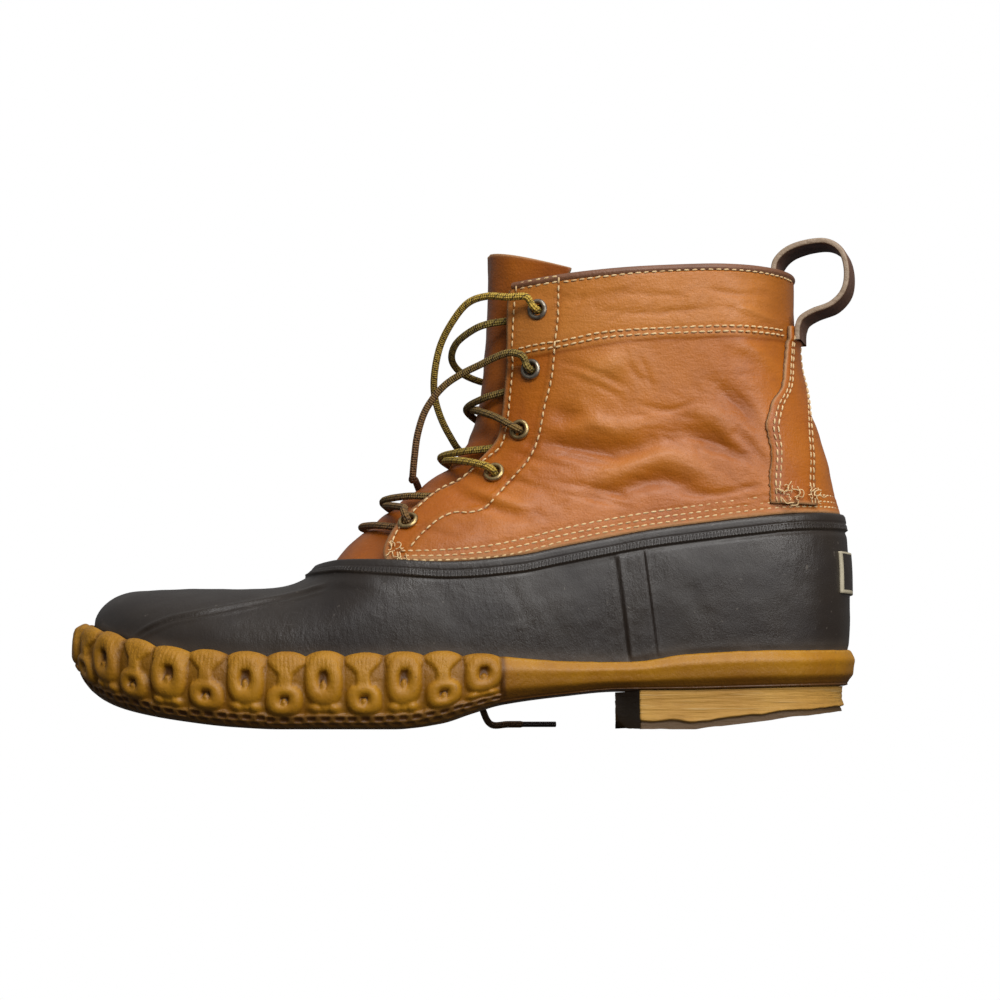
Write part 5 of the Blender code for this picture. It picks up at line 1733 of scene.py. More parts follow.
@dataclass
class ChainSole:
    """The cup sole: chain relief round the forefoot, plain rim behind, tread below."""

    tools: Builder
    step: float = 0.00055
    pairs: int = 13
    rib_end: float = 0.172
    rows: int = 64

    @staticmethod
    def link(x: Array, y: Array, wide: float, tall: float, bar: float) -> Array:
        """Height of a round bar bent into an upright link, 1 on its crest.

        Args:
            x: millimetres across.
            y: millimetres up.
            wide: half width.
            tall: half height.
            bar: radius of the bar.

        Returns:
            The height.
        """
        ring = (np.abs(x / wide) ** 2.5 + np.abs(y / tall) ** 2.5) ** (1 / 2.5)
        off = np.abs(ring - 1.0) * min(wide, tall)
        return np.sqrt(np.clip(1.0 - (off / bar) ** 2, 0.0, 1.0))

    @staticmethod
    def pad(x: Array, y: Array, wide: float, tall: float) -> Array:
        """Height of a flat pad with rounded shoulders, 1 on its top."""
        return np.clip(1.0 - np.abs(x / wide) ** 4 - np.abs(y / tall) ** 6, 0.0, 1.0) ** 0.5

    def chain(self, arc: Array, height: Array, pitch: float) -> tuple[Array, Array, Array]:
        """Relief of the moulded chain.

        Args:
            arc: distance along the side in metres.
            height: share of the side's height, 0 below and 1 on top.
            pitch: width of a column in metres.

        Returns:
            The rise in metres, the mask of its grooves and that of the tread below, which the build
            darkens with painted shade.
        """
        column = np.floor(arc / pitch)
        rng = np.random.default_rng(13)
        lean, lift, stretch = rng.uniform(-1, 1, (3, 64))
        pick = np.mod(column, 64).astype(int)
        y = 27.0 * height
        x = (arc / pitch - column - 0.5) * pitch * 1000
        lean_more = 1.0 + 2.0 * np.clip(1.0 - column / 5.0, 0, 1)
        x = x + 0.045 * lean[pick] * lean_more * (y - 14.0)
        y = y + 0.7 * lift[pick]
        x = x * (1.0 + 0.05 * stretch[pick])
        even = np.mod(column, 2) < 0.5
        edge = np.clip(1.0 - (np.abs(x) / 7.9) ** 2.4, 0.0, 1.0) ** 0.6
        high = np.maximum.reduce([
            1.00 * self.link(x, y - 18.2, 4.4, 6.3, 2.5),
            0.62 * self.pad(x, y - 26.0, 7.6, 4.0),
            0.50 * self.pad(x, y - 9.2, 1.9, 3.0),
            0.78 * np.exp(-((((np.abs(x) - 3.3) / 2.3) ** 2 + ((y - 7.6) / 1.9) ** 2) ** 1.5)),
        ])
        fan = 2.6 + 4.6 * smooth((y - 19.5) / 6.0)
        low = np.maximum.reduce([
            0.98 * self.link(x, y - 10.9, 4.2, 3.7, 2.3),
            0.72 * self.pad(x, y - 18.5, 2.7, 6.5),
            0.70 * np.clip(1.0 - np.abs(x / fan) ** 4, 0, 1) ** 0.5 * smooth((y - 19.0) / 2.5),
        ])
        form = np.where(even, high, low)
        hole_y, hole_tall = np.where(even, 18.4, 10.9), np.where(even, 3.3, 1.6)
        hole = self.pad(x, (y - hole_y) / hole_tall, 1.75, 1.0)
        knob_y = hole_y - np.where(even, 2.1, 0.9)
        knob = np.clip(1.0 - (x / 1.35) ** 2 - ((y - knob_y) / 1.5) ** 2, 0.0, 1.0) ** 0.5
        wrinkle = np.sin(x * 4.1 + 1.7 * np.sin(0.5 * y + column) + 5 * lift[pick])
        folds = smooth((y - 19.0) / 5.0) * edge
        rise = 0.7 * edge + 2.5 * form + 0.20 * wrinkle * folds - 1.7
        rise = np.where(hole > 0.02, np.minimum(rise, 1.2 - 2.6 * hole), rise)
        rise = np.maximum(rise, np.where(knob > 0, -1.2 + 2.0 * knob, -9.0))
        brick_row = np.floor(y / 2.5)
        brick = np.mod(x / 5.2 + 0.5 * np.mod(brick_row, 2), 1.0) - 0.5
        inside = self.pad(brick, y / 2.5 - brick_row - 0.5, 0.34, 0.36)
        tread = smooth((6.2 - y) / 1.6)
        rise = rise * (1.0 - tread) + (0.2 - 0.9 * inside) * tread
        groove = np.clip(0.62 - 0.9 * form - 0.25 * edge + 0.12 * wrinkle * folds, 0, 1)
        groove = np.maximum(groove, hole) * (1.0 - 0.9 * np.clip(knob * 1.6, 0, 1))
        groove = np.maximum(groove * (1.0 - tread), inside * tread)
        return rise * 0.001, groove, tread

    def build(self) -> list[bpy.types.Object]:
        """Builds the side wall, the underside and the seat of the sole."""
        last, finish = self.tools.last, self.tools.finish
        traces = [Outline.trace(last, side, self.step) for side in (-1, 1)]
        profile = catmull(
            [
                (-0.0080, 0.00, 0), (-0.0050, 0.03, 0), (-0.0026, 0.11, 0), (-0.0007, 0.25, 0),
                (0.0003, 0.45, 0), (0.0004, 0.74, 0), (-0.0012, 0.95, 0), (-0.0034, 1.02, 0),
                (-0.0056, 0.985, 0),
            ],
            12,
        )
        t = np.linspace(0, len(profile) - 1, self.rows)
        shift = np.interp(t, np.arange(len(profile)), profile[:, 0])
        height = np.interp(t, np.arange(len(profile)), profile[:, 1])
        walls, attrs = [], {"groove": [], "under": [], "crest": [], "speck": []}
        for trace in traces:
            p, n = trace.places, trace.outward
            s = p[:, 0]
            rib_arc = float(np.interp(self.rib_end, s, trace.arc))
            pitch = rib_arc / self.pairs
            width = last.foot("rim_width", s)[None, :]
            scale = np.clip(width / RIM_WIDTH, 0.45, 1)
            out = width + np.maximum(shift[:, None] * scale, -0.8 * width - 0.002)
            arc = np.repeat(trace.arc[None], self.rows, 0)
            h = np.repeat(height[:, None], len(s), 1)
            ribbed = smooth((rib_arc - arc) / 0.0012)
            rise, groove, tread = self.chain(arc, np.clip(h, 0, 1), pitch)
            side_zone = smooth((h - 0.02) / 0.06)
            level = smooth((1.005 - h) / 0.08)
            rise = rise * ribbed * side_zone * mix(0.55, 1.0, level)
            q0 = p[None] + n[None] * out[..., None]
            wobble = 0.00022 * cloud(q0, 0.010, 3, 21) + 0.0001 * cloud(q0, 0.0028, 2, 22)
            plain = (1.0 - ribbed) * side_zone
            swell = 0.0005 * bell((h - 0.74) / 0.14) - 0.0009 * smooth((0.34 - h) / 0.2)
            q = p[None] + n[None] * (out + rise + wobble + plain * swell)[..., None]
            bottom = last.foot("bottom", q0[..., 0])
            top = last.foot("rim", s)[None]
            z = mix(bottom, top, h)
            column = arc / pitch - np.floor(arc / pitch) - 0.5
            scallop = np.clip(1 - (2 * np.abs(column)) ** 2.2, 0, 1)
            jumps = np.random.default_rng(17).uniform(-1, 1, 64)
            jump = jumps[np.mod(np.floor(arc / pitch), 64).astype(int)]
            crown = 0.0019 * (scallop - 0.25) + 0.0006 * jump * scallop
            z = z + crown * ribbed * smooth((h - 0.80) / 0.16)
            z = z + 0.0002 * cloud(q0, 0.006, 2, 23) * smooth((h - 0.9) / 0.1)
            q[..., 2] = z
            walls.append(q)
            # groove: painted shade in the chain's hollows, a dark line where the chain ends, and
            # painted shade toward the foot of the plain rim (low, soft)
            dark = groove * ribbed * smooth((h - 0.02) / 0.08)
            seam = bell((arc - rib_arc) / 0.0011) * 0.8
            low = smooth((0.40 - h) / 0.26) * (1 - ribbed)
            soft = smooth((0.80 - h) / 0.5) * (1 - ribbed)
            attrs["groove"].append(np.clip(dark + seam + low * 0.45 + soft * 0.38, 0, 1))
            # shade: painted shade on the tread curling under and at the plain rim's foot
            shade = tread * ribbed * 0.85 + smooth((0.16 - h) / 0.12) * low
            attrs["under"].append(np.clip(shade, 0, 1))
            # glint and crest: painted highlight on the plain rim's top edge and on the chain's
            # raised links
            glint = bell((h - 0.985) / 0.03) * (0.5 + 0.5 * cloud(q0, 0.0016, 1, 31))
            crest = (1 - dark * 1.6) * 0.35 * ribbed + glint * (1 - ribbed)
            attrs["crest"].append(np.clip(crest, 0, 1))
            attrs["speck"].append(np.clip(ribbed * smooth((h - 0.5) / 0.3) + glint, 0, 1.5))
        wall = np.concatenate([walls[0], walls[1][:, -2:0:-1]], axis=1)
        attributes = {
            key: np.concatenate([value[0], value[1][:, -2:0:-1]], axis=1)
            for key, value in attrs.items()
        }
        side = self.tools.kit.sheet("sole_wall", wall, None, True, [finish.gum], attributes)
        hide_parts("outsole")
        return [side, self.underside(traces), self.seat(traces)]

    @staticmethod
    def across(near: Array, far: Array, columns: int) -> Array:
        """A grid across the sole between its two edges.

        Args:
            near: places on one edge.
            far: places on the other.
            columns: places in a row.

        Returns:
            The grid.
        """
        t = np.linspace(0, 1, columns)
        return near[:, None] * (1 - t)[None, :, None] + far[:, None] * t[None, :, None]

    def underside(self, traces: list[Outline]) -> bpy.types.Object:
        """The tread under the forefoot and the plain shank.

        Args:
            traces: the outline of each side.

        Returns:
            The tread.
        """
        last, finish = self.tools.last, self.tools.finish
        count = 260
        edges = []
        for trace in traces:
            s, n = trace.places[:, 0], trace.outward
            width = last.foot("rim_width", s)
            inset = np.maximum(-0.0080 * np.clip(width / RIM_WIDTH, 0.45, 1), -0.8 * width - 0.002)
            q = trace.places + n * (width + inset)[:, None]
            at = np.linspace(0, 1, count)
            share = np.linspace(0, 1, len(q))
            edges.append(resample(at, share, q))
        grid = self.across(edges[0], edges[1], 90)
        s, y = grid[..., 0], grid[..., 1]
        z = last.foot("bottom", s)
        cell_x, cell_y = 0.0092, 0.0078
        row = np.floor(s / cell_x)
        u = s / cell_x - row - 0.5
        v = np.mod(y / cell_y + 0.5 * np.mod(row, 2), 1.0) - 0.5
        inside = self.pad(u, v, 0.34, 0.36)
        edge = np.minimum(1, 12 * np.minimum(np.linspace(0, 1, 90), 1 - np.linspace(0, 1, 90)))
        fore = smooth((0.165 - s) / 0.006) * smooth((s - 0.012) / 0.006) * edge[None, :]
        grid[..., 2] = z + 0.0011 * inside * fore
        # under: painted shade over the whole underside, deeper in the tread pits; groove: painted
        # shade in the pits
        attributes = {"groove": inside * fore, "under": np.clip(0.45 + 0.5 * inside * fore, 0, 1)}
        attributes["crest"] = attributes["speck"] = np.zeros_like(s)
        obj = self.tools.kit.sheet(
            "sole_tread", grid[:, ::-1], None, False, [finish.gum], attributes
        )
        return obj

    def seat(self, traces: list[Outline]) -> bpy.types.Object:
        """The inside of the cup that the footbed lies on.

        Args:
            traces: the outline of each side.

        Returns:
            The seat.
        """
        last, finish = self.tools.last, self.tools.finish
        edges = []
        for trace in traces:
            q = trace.places[::6] - trace.outward[::6] * 0.0005
            q[:, 2] = last.bed(q[:, 0])
            edges.append(q)
        count = min(len(edges[0]), len(edges[1]))
        at = np.linspace(0, 1, count)
        edges = [
            np.stack([np.interp(at, np.linspace(0, 1, len(e)), e[:, k]) for k in range(3)], axis=-1)
            for e in edges
        ]
        grid = self.across(edges[0], edges[1], 12)
        grid[..., 2] = last.bed(grid[..., 0])
        zero = np.zeros(grid.shape[:2])
        attributes = {key: zero for key in ("groove", "under", "crest", "speck")}
        obj = self.tools.kit.sheet("sole_seat", grid, None, False, [finish.gum], attributes)
        return obj


@dataclass
class HeelBlock:
    """The worn heel lift."""

    tools: Builder
    front: float = 0.2255
    skew: float = 0.006

    def build(self) -> bpy.types.Object:
        """Builds the block with its tread."""
        last, finish = self.tools.last, self.tools.finish
        runs = []
        for side in (-1, 1):
            trace = Outline.trace(last, side, 0.0011)
            start = self.front - (self.skew if side > 0 else 0.0)
            keep = trace.places[:, 0] > start
            places, outward = trace.places[keep], trace.outward[keep]
            first = places[0].copy()
            first[0] = start
            places = np.concatenate([first[None], places])
            runs.append((places, np.concatenate([outward[:1], outward])))
        places = np.concatenate([runs[0][0], runs[1][0][-2::-1]])
        outward = np.concatenate([runs[0][1], runs[1][1][-2::-1]])
        breast = 60
        width = last.foot("rim_width", places[:, 0]) - 0.0042
        rows = 44
        grid, shade = [], []
        for k in range(rows):
            h = k / (rows - 1)
            wavy = 0.26 + 0.10 * cloud(places * [1, 1, 0], 0.014, 3, 43)
            tread = smooth((wavy - h) / 0.05)
            flare = -0.0008 * math.sin(math.pi * h) + 0.0012 * (1 - h) - 0.0016 * tread
            q = places + outward * (width + flare)[:, None]
            low = places[:, 0] < self.front + 0.0005
            q[low, 0] = places[low, 0]
            t = np.linspace(0, 1, breast)[1:-1, None]
            front = q[-1] * (1 - t) + q[0] * t
            front[:, 0] += 0.0025 * np.sin(math.pi * t[:, 0]) + 0.004 * (1 - h) ** 5
            q = np.concatenate([q, front])
            # painted shade on the inset lower band and, at 0.75, on the heel's breast
            shade.append(np.concatenate([tread, np.full(len(front), 0.75)]))
            bottom = 0.0078 * np.maximum(0, (q[:, 0] - 0.2470) / (LENGTH - 0.2470))
            ragged = 0.0006 * cloud(q * [1, 1, 0], 0.012, 3, 41) * (1 - h) ** 3
            q[:, 2] = mix(bottom + np.maximum(0, ragged), last.foot("bottom", q[:, 0]) - 0.0002, h)
            grid.append(q)
        grid = np.array(grid)
        out = grid - grid.mean(axis=1, keepdims=True)
        out[..., 2] = 0
        out /= np.linalg.norm(out, axis=-1, keepdims=True)
        scratch = cloud(grid * [0.6, 0.6, 6.0], 0.006, 3, 42)
        grid = grid + out * (0.00025 * scratch)[..., None]
        grid[0, :, 2] = np.maximum(grid[0, :, 2], 0.0)
        lines = np.clip(np.array(shade), 0, 1)
        cols = grid.shape[1]
        kit = self.tools.kit
        faces = kit.quads(rows, cols, True, 0, False).tolist()
        floor = grid[0] * 1.0
        middle = floor.mean(axis=0)
        rings = [floor]
        under = [np.zeros(cols)]
        for share in (0.92, 0.75, 0.5, 0.25):
            ring = middle + (floor - middle) * share
            ring[:, 2] = 0.0078 * np.maximum(0, (ring[:, 0] - 0.2470) / (LENGTH - 0.2470)) + 0.0004
            rings.append(ring)
            under.append(np.ones(cols))
        start = rows * cols
        verts = np.concatenate([grid.reshape(-1, 3)] + rings)
        for k in range(len(rings) - 1):
            faces += kit.quads(2, cols, True, start + k * cols, True).tolist()
        faces.append(list(range(start + (len(rings) - 1) * cols, start + len(rings) * cols))[::-1])
        # under: painted shade on the lower band, the breast and the bottom face
        mask = np.concatenate([lines.ravel()] + under)
        obj = kit.object("heel_lift", verts, faces, [finish.heel], {"under": mask})
        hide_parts("heel_block")
        return obj


@dataclass
class LeatherUpper:
    """The leather quarters and shaft with creases, cuff and eyestay facings."""

    tools: Builder
    rows: int = 112
    columns: int = 176
    seam_depth: float = 0.28  # millimetres

    def grid(self) -> tuple[Array, Array, Array, Array]:
        """Stations, heights, sides and rows of the leather."""
        last = self.tools.last
        v = np.linspace(0, 1, self.rows)
        s_edge, z_edge = last.edge_point(v)
        z_back = mix(float(last.lip(LENGTH)) + GAP, float(last.collar(LENGTH)) - BINDING, v)
        s_back = last.back(z_back)
        t = np.linspace(0, 1, self.columns)
        share = 0.45 * t + 0.55 * np.sin(0.5 * math.pi * t)
        s = s_edge[:, None] + (s_back - s_edge)[:, None] * share[None]
        top = last.collar(s_edge) - BINDING
        rise_front = np.minimum(1.0, (z_edge - last.lip(s_edge)) / (top - last.lip(s_edge)))
        turn = smooth((s - s_edge[:, None]) / (s_back - s_edge)[:, None])
        rise = mix(rise_front[:, None], v[:, None], turn)
        z = mix(last.lip(s) + GAP, last.collar(s) - BINDING, rise)
        z[:, -1] = z_back
        s = np.concatenate([s, s[:, -2::-1]], axis=1)
        z = np.concatenate([z, z[:, -2::-1]], axis=1)
        side = np.where(np.arange(s.shape[1]) < self.columns, -1.0, 1.0)[None] * np.ones_like(s)
        return s, z, side, v[:, None] * np.ones_like(s)

    def relief(self, s: Array, z: Array, side: Array, base: Array) -> tuple[Array, Array]:
        """Rise of the leather off its plain outside, and the depth of its creases.

        Args:
            s: stations.
            z: heights.
            side: -1 or 1.
            base: places on the last.

        Returns:
            Rise in metres, and depth.
        """
        mm_s, mm_z = s * 1000, z * 1000
        out, crease = np.zeros_like(s), np.zeros_like(s)
        # crease grows in fold troughs and along the sunk seam rows and falls below 0 on raised
        # folds; build paints it as shade and highlight
        strength = np.where(side < 0, 1.0, 0.75)
        for rise, width, places in CREASES:
            low_s = min(p[0] for p in places) - 3 * width
            high_s = max(p[0] for p in places) + 3 * width
            pick = (mm_s > low_s) & (mm_s < high_s)
            gap, share, _ = Line(places).near(mm_s[pick], mm_z[pick])
            bend = bell(gap / (0.55 * width)) * np.sin(math.pi * np.clip(share, 0.03, 0.97)) ** 0.5
            out[pick] += 0.001 * rise * bend * strength[pick]
            crease[pick] += -0.5 * rise * bend * strength[pick]
        rng = np.random.default_rng(7)
        for _ in range(130):
            zone = rng.random()
            if zone < 0.55:
                middle = np.array([rng.uniform(182, 278), rng.uniform(90, 140)])
                angle = rng.normal(-0.35, 0.35)
            elif zone < 0.8:
                middle = np.array([rng.uniform(182, 284), rng.uniform(159, 175)])
                angle = rng.normal(0.5, 0.5)
            else:
                middle = np.array([rng.uniform(150, 200), rng.uniform(78, 110)])
                angle = rng.normal(-0.5, 0.3)
            reach = rng.uniform(3.0, 9.0)
            step = np.array([math.cos(angle), math.sin(angle)]) * reach
            bow = np.array([-step[1], step[0]]) * rng.uniform(-0.2, 0.2)
            pick = (np.abs(mm_s - middle[0]) < reach + 4) & (np.abs(mm_z - middle[1]) < reach + 4)
            if not pick.any():
                continue
            fold = Line((middle - step, middle + bow, middle + step))
            gap, share, _ = fold.near(mm_s[pick], mm_z[pick])
            bend = bell(gap / rng.uniform(0.6, 1.1)) * np.sin(math.pi * share)
            depth = rng.uniform(0.10, 0.28)
            out[pick] -= 0.001 * depth * bend
            crease[pick] += depth * bend
        for row in CUFF_ROWS + BOTTOM_ROWS + (EYESTAY_BACK, EYESTAY_FRONT):
            gap, _, _ = Line(row).near(mm_s, mm_z)
            out -= 0.001 * self.seam_depth * bell(gap / 0.75)
            crease += 0.25 * bell(gap / 0.9)
        out += 0.0009 * cloud(base, 0.045, 3, 51) * smooth((mm_z - 78) / 12)
        out += 0.00018 * cloud(base, 0.007, 3, 52)
        return out, crease

    def build(self) -> bpy.types.Object:
        """Builds the leather shell."""
        last, finish = self.tools.last, self.tools.finish
        s, z, side, v = self.grid()
        base = last.point(s, z, side)
        normal = last.normal(base)
        mm_s, mm_z = s * 1000, z * 1000
        out, crease = self.relief(s, z, side, base)
        rim_v = np.minimum(v, 1 - v)
        cols = np.arange(s.shape[1])
        rim_u = np.minimum(cols, cols[::-1])[None] * np.ones_like(s)
        calm = smooth(rim_v / 0.03) * smooth(rim_u / 4)
        out = out * mix(0.35, 1.0, calm)
        cuff = np.interp(mm_s, [p[0] for p in CUFF_LINE], [p[1] for p in CUFF_LINE])
        above = smooth((mm_z - cuff + 0.35) / 0.7)
        out = out + CUFF_STEP * above
        gap, _, front = Line(EYESTAY_BACK).near(mm_s, mm_z)
        facing = smooth((front * gap + 2.2) / 0.8)
        out = out + 0.00045 * facing * (1 - above)
        outer = base + normal * (out - LEATHER_INSET)[..., None]
        behind = 0.6 * np.minimum(out, CUFF_STEP * 0.3) - LEATHER_INSET - LEATHER_WALL
        inner = base + normal * behind[..., None]
        hole = np.zeros_like(s, dtype=bool)
        for frame in EyeletSet(self.tools).frames():
            hole |= np.linalg.norm(base - frame.point, axis=-1) < 0.0029
        keep = ~(hole[:-1, :-1] & hole[1:, 1:] & hole[1:, :-1] & hole[:-1, 1:])
        big = cloud(base, 0.05, 3, 61)
        # pale: lighter cuff panel and facing, painted highlight on raised folds, random tone and a
        # broad lighter patch
        pale = 0.85 * above + 0.25 * facing * (1 - above) + np.clip(-crease, 0, 1) * 0.6
        pale += 0.18 * big
        pale += 0.35 * bell((mm_s - 215) / 26, (mm_z - 140) / 15)
        # dark: painted shade in crease troughs and seam grooves, plus darker random tone and darker
        # patches
        dark = np.clip(crease, 0, 1) * 0.55 + 0.25 * np.clip(-big, 0, 1)
        dark += 0.45 * smooth((mm_s - 268) / 16) * above
        dark += 0.30 * bell((mm_s - 262) / 16, (mm_z - 118) / 24)
        # painted shadow just below the cuff panel's stepped edge
        dark += 0.5 * bell((mm_z - cuff + 0.7) / 0.7)
        # painted shade along the eyestay facing's edge
        dark += 0.3 * bell(gap / 0.5)
        fray = 0.012 + 0.006 * cloud(base, 0.004, 2, 62)
        edge = 0.9 * bell(v / fray) + 0.8 * bell(rim_u / 0.9)
        dark += 0.35 * bell((mm_s - 148) / 16, (mm_z - 76) / 12)
        attributes = {
            "pale": np.clip(pale, 0, 1),
            "dark": np.clip(dark, 0, 1),
            "edge": np.clip(edge, 0, 1),
        }
        obj = self.tools.kit.sheet(
            "leather_upper", outer, inner, False,
            [finish.leather, finish.suede, finish.raw_edge], attributes, keep=keep,
        )
        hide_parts("upper")
        return obj


@dataclass
class Tongue:
    """The tongue between the eyestays."""

    tools: Builder
    folds: tuple = (
        # height in metres, depth in millimetres
        (0.083, 0.9), (0.0905, 0.8), (0.099, 0.7), (0.1075, 0.9), (0.117, 0.6),
    )

    def build(self) -> bpy.types.Object:
        """Builds the tongue with its soft folds."""
        last, finish = self.tools.last, self.tools.finish
        rows, columns = 110, 26
        start = float(last.top(0.3163 * LENGTH)) + 0.0008
        line = last.front[last.front[:, 1] > start]
        run = np.concatenate([[0.0], np.cumsum(np.hypot(*np.diff(line[:, :2], axis=0).T))])
        full = float(np.interp(COLLAR_HEIGHT, line[:, 1], run))
        w = np.linspace(0, 1, rows)
        top = 1.075
        at = w * top * full
        s_front, z_front = np.interp(at, run, line[:, 0]), np.interp(at, run, line[:, 1])
        over = np.maximum(0, w * top - 1.0)
        s_edge, z_edge = last.edge_point(np.minimum(1.0, w * top))
        spread = 1.0 + 1.2 * smooth((w - 0.75) / 0.25)
        s_side = s_edge + 0.030 * spread * LENGTH
        z_side = np.maximum(z_edge, last.lip(s_side)) + GAP + over * COLLAR_HEIGHT * 0.25
        t = np.linspace(0, 1, columns)[None]
        s = mix(s_front[:, None], s_side[:, None], t)
        z = mix(z_front[:, None], z_side[:, None], t)
        z = np.maximum(z, last.lip(s) + 0.0014)
        s = np.concatenate([s[:, ::-1], s[:, 1:]], axis=1)
        z = np.concatenate([z[:, ::-1], z[:, 1:]], axis=1)
        side = np.where(np.arange(s.shape[1]) < columns, -1.0, 1.0)[None] * np.ones_like(s)
        share = np.concatenate([t[:, ::-1], t[:, 1:]], axis=1) * np.ones_like(s)
        base = last.point(s, z, side)
        normal = last.normal(base)
        sink = mix(0.0033, 0.0078, smooth(share * 1.4))
        out = 0.0007 * cloud(base, 0.030, 3, 71) + 0.00015 * cloud(base, 0.006, 2, 72)
        for z_fold, depth in self.folds:
            out -= 0.001 * depth * bell((z - z_fold - 0.02 * share * 0.3) / 0.0018)
        outer = base + normal * (out - sink)[..., None]
        inner = outer - normal * 0.002
        # dark: darker all over, plus painted shade toward the sides where the tongue slips under
        # the quarters and in the fold troughs
        dark = 0.35 + 0.4 * share + 0.3 * cloud(base, 0.02, 3, 74) + 60 * np.clip(-out, 0, 1)
        attributes = {
            "pale": np.clip(0.25 * cloud(base, 0.02, 3, 73) + 0.1, 0, 1),
            "dark": np.clip(dark, 0, 1),
            "edge": bell((1 - w[:, None]) / 0.006) * np.ones_like(s),
        }
        obj = self.tools.kit.sheet(
            "leather_tongue", outer, inner, False,
            [finish.leather, finish.suede, finish.raw_edge], attributes,
        )
        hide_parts("tongue")
        return obj


@dataclass
class Frame:
    """An eyelet's place, outward direction and name."""

    point: Array
    normal: Array
    side: Side
    number: int


@dataclass
class EyeletSet:
    """Ten metal eyelets."""

    tools: Builder

    def frames(self) -> list[Frame]:
        """Places of the eyelets on the leather's outside."""
        last, out = self.tools.last, []
        for side in Side:
            for number, (along, height) in enumerate(EYELETS, 1):
                p = last.point(along * LENGTH, height * COLLAR_HEIGHT, side.value)
                n = last.normal(p)
                rise = -LEATHER_INSET + (CUFF_STEP if number == 1 else 0.0004)
                out.append(Frame(p + n * rise, n, side, number))
        return out

    def build(self) -> list[bpy.types.Object]:
        """Builds one piece for each eyelet."""
        finish, pieces = self.tools.finish, []
        profile = [
            (2.40, -2.4), (2.40, 0.55), (2.62, 0.95), (2.95, 1.16), (3.35, 1.18), (3.75, 1.0),
            (4.08, 0.68), (4.22, 0.30), (4.15, 0.10), (2.85, 0.10), (2.80, -2.4),
        ]
        segments = 48
        for frame in self.frames():
            a = np.cross(frame.normal, [0.0, 0.0, 1.0])
            a /= np.linalg.norm(a)
            b = np.cross(frame.normal, a)
            angle = np.linspace(0, 2 * math.pi, segments, endpoint=False)
            verts = [
                frame.point + (a * math.cos(k) + b * math.sin(k)) * r * MM + frame.normal * h * MM
                for r, h in profile
                for k in angle
            ]
            rows = len(profile)
            faces = self.tools.kit.quads(rows, segments, True, 0, True)
            ring = np.arange(segments)
            close = np.stack([
                (rows - 1) * segments + ring, (rows - 1) * segments + (ring + 1) % segments,
                (ring + 1) % segments, ring,
            ], axis=-1)
            material = finish.nickel if frame.number < 3 else finish.brass
            name = f"eyelet_{frame.side.name.lower()}_{frame.number}"
            obj = self.tools.kit.object(
                f"metal_{name}", np.array(verts),
                np.concatenate([faces, close]).tolist(), [material],
            )
            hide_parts(name)
            pieces.append(obj)
        return pieces


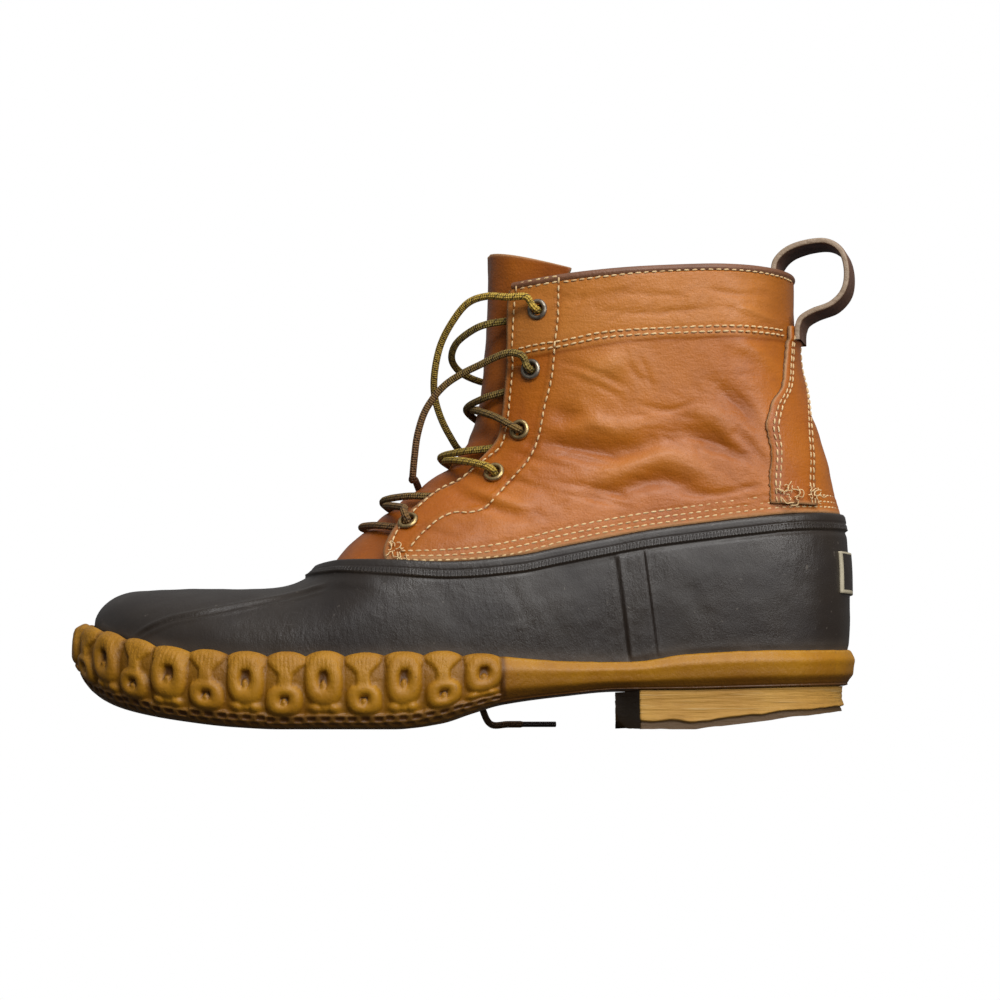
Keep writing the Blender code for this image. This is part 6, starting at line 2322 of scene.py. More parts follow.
@dataclass(frozen=True)
class StitchNodes:
    """Geometry nodes that lay one stitch on every point of a mesh."""

    radius: float
    rise: float = 0.00016
    sag: float = 0.00022
    flat: float = 0.85
    sides: int = 6
    sections: tuple = (
        # place along the stitch, share of its full thickness
        (-0.5, 0.15), (-0.42, 0.72), (-0.2, 1.0), (0.2, 1.0), (0.42, 0.72), (0.5, 0.15),
    )

    @staticmethod
    def pick(g: Graph, values: Sequence[float]) -> bpy.types.NodeSocket:
        """A number chosen by the point's index.

        Args:
            g: the graph.
            values: the numbers, one for each index.

        Returns:
            The chosen number's socket.
        """
        node = g.node("GeometryNodeIndexSwitch", data_type="FLOAT")
        for _ in values[2:]:
            node.index_switch_items.new()
        g.feed(node.inputs["Index"], g.node("GeometryNodeInputIndex").outputs[0])
        for k, value in enumerate(values):
            node.inputs[str(k)].default_value = value
        return node.outputs[0]

    def template(self, g: Graph, sizes: bpy.types.Node) -> bpy.types.NodeSocket:
        """One stitch along x, a unit long.

        Args:
            g: the graph.
            sizes: the node that gives the tree's inputs.

        Returns:
            The stitch's geometry.
        """
        along, thick = (self.pick(g, [row[k] for row in self.sections]) for k in (0, 1))
        line = g.node("GeometryNodeCurvePrimitiveLine", {"Start": (-0.5, 0, 0), "End": (0.5, 0, 0)})
        dense = g.node(
            "GeometryNodeResampleCurve",
            {"Curve": line.outputs[0], "Count": len(self.sections)},
            mode="COUNT",
        )
        place = g.node("ShaderNodeCombineXYZ", {"X": along}).outputs[0]
        core = g.node("GeometryNodeSetPosition", {"Geometry": dense.outputs[0], "Position": place})
        ring = g.node("GeometryNodeCurvePrimitiveCircle", {"Radius": 1.0})
        g.feed(ring.inputs["Resolution"], sizes.outputs["Sides"])
        skin = g.node("GeometryNodeCurveToMesh", {
            "Curve": core.outputs[0],
            "Profile Curve": ring.outputs[0],
            "Scale": g.mul(thick, sizes.outputs["Radius"]),
            "Fill Caps": True,
        })
        scale = g.node("ShaderNodeCombineXYZ", {"X": 1.0, "Y": 1.0, "Z": sizes.outputs["Flat"]})
        flat = g.node(
            "GeometryNodeTransform", {"Geometry": skin.outputs[0], "Scale": scale.outputs[0]}
        )
        spot = g.node("GeometryNodeInputPosition").outputs[0]
        x = g.node("ShaderNodeSeparateXYZ", {"Vector": spot}).outputs["X"]
        drop = g.mul(g.math("POWER", g.math("ABSOLUTE", g.mul(x, 2.0)), 4.0), sizes.outputs["Sag"])
        lift = g.math("SUBTRACT", sizes.outputs["Rise"], drop)
        offset = g.node("ShaderNodeCombineXYZ", {"Z": lift}).outputs[0]
        bent = g.node("GeometryNodeSetPosition", {"Geometry": flat.outputs[0], "Offset": offset})
        return bent.outputs[0]

    def tree(self) -> bpy.types.NodeTree:
        """The node tree, with named inputs for the stitch's sizes."""
        tree = bpy.data.node_groups.new("stitches", "GeometryNodeTree")
        for key, kind in (
            ("Geometry", "Geometry"), ("Radius", "Float"), ("Rise", "Float"), ("Sag", "Float"),
            ("Flat", "Float"), ("Sides", "Int"), ("Material", "Material"),
        ):
            tree.interface.new_socket(key, in_out="INPUT", socket_type=f"NodeSocket{kind}")
        tree.interface.new_socket("Geometry", in_out="OUTPUT", socket_type="NodeSocketGeometry")
        g = Graph(tree)
        start = g.node("NodeGroupInput")
        heading, up = (
            g.node("GeometryNodeInputNamedAttribute", {"Name": key}, data_type="FLOAT_VECTOR")
            for key in ("heading", "up")
        )
        reach = g.node("GeometryNodeInputNamedAttribute", {"Name": "reach"}, data_type="FLOAT")
        turn = g.node(
            "FunctionNodeAxesToRotation",
            {"Primary Axis": heading.outputs[0], "Secondary Axis": up.outputs[0]},
            primary_axis="X",
            secondary_axis="Z",
        )
        scale = g.node("ShaderNodeCombineXYZ", {"X": reach.outputs[0], "Y": 1.0, "Z": 1.0})
        rows = g.node("GeometryNodeInstanceOnPoints", {
            "Points": start.outputs["Geometry"],
            "Instance": self.template(g, start),
            "Rotation": turn.outputs[0],
            "Scale": scale.outputs[0],
        })
        real = g.node("GeometryNodeRealizeInstances", {"Geometry": rows.outputs[0]})
        dressed = g.node(
            "GeometryNodeSetMaterial",
            {"Geometry": real.outputs[0], "Material": start.outputs["Material"]},
        )
        g.node("NodeGroupOutput", {"Geometry": dressed.outputs[0]})
        return tree

    def run(self, points: bpy.types.Mesh, material: bpy.types.Material) -> bpy.types.Mesh:
        """Lays the stitches and turns them into a plain mesh.

        Args:
            points: a mesh of points with heading, up and reach stored on them.
            material: the thread's material.

        Returns:
            The mesh of all stitches.
        """
        holder = bpy.data.objects.new(points.name, points)
        bpy.context.collection.objects.link(holder)
        tree = self.tree()
        modifier = holder.modifiers.new("stitches", "NODES")
        modifier.node_group = tree
        sizes = {
            "Radius": self.radius, "Rise": self.rise, "Sag": self.sag, "Flat": self.flat,
            "Sides": self.sides, "Material": material,
        }
        for item in tree.interface.items_tree:
            if item.in_out == "INPUT" and item.name in sizes:
                modifier[item.identifier] = sizes[item.name]
        seen = holder.evaluated_get(bpy.context.evaluated_depsgraph_get())
        mesh = bpy.data.meshes.new_from_object(seen)
        holder.modifiers.clear()
        bpy.data.objects.remove(holder)
        bpy.data.meshes.remove(points)
        return mesh


@dataclass
class Stitching:
    """Rows of thread laid on the leather."""

    tools: Builder
    pitch: float = 0.0031
    length: float = 0.0024
    radius: float = 0.00039

    def run(self, row: Sequence, side: int, lift: Callable) -> list[tuple[Array, Array, Array]]:
        """Middles, directions and normals of the stitches of a row.

        Args:
            row: points of the row in millimetres.
            side: -1 or 1.
            lift: height of the face over the last.

        Returns:
            The stitches.
        """
        last = self.tools.last
        line = catmull([(a * MM, b * MM) for a, b in row], 8)
        base = last.point(line[:, 0], line[:, 1], side)
        normal = last.normal(base)
        base = base + normal * lift(line[:, 0], line[:, 1])[:, None]
        return self.along(base, normal)

    def along(self, base: Array, normal: Array) -> list[tuple[Array, Array, Array]]:
        """Stitches along a line of places with normals.

        Args:
            base: places.
            normal: normals there.

        Returns:
            The stitches.
        """
        gap = np.linalg.norm(np.diff(base, axis=0), axis=1)
        run = np.concatenate([[0.0], np.cumsum(gap)])
        count = max(1, int(run[-1] / self.pitch))
        out = []
        for k in range(count):
            at = np.array([k + 0.08, k + 0.5, k + 0.92]) * run[-1] / count
            p = np.stack([np.interp(at, run, base[:, i]) for i in range(3)], axis=-1)
            n = np.array([np.interp(at[1], run, normal[:, i]) for i in range(3)])
            out.append((p[1], p[2] - p[0], n / np.linalg.norm(n)))
        return out

    def mesh(self, name: str, stitches: list, slot: str = "tan_leather") -> bpy.types.Object:
        """One object of all the given stitches.

        Args:
            name: the object's name.
            stitches: middle, direction and normal of each stitch.
            slot: not used.

        Returns:
            The new object.
        """
        rng = np.random.default_rng(3)
        middles, headings, ups, lengths = [], [], [], []
        for middle, direction, normal in stitches:
            size = np.linalg.norm(direction)
            lengths.append(min(self.length, 0.82 * size / 0.84) * rng.uniform(0.9, 1.08))
            d = direction / size
            headings.append(d + np.cross(normal, d) * rng.normal(0.05, 0.06))
            middles.append(middle)
            ups.append(normal)
        points = bpy.data.meshes.new("stitch_points")
        points.from_pydata((np.array(middles) + SHIFT).tolist(), [], [])
        for key, values in (("heading", headings), ("up", ups)):
            layer = points.attributes.new(key, "FLOAT_VECTOR", "POINT")
            layer.data.foreach_set("vector", np.array(values, dtype=np.float32).ravel())
        layer = points.attributes.new("reach", "FLOAT", "POINT")
        layer.data.foreach_set("value", np.array(lengths, dtype=np.float32))
        mesh = StitchNodes(self.radius).run(points, self.tools.finish.thread)
        obj = self.tools.kit.place(name, mesh)
        return obj

    def build(self) -> list[bpy.types.Object]:
        """Builds the stitching of the shaft."""
        cuff_s = [p[0] * MM for p in CUFF_LINE]
        cuff_z = [p[1] * MM for p in CUFF_LINE]

        def lift(s: Array, z: Array) -> Array:
            """Height of the leather's face, with the cuff's step."""
            above = smooth((z - np.interp(s, cuff_s, cuff_z) + 0.00035) / 0.0007)
            return -LEATHER_INSET + CUFF_STEP * above + 0.00008

        def facing(s: Array, z: Array) -> Array:
            """The same on the eyestay's facing."""
            return lift(s, z) + 0.0003

        stitches = []
        for side in (-1, 1):
            for row in (COLLAR_ROW,) + EYESTAY_TOP + CUFF_ROWS + BOTTOM_ROWS:
                stitches += self.run(row, side, lift)
            for row in (EYESTAY_FRONT, EYESTAY_BACK):
                stitches += self.run(row, side, facing)
        return [self.mesh("upper_stitches", stitches)]


@dataclass
class LooseThreads:
    """Ends of thread that stand out at the throat and at the backstay's foot."""

    tools: Builder
    radius: float = 0.00022
    clusters: tuple = (
        # s, z, side, spread, threads
        (131.5, 68.5, -1, 3.2, 7),
        (134.0, 66.0, -1, 2.6, 5),
        (281.5, 92.0, -1, 2.8, 7),
        (293.0, 91.0, -1, 3.2, 7),
        (288.0, 90.0, -1, 4.5, 6),
    )

    def build(self) -> bpy.types.Object:
        """Builds every loose end as one mesh."""
        last, kit = self.tools.last, self.tools.kit
        rng = np.random.default_rng(29)
        verts, faces, sides = [], [], 5
        for s, z, side, spread, count in self.clusters:
            for _ in range(count):
                place = np.array([s, z]) + rng.normal(0, 0.4 * spread, 2)
                heading = rng.uniform(0, 2 * math.pi)
                points = []
                for _ in range(5):
                    points.append((place[0] * MM, place[1] * MM, rng.uniform(0.0003, 0.0011)))
                    heading += rng.normal(0, 0.9)
                    place = place + np.array([math.cos(heading), math.sin(heading)]) * 0.32 * spread
                line = catmull(points, 4)
                base = last.point(line[:, 0], line[:, 1], side)
                rise = line[:, 2] + (0.0026 if s > 200 else 0.0)
                base = base + last.normal(base) * rise[:, None]
                a, b = kit.frames(base)
                start = len(verts)
                for p, u, w in zip(base, a, b):
                    for k in range(sides):
                        angle = 2 * math.pi * k / sides
                        verts.append(p + (u * math.cos(angle) + w * math.sin(angle)) * self.radius)
                faces += kit.quads(len(base), sides, True, start).tolist()
                faces.append(list(range(start, start + sides))[::-1])
                end = start + (len(base) - 1) * sides
                faces.append(list(range(end, end + sides)))
        obj = kit.object("loose_threads", np.array(verts), faces, [self.tools.finish.thread])
        return obj


@dataclass
class Trims:
    """Collar binding, backstay, pull loop, label and footbed."""

    tools: Builder

    def binding(self) -> bpy.types.Object:
        """The rolled binding of the collar."""
        last, finish = self.tools.last, self.tools.finish
        upper = LeatherUpper(self.tools)
        s, z, side, _ = upper.grid()
        base = last.point(s[-1], z[-1], side[-1])
        normal = last.normal(base)
        normal[:, 2] = 0
        normal /= np.linalg.norm(normal, axis=1, keepdims=True)
        middle = base + normal * (-LEATHER_INSET - 0.5 * LEATHER_WALL + 0.5 * CUFF_STEP)
        wave = 0.00025 * cloud(base, 0.012, 2, 81)
        angle = np.linspace(0, 2 * math.pi, 20, endpoint=False)
        rings = []
        for k in angle:
            x = math.copysign(abs(math.cos(k)) ** 0.8, math.cos(k)) * 0.00215
            h = math.sin(k) * 0.0017 + 0.0013
            rings.append(middle + normal * (x + wave)[:, None] + np.array([0, 0, h]))
        grid = np.array(rings + rings[:1])
        pale = np.clip(0.75 + 0.35 * cloud(grid, 0.01, 3, 82), 0, 1)
        attributes = {"pale": pale, "edge": np.zeros_like(pale)}
        obj = self.tools.kit.sheet("collar_roll", grid, None, False, [finish.brown], attributes)
        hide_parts("collar_binding")
        return obj

    def backstay(self) -> list[bpy.types.Object]:
        """The strip up the back with its stitching and fuzzy edges."""
        last, finish = self.tools.last, self.tools.finish
        middle = Curve((row[0], row[1]) for row in BACKSTAY)
        half = Curve((row[0], row[2]) for row in BACKSTAY)
        heights = np.linspace(BACKSTAY[0][0], BACKSTAY[-1][0], 80)
        t = np.linspace(1, -1, 34)
        rng = np.random.default_rng(5)
        fray = rng.uniform(-1, 1, (80, 34))
        outer, inner, lines = [], [], {-0.80: [], -0.64: [], 0.64: [], 0.80: []}
        for i, height in enumerate(heights):
            z = height * COLLAR_HEIGHT
            edge = 0.00035 * fray[i] * (np.abs(t) > 0.99)
            arcs = BALL_WIDTH * (float(middle(height)) + float(half(height)) * t) + edge
            p, n = last.back_arc(z, arcs)
            cuff = CUFF_STEP * float(smooth((z - 0.1535) / 0.001))
            lift = 0.0002 + cuff - LEATHER_INSET
            roll = 0.0022 * (1 - np.abs(t) ** 10 * 0.45)
            outer.append(p + n * (lift + roll)[:, None])
            inner.append(p + n * lift)
            for share, places in lines.items():
                arc = BALL_WIDTH * (float(middle(height)) + float(half(height)) * share)
                q, m = last.back_arc(z, np.array([arc]))
                places.append((q[0] + m[0] * (lift + 0.0022), m[0]))
        outer, inner = np.array(outer), np.array(inner)
        lumps = 0.0002 * cloud(outer, 0.006, 3, 91)
        outer[..., 1] -= lumps
        share = np.abs(t)[None] * np.ones((80, 1))
        rows = np.linspace(0, 1, 80)[:, None] * np.ones((1, 34))
        attributes = {
            "pale": np.clip(0.15 + 0.3 * cloud(outer, 0.012, 3, 92), 0, 1),
            # dark: darker all over, with painted shadow in bands near the strip's edges
            "dark": np.clip(0.25 + 0.5 * bell((share - 0.72) / 0.15), 0, 1),
            "edge": np.clip(smooth((share - 0.95) / 0.05) + smooth((0.02 - rows) / 0.02), 0, 1),
        }
        strip = self.tools.kit.sheet(
            "backstay_strip", outer, inner, False,
            [finish.leather, finish.suede, finish.raw_edge], attributes,
        )
        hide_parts("backstay")
        stitching = Stitching(self.tools)
        stitches = []
        for places in lines.values():
            base = np.array([p for p, _ in places])
            normals = np.array([n for _, n in places])
            stitches += stitching.along(base, normals)
        return [strip, stitching.mesh("backstay_stitches", stitches)]

    def loop(self) -> bpy.types.Object:
        """The pull loop."""
        last, finish = self.tools.last, self.tools.finish
        top = BACKSTAY[-1]
        p, n = last.back_arc(top[0] * COLLAR_HEIGHT, np.array([top[1] * BALL_WIDTH]))
        start, outward = p[0], n[0]
        start = start + outward * (CUFF_STEP + 0.0011 + GAP)
        root = ((0.002, -0.030), (0.002, -0.012))
        path = [
            start + outward * a * COLLAR_HEIGHT + np.array([0, 0, b * COLLAR_HEIGHT])
            for a, b in root + LOOP_PATH
        ]
        line = catmull(path, 14)
        across = np.cross([0.0, 0.0, 1.0], outward)
        across /= np.linalg.norm(across)
        run = np.gradient(line, axis=0)
        run /= np.linalg.norm(run, axis=1, keepdims=True)
        up = np.cross(run, across)
        half, thick = 0.0105, 0.00125
        ring = []
        for k in range(44):
            angle = 2 * math.pi * k / 44
            c, d = math.cos(angle), math.sin(angle)
            wide = math.copysign(abs(c) ** 0.16, c) * half
            ring.append((wide, math.copysign(abs(d) ** 0.45, d) * thick))
        grid = np.array([[q + across * u + h * v for u, v in ring] for q, h in zip(line, up)])
        rng = np.random.default_rng(9)
        side = np.array([abs(u) / half for u, _ in ring])[None] * np.ones((len(line), 1))
        grid += across * (0.0003 * cloud(grid, 0.005, 2, 95))[..., None]
        edge = smooth((side - 0.93) / 0.06) * (0.75 + 0.25 * rng.random(side.shape))
        outer_face = np.array([float(v < 0) for _, v in ring])[None] * np.ones_like(side)
        attributes = {
            "edge": np.clip(edge, 0, 1),
            "pale": np.clip(0.10 + 0.25 * outer_face + 0.25 * cloud(grid, 0.008, 3, 96), 0, 1),
        }
        obj = self.tools.kit.sheet("loop_strap", grid, None, True, [finish.brown], attributes)
        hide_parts("pull_loop")
        return obj

    def label(self) -> bpy.types.Object:
        """The bare label pad on the back of the rubber."""
        last, finish = self.tools.last, self.tools.finish
        rows, cols = 24, 60
        arcs = np.linspace(0.0235, -0.0235, cols)
        outer, inner = [], []
        for z in np.linspace(0.0535, 0.0700, rows):
            p, n = last.back_arc(z, arcs)
            outer.append(p + n * 0.0016)
            inner.append(p - n * 0.0002)
        outer, inner = np.array(outer), np.array(inner)
        i, j = np.meshgrid(np.arange(rows), np.arange(cols), indexing="ij")
        rim = np.minimum(np.minimum(i, rows - 1 - i), np.minimum(j, cols - 1 - j))
        panel = (rim[:-1, :-1] >= 2).ravel()
        obj = self.tools.kit.sheet("heel_label", outer, inner, False, [finish.label, finish.label])
        obj.data.materials.append(finish.rubber)
        for key in ("hatch", "dust", "along"):
            obj.data.attributes.new(key, "FLOAT", "POINT")
        index = np.zeros(len(obj.data.polygons), dtype=np.int32)
        index[: len(panel)][panel] = 2
        obj.data.polygons.foreach_set("material_index", index)
        return obj

    def footbed(self) -> bpy.types.Object:
        """The footbed inside."""
        last, finish = self.tools.last, self.tools.finish
        edges = []
        for side in (-1, 1):
            trace = Outline.trace(last, side, 0.0022)
            q = trace.places - trace.outward * 0.0050
            at = np.linspace(0, 1, 120)
            share = np.linspace(0, 1, len(q))
            edges.append(resample(at, share, q))
        grid = ChainSole.across(edges[0], edges[1], 30)
        top = grid.copy()
        top[..., 2] = last.bed(grid[..., 0]) + 0.0033 + 0.0003 * cloud(grid, 0.02, 3, 97)
        low = grid.copy()
        low[..., 2] = last.bed(grid[..., 0]) + 0.0004
        obj = self.tools.kit.sheet("footbed_pad", top, low, False, [finish.footbed])
        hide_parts("insole")
        return obj

    def build(self) -> None:
        """Builds all trims."""
        self.binding()
        self.backstay()
        self.loop()
        self.label()
        self.footbed()


@dataclass
class Lacing:
    """The lace: strands across the tongue, a loose loop and a loose end."""

    tools: Builder
    sides: int = 18

    def over(self, frame: Frame, toward: Array, reach: float) -> list[Array]:
        """Places out of an eyelet and bent over its flange.

        Args:
            frame: the eyelet.
            toward: where the lace goes.
            reach: how far it lies along the leather.

        Returns:
            The places.
        """
        lead = toward - frame.point
        lead = lead - frame.normal * lead.dot(frame.normal)
        lead /= np.linalg.norm(lead)
        p, n = frame.point, frame.normal
        bent = [p + n * 0.0030 + lead * 0.0012, p + n * 0.0032 + lead * reach]
        return [p - n * 0.0016, p + n * 0.0016] + bent

    def beside(self, z: float, side: int, out: float) -> Array:
        """A place beside the front line.

        Args:
            z: height.
            side: -1 or 1.
            out: distance off the last.

        Returns:
            The place.
        """
        last = self.tools.last
        line = last.front[last.front[:, 1] > VAMP_HEIGHT + 0.002]
        s = float(np.interp(z, line[:, 1], line[:, 0]))
        return last.off(mix(s, last.edge_at(z), 0.36), z, side, out)

    def strand(self, over: Frame, under: Frame, lift: float) -> list[Array]:
        """Centre line from outside one eyelet to under one of the other side.

        Args:
            over: the eyelet it leaves outside.
            under: the eyelet it ends beneath.
            lift: height over the tongue.

        Returns:
            The places.
        """
        last = self.tools.last
        side = over.side.value
        z_over, z_under = over.point[2], under.point[2]
        z_mid = 0.5 * (z_over + z_under)
        z_near, z_far = mix(z_over, z_mid, 0.45), mix(z_mid, z_under, 0.5)
        rim = last.off(last.edge_at(z_near) - 0.001, z_near, side, 0.0018)
        middle = last.off_front(z_mid, lift)
        near = self.beside(mix(z_near, z_mid, 0.55), side, 0.5 * lift + 0.0006)
        far = self.beside(mix(z_mid, z_far, 0.45), -side, min(lift, 0.0) - 0.0009)
        sunk = last.off(last.edge_at(z_far) + 0.0005, z_far, -side, -0.0049)
        end = under.point + under.normal * (LEATHER_INSET - 0.0049)
        return self.over(over, rim, 0.0035) + [rim, near, middle, far, sunk, end]

    def tube(
        self,
        name: str,
        places: Sequence[Array],
        tint: Sequence[float],
        replaces: str | None,
        tip: bool = False,
        seed: int = 1,
    ) -> tuple[bpy.types.Object, Array]:
        """A braided tube along places.

        Args:
            name: the object's name.
            places: points of the route.
            tint: 0 for gold, 0.5 for olive and 1 for brown, spread along it.
            replaces: the CAD node it stands for.
            tip: whether it ends in a hard tip.
            seed: for its small bends.

        Returns:
            The object and its centre line.
        """
        line = catmull(places, 14)
        run = travel(line)
        count = int(run[-1] / 0.00045)
        at = np.linspace(0, run[-1], count)
        line = resample(at, run, line)
        a, b = MeshKit.frames(line)
        around = np.linspace(0, 1, self.sides, endpoint=False)
        theta = 2 * math.pi * around
        phase = at * 1000 * 2 * math.pi / 1.9
        weave = np.sin(phase[:, None] + theta[None] * 4) * np.sin(phase[:, None] - theta[None] * 4)
        radius = 0.5 * LACE * (0.955 + 0.045 * weave)
        hard = smooth((at - at[-1] + 0.016) / 0.001) if tip else np.zeros_like(at)
        radius = mix(radius, 0.0012, hard[:, None])
        grid = line[:, None] + (a[:, None] * np.cos(theta)[None, :, None]
                                + b[:, None] * np.sin(theta)[None, :, None]) * radius[..., None]
        colour = np.interp(np.linspace(0, 1, count), np.linspace(0, 1, len(tint)), tint)
        colour = np.clip(colour + 0.10 * cloud(line, 0.02, 2, seed), 0, 1)
        ones = np.ones((1, self.sides))
        uv = np.stack([at[:, None] * 1000 * ones, around[None] * np.ones((count, 1))], axis=-1)
        faces = MeshKit.quads(count, self.sides, True).tolist()
        faces.append(list(range(self.sides))[::-1])
        faces.append(list(range((count - 1) * self.sides, count * self.sides)))
        obj = self.tools.kit.object(
            name, grid.reshape(-1, 3), faces, [self.tools.finish.cord],
            {"tint": colour[:, None] * ones, "tip": hard[:, None] * ones},
            uv=uv.reshape(-1, 2),
        )
        if replaces:
            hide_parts(replaces)
        return obj, line

    def build(self) -> None:
        """Builds every run of the lace."""
        last = self.tools.last
        frames = {(f.side, f.number): f for f in EyeletSet(self.tools).frames()}
        near, far = Side.OUTER, Side.INNER
        tints = {54: (0.9, 0.8, 0.7), 43: (0.1, 0.2, 0.5), 32: (0.75, 0.7, 0.6)}
        for low, high in ((5, 4), (4, 3), (3, 2)):
            name = f"lace_cross_{low}{high}"
            first = self.strand(frames[near, low], frames[far, high], -0.0012)
            second = self.strand(frames[far, low], frames[near, high], 0.0014)
            self.tube(f"{name}_a", first, tints[low * 10 + high], name, seed=low)
            self.tube(f"{name}_b", second, tints[low * 10 + high], None, seed=low + 9)
        ends = [frames[side, 5] for side in (near, far)]
        z = float(ends[0].point[2]) + 0.001
        hidden = [f.point + f.normal * (LEATHER_INSET - 0.0049) for f in ends]
        inside = [last.off(last.edge_at(z), z, side, -0.0049) for side in (-1, 1)]
        beside = [self.beside(z, side, -0.0022) for side in (-1, 1)]
        half_one, half_two = zip(hidden, inside, beside)
        bar = [*half_one, last.off_front(z, -0.0012), *half_two[::-1]]
        self.tube("lace_bar_low", bar, (0.9, 0.9), "lace_bar_bottom", seed=21)
        self.top_bar(frames)
        self.loop(frames)
        self.end(frames)

    def top_bar(self, frames: dict) -> None:
        """The loose arc from the inner second eyelet to the outer first one.

        Args:
            frames: the eyelets by side and number.
        """
        last = self.tools.last
        far2, near1 = frames[Side.INNER, 2], frames[Side.OUTER, 1]
        middle = [
            (0.1745, 0.028, 0.1420), (0.1630, 0.018, 0.1432), (0.1555, 0.008, 0.1455),
            (0.1520, -0.001, 0.1495), (0.1538, -0.010, 0.1545), (0.1600, -0.018, 0.1585),
            (0.1668, -0.0225, 0.1607),
        ]
        middle = [np.array(p) for p in middle]
        start = self.over(far2, middle[0], 0.0035)
        sunk = last.off(last.edge_at(0.1625) + 0.0015, 0.1625, -1, -0.0049)
        end = near1.point + near1.normal * (LEATHER_INSET - 0.0049)
        route = start + middle + [sunk, end]
        self.tube("lace_bar_high", route, (0.1, 0.5, 0.45), "lace_bar_top", seed=31)

    def loop(self, frames: dict) -> None:
        """The long loose loop from the outer top eyelet round to the inner one.

        Args:
            frames: the eyelets by side and number.
        """
        near, far = frames[Side.OUTER, 1], frames[Side.INNER, 1]
        places = [
            (0.1815, -0.0375, 0.1692), (0.1745, -0.0350, 0.1694), (0.1665, -0.0300, 0.1706),
            (0.1590, -0.0240, 0.1690), (0.1530, -0.0170, 0.1632), (0.1478, -0.0080, 0.1550),
            (0.1452, -0.0010, 0.1455), (0.1447, 0.0060, 0.1370), (0.1466, 0.0110, 0.1290),
            (0.1505, 0.0165, 0.1210), (0.1560, 0.0225, 0.1140), (0.1640, 0.0300, 0.1150),
            (0.1720, 0.0370, 0.1260), (0.1790, 0.0405, 0.1420), (0.1840, 0.0400, 0.1560),
        ]
        places = [np.array(p) for p in places]
        ends = self.over(near, places[0], 0.0030), self.over(far, places[-1], 0.0035)
        route = ends[0] + places + ends[1][::-1]
        tint = (0.0, 0.05, 0.1, 0.45, 0.55, 0.5)
        obj, line = self.tube("lace_loop_braid", route, tint, "lace_loop", seed=41)
        self.declare(line)

    def end(self, frames: dict) -> None:
        """The loose end from the outer second eyelet over to the inner side's floor.

        Args:
            frames: the eyelets by side and number.
        """
        last = self.tools.last
        near = frames[Side.OUTER, 2]
        places = [
            (0.1800, -0.0362, 0.1462), (0.1756, -0.0345, 0.1474), (0.1705, -0.0310, 0.1464),
            (0.1635, -0.0260, 0.1437), (0.1562, -0.0215, 0.1407), (0.1500, -0.0185, 0.1370),
            (0.1452, -0.0170, 0.1320), (0.1412, -0.0160, 0.1255), (0.1386, -0.0150, 0.1170),
            (0.1374, -0.0135, 0.1085), (0.1366, -0.0105, 0.1010), (0.1362, -0.0045, 0.1000),
            (0.1372, 0.0040, 0.1005),
        ]
        route = self.over(near, np.array(places[0]), 0.0030) + [np.array(p) for p in places]
        for s, z, out in (
            (0.452, 0.505, 0.042), (0.468, 0.450, 0.040), (0.478, 0.390, 0.042),
            (0.485, 0.325, 0.046), (0.492, 0.250, 0.058), (0.500, 0.185, 0.100),
            (0.507, 0.110, 0.128), (0.517, 0.045, 0.140),
        ):
            route.append(last.off(s * LENGTH, z * COLLAR_HEIGHT, 1, out * BALL_WIDTH))
        for s, out in ((0.536, 0.640), (0.560, 0.690), (0.590, 0.740), (0.625, 0.770)):
            route.append(np.array([s * LENGTH, out * BALL_WIDTH, 0.5 * LACE + 0.0002]))
        tint = (0.5, 0.85, 1.0, 0.95, 0.9, 1.0)
        obj, line = self.tube("lace_end_braid", route, tint, "lace_end", True, 51)
        self.declare(line)

    def declare(self, line: Array) -> None:
        """Args:
            line: its centre line.
        """
        path = [tuple(float(x) for x in p + SHIFT) for p in line[:: 4]]
        path.append(tuple(float(x) for x in line[-1] + SHIFT))


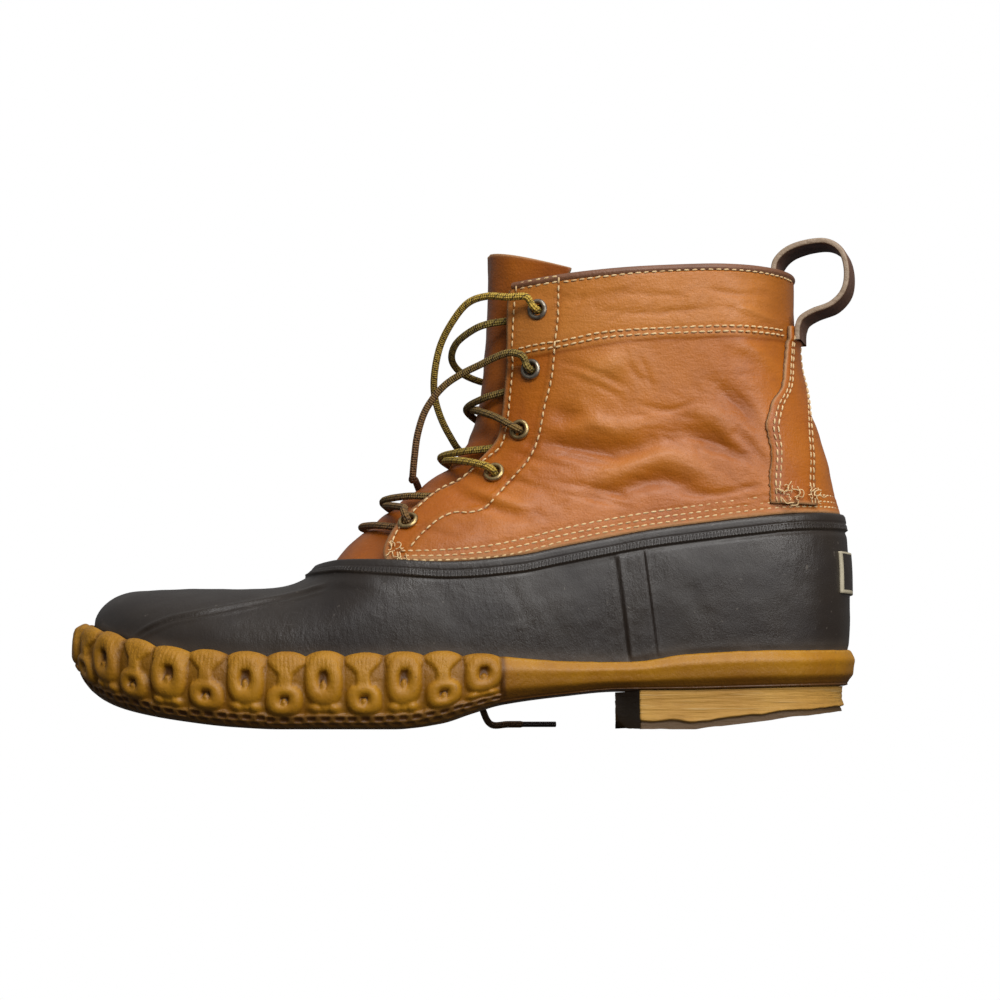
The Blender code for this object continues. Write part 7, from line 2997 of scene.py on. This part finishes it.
class Studio:
    """White surroundings, lamps and the camera."""

    def build(self) -> None:
        """Places the stage."""
        scene = bpy.context.scene
        world = bpy.data.worlds.new("studio")
        scene.world = world
        world.use_nodes = True
        tree = world.node_tree
        graph = Graph(tree)
        background = tree.nodes["Background"]
        background.inputs["Color"].default_value = (1.0, 1.0, 1.0, 1.0)
        path = graph.node("ShaderNodeLightPath").outputs["Is Camera Ray"]
        sky = graph.node("ShaderNodeTexCoord").outputs["Generated"]
        split = graph.node("ShaderNodeSeparateXYZ", {"Vector": sky})
        glow = graph.span(split.outputs["Z"], -0.25, 0.9, 0.05, 0.42)
        strength = graph.node("ShaderNodeMix", {0: path}, data_type="FLOAT")
        graph.feed(strength.inputs[2], glow)
        strength.inputs[3].default_value = 1.0
        graph.feed(background.inputs["Strength"], strength.outputs[0])
        scene.view_settings.view_transform = "Standard"
        self.lamp("key", (0.22, -1.0, 0.85), (0.05, 0.0, 0.08), 0.45, 0.30, 8.6)
        self.lamp("top", (0.20, -0.25, 1.3), (0.04, 0.0, 0.08), 0.8, 0.4, 4.2)
        self.lamp("side", (0.75, -0.75, 0.40), (0.06, 0.0, 0.06), 0.35, 0.35, 4.0)
        self.lamp("front", (0.34, -1.1, 0.22), (0.08, 0.0, 0.06), 0.22, 0.16, 2.0)
        self.camera()

    @staticmethod
    def lamp(
        name: str, place: Sequence, aim: Sequence, width: float, height: float, power: float
    ) -> None:
        """An area lamp pointed at a place.

        Args:
            name: the lamp's name.
            place: where it is.
            aim: where it points.
            width: metres.
            height: metres.
            power: watts.
        """
        data = bpy.data.lights.new(name, "AREA")
        data.shape = "RECTANGLE"
        data.size, data.size_y, data.energy = width, height, power
        obj = bpy.data.objects.new(name, data)
        obj.location = place
        obj.rotation_euler = (Vector(aim) - Vector(place)).to_track_quat("-Z", "Y").to_euler()
        bpy.context.collection.objects.link(obj)

    @staticmethod
    def camera() -> None:
        """The camera at the floor, level with the outer side."""
        data = bpy.data.cameras.new("camera")
        data.lens, data.sensor_width = 89.2, 36.0
        data.clip_start, data.clip_end = 0.05, 20.0
        obj = bpy.data.objects.new("camera", data)
        obj.location = (0.1716 + SHIFT[0], -1.0, 0.004)
        obj.rotation_euler = (math.radians(90.0 + 5.05), 0.0, 0.0)
        bpy.context.collection.objects.link(obj)
        bpy.context.scene.camera = obj


def write_size() -> None:
    """Brings the view layer up to date."""
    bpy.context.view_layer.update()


def main() -> None:
    """Builds the whole scene."""
    logging.basicConfig(level=logging.INFO)
    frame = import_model()
    write_size()
    body = next(iter(frame["bodies"]))
    last = Last()
    tools = Builder(last, MeshKit(body), Finishes())
    for maker in (
        RubberBottom, ChainSole, HeelBlock, LeatherUpper, Tongue,
        EyeletSet, Stitching, LooseThreads, Trims, Lacing,
    ):
        before = set(bpy.data.objects)
        maker(tools).build()
        for piece in sorted(set(bpy.data.objects) - before, key=lambda obj: obj.name):
            LOG.info("%s: %d faces", piece.name, len(piece.data.polygons))
    Studio().build()
    write_size()


if __name__ == "__main__":
    main()
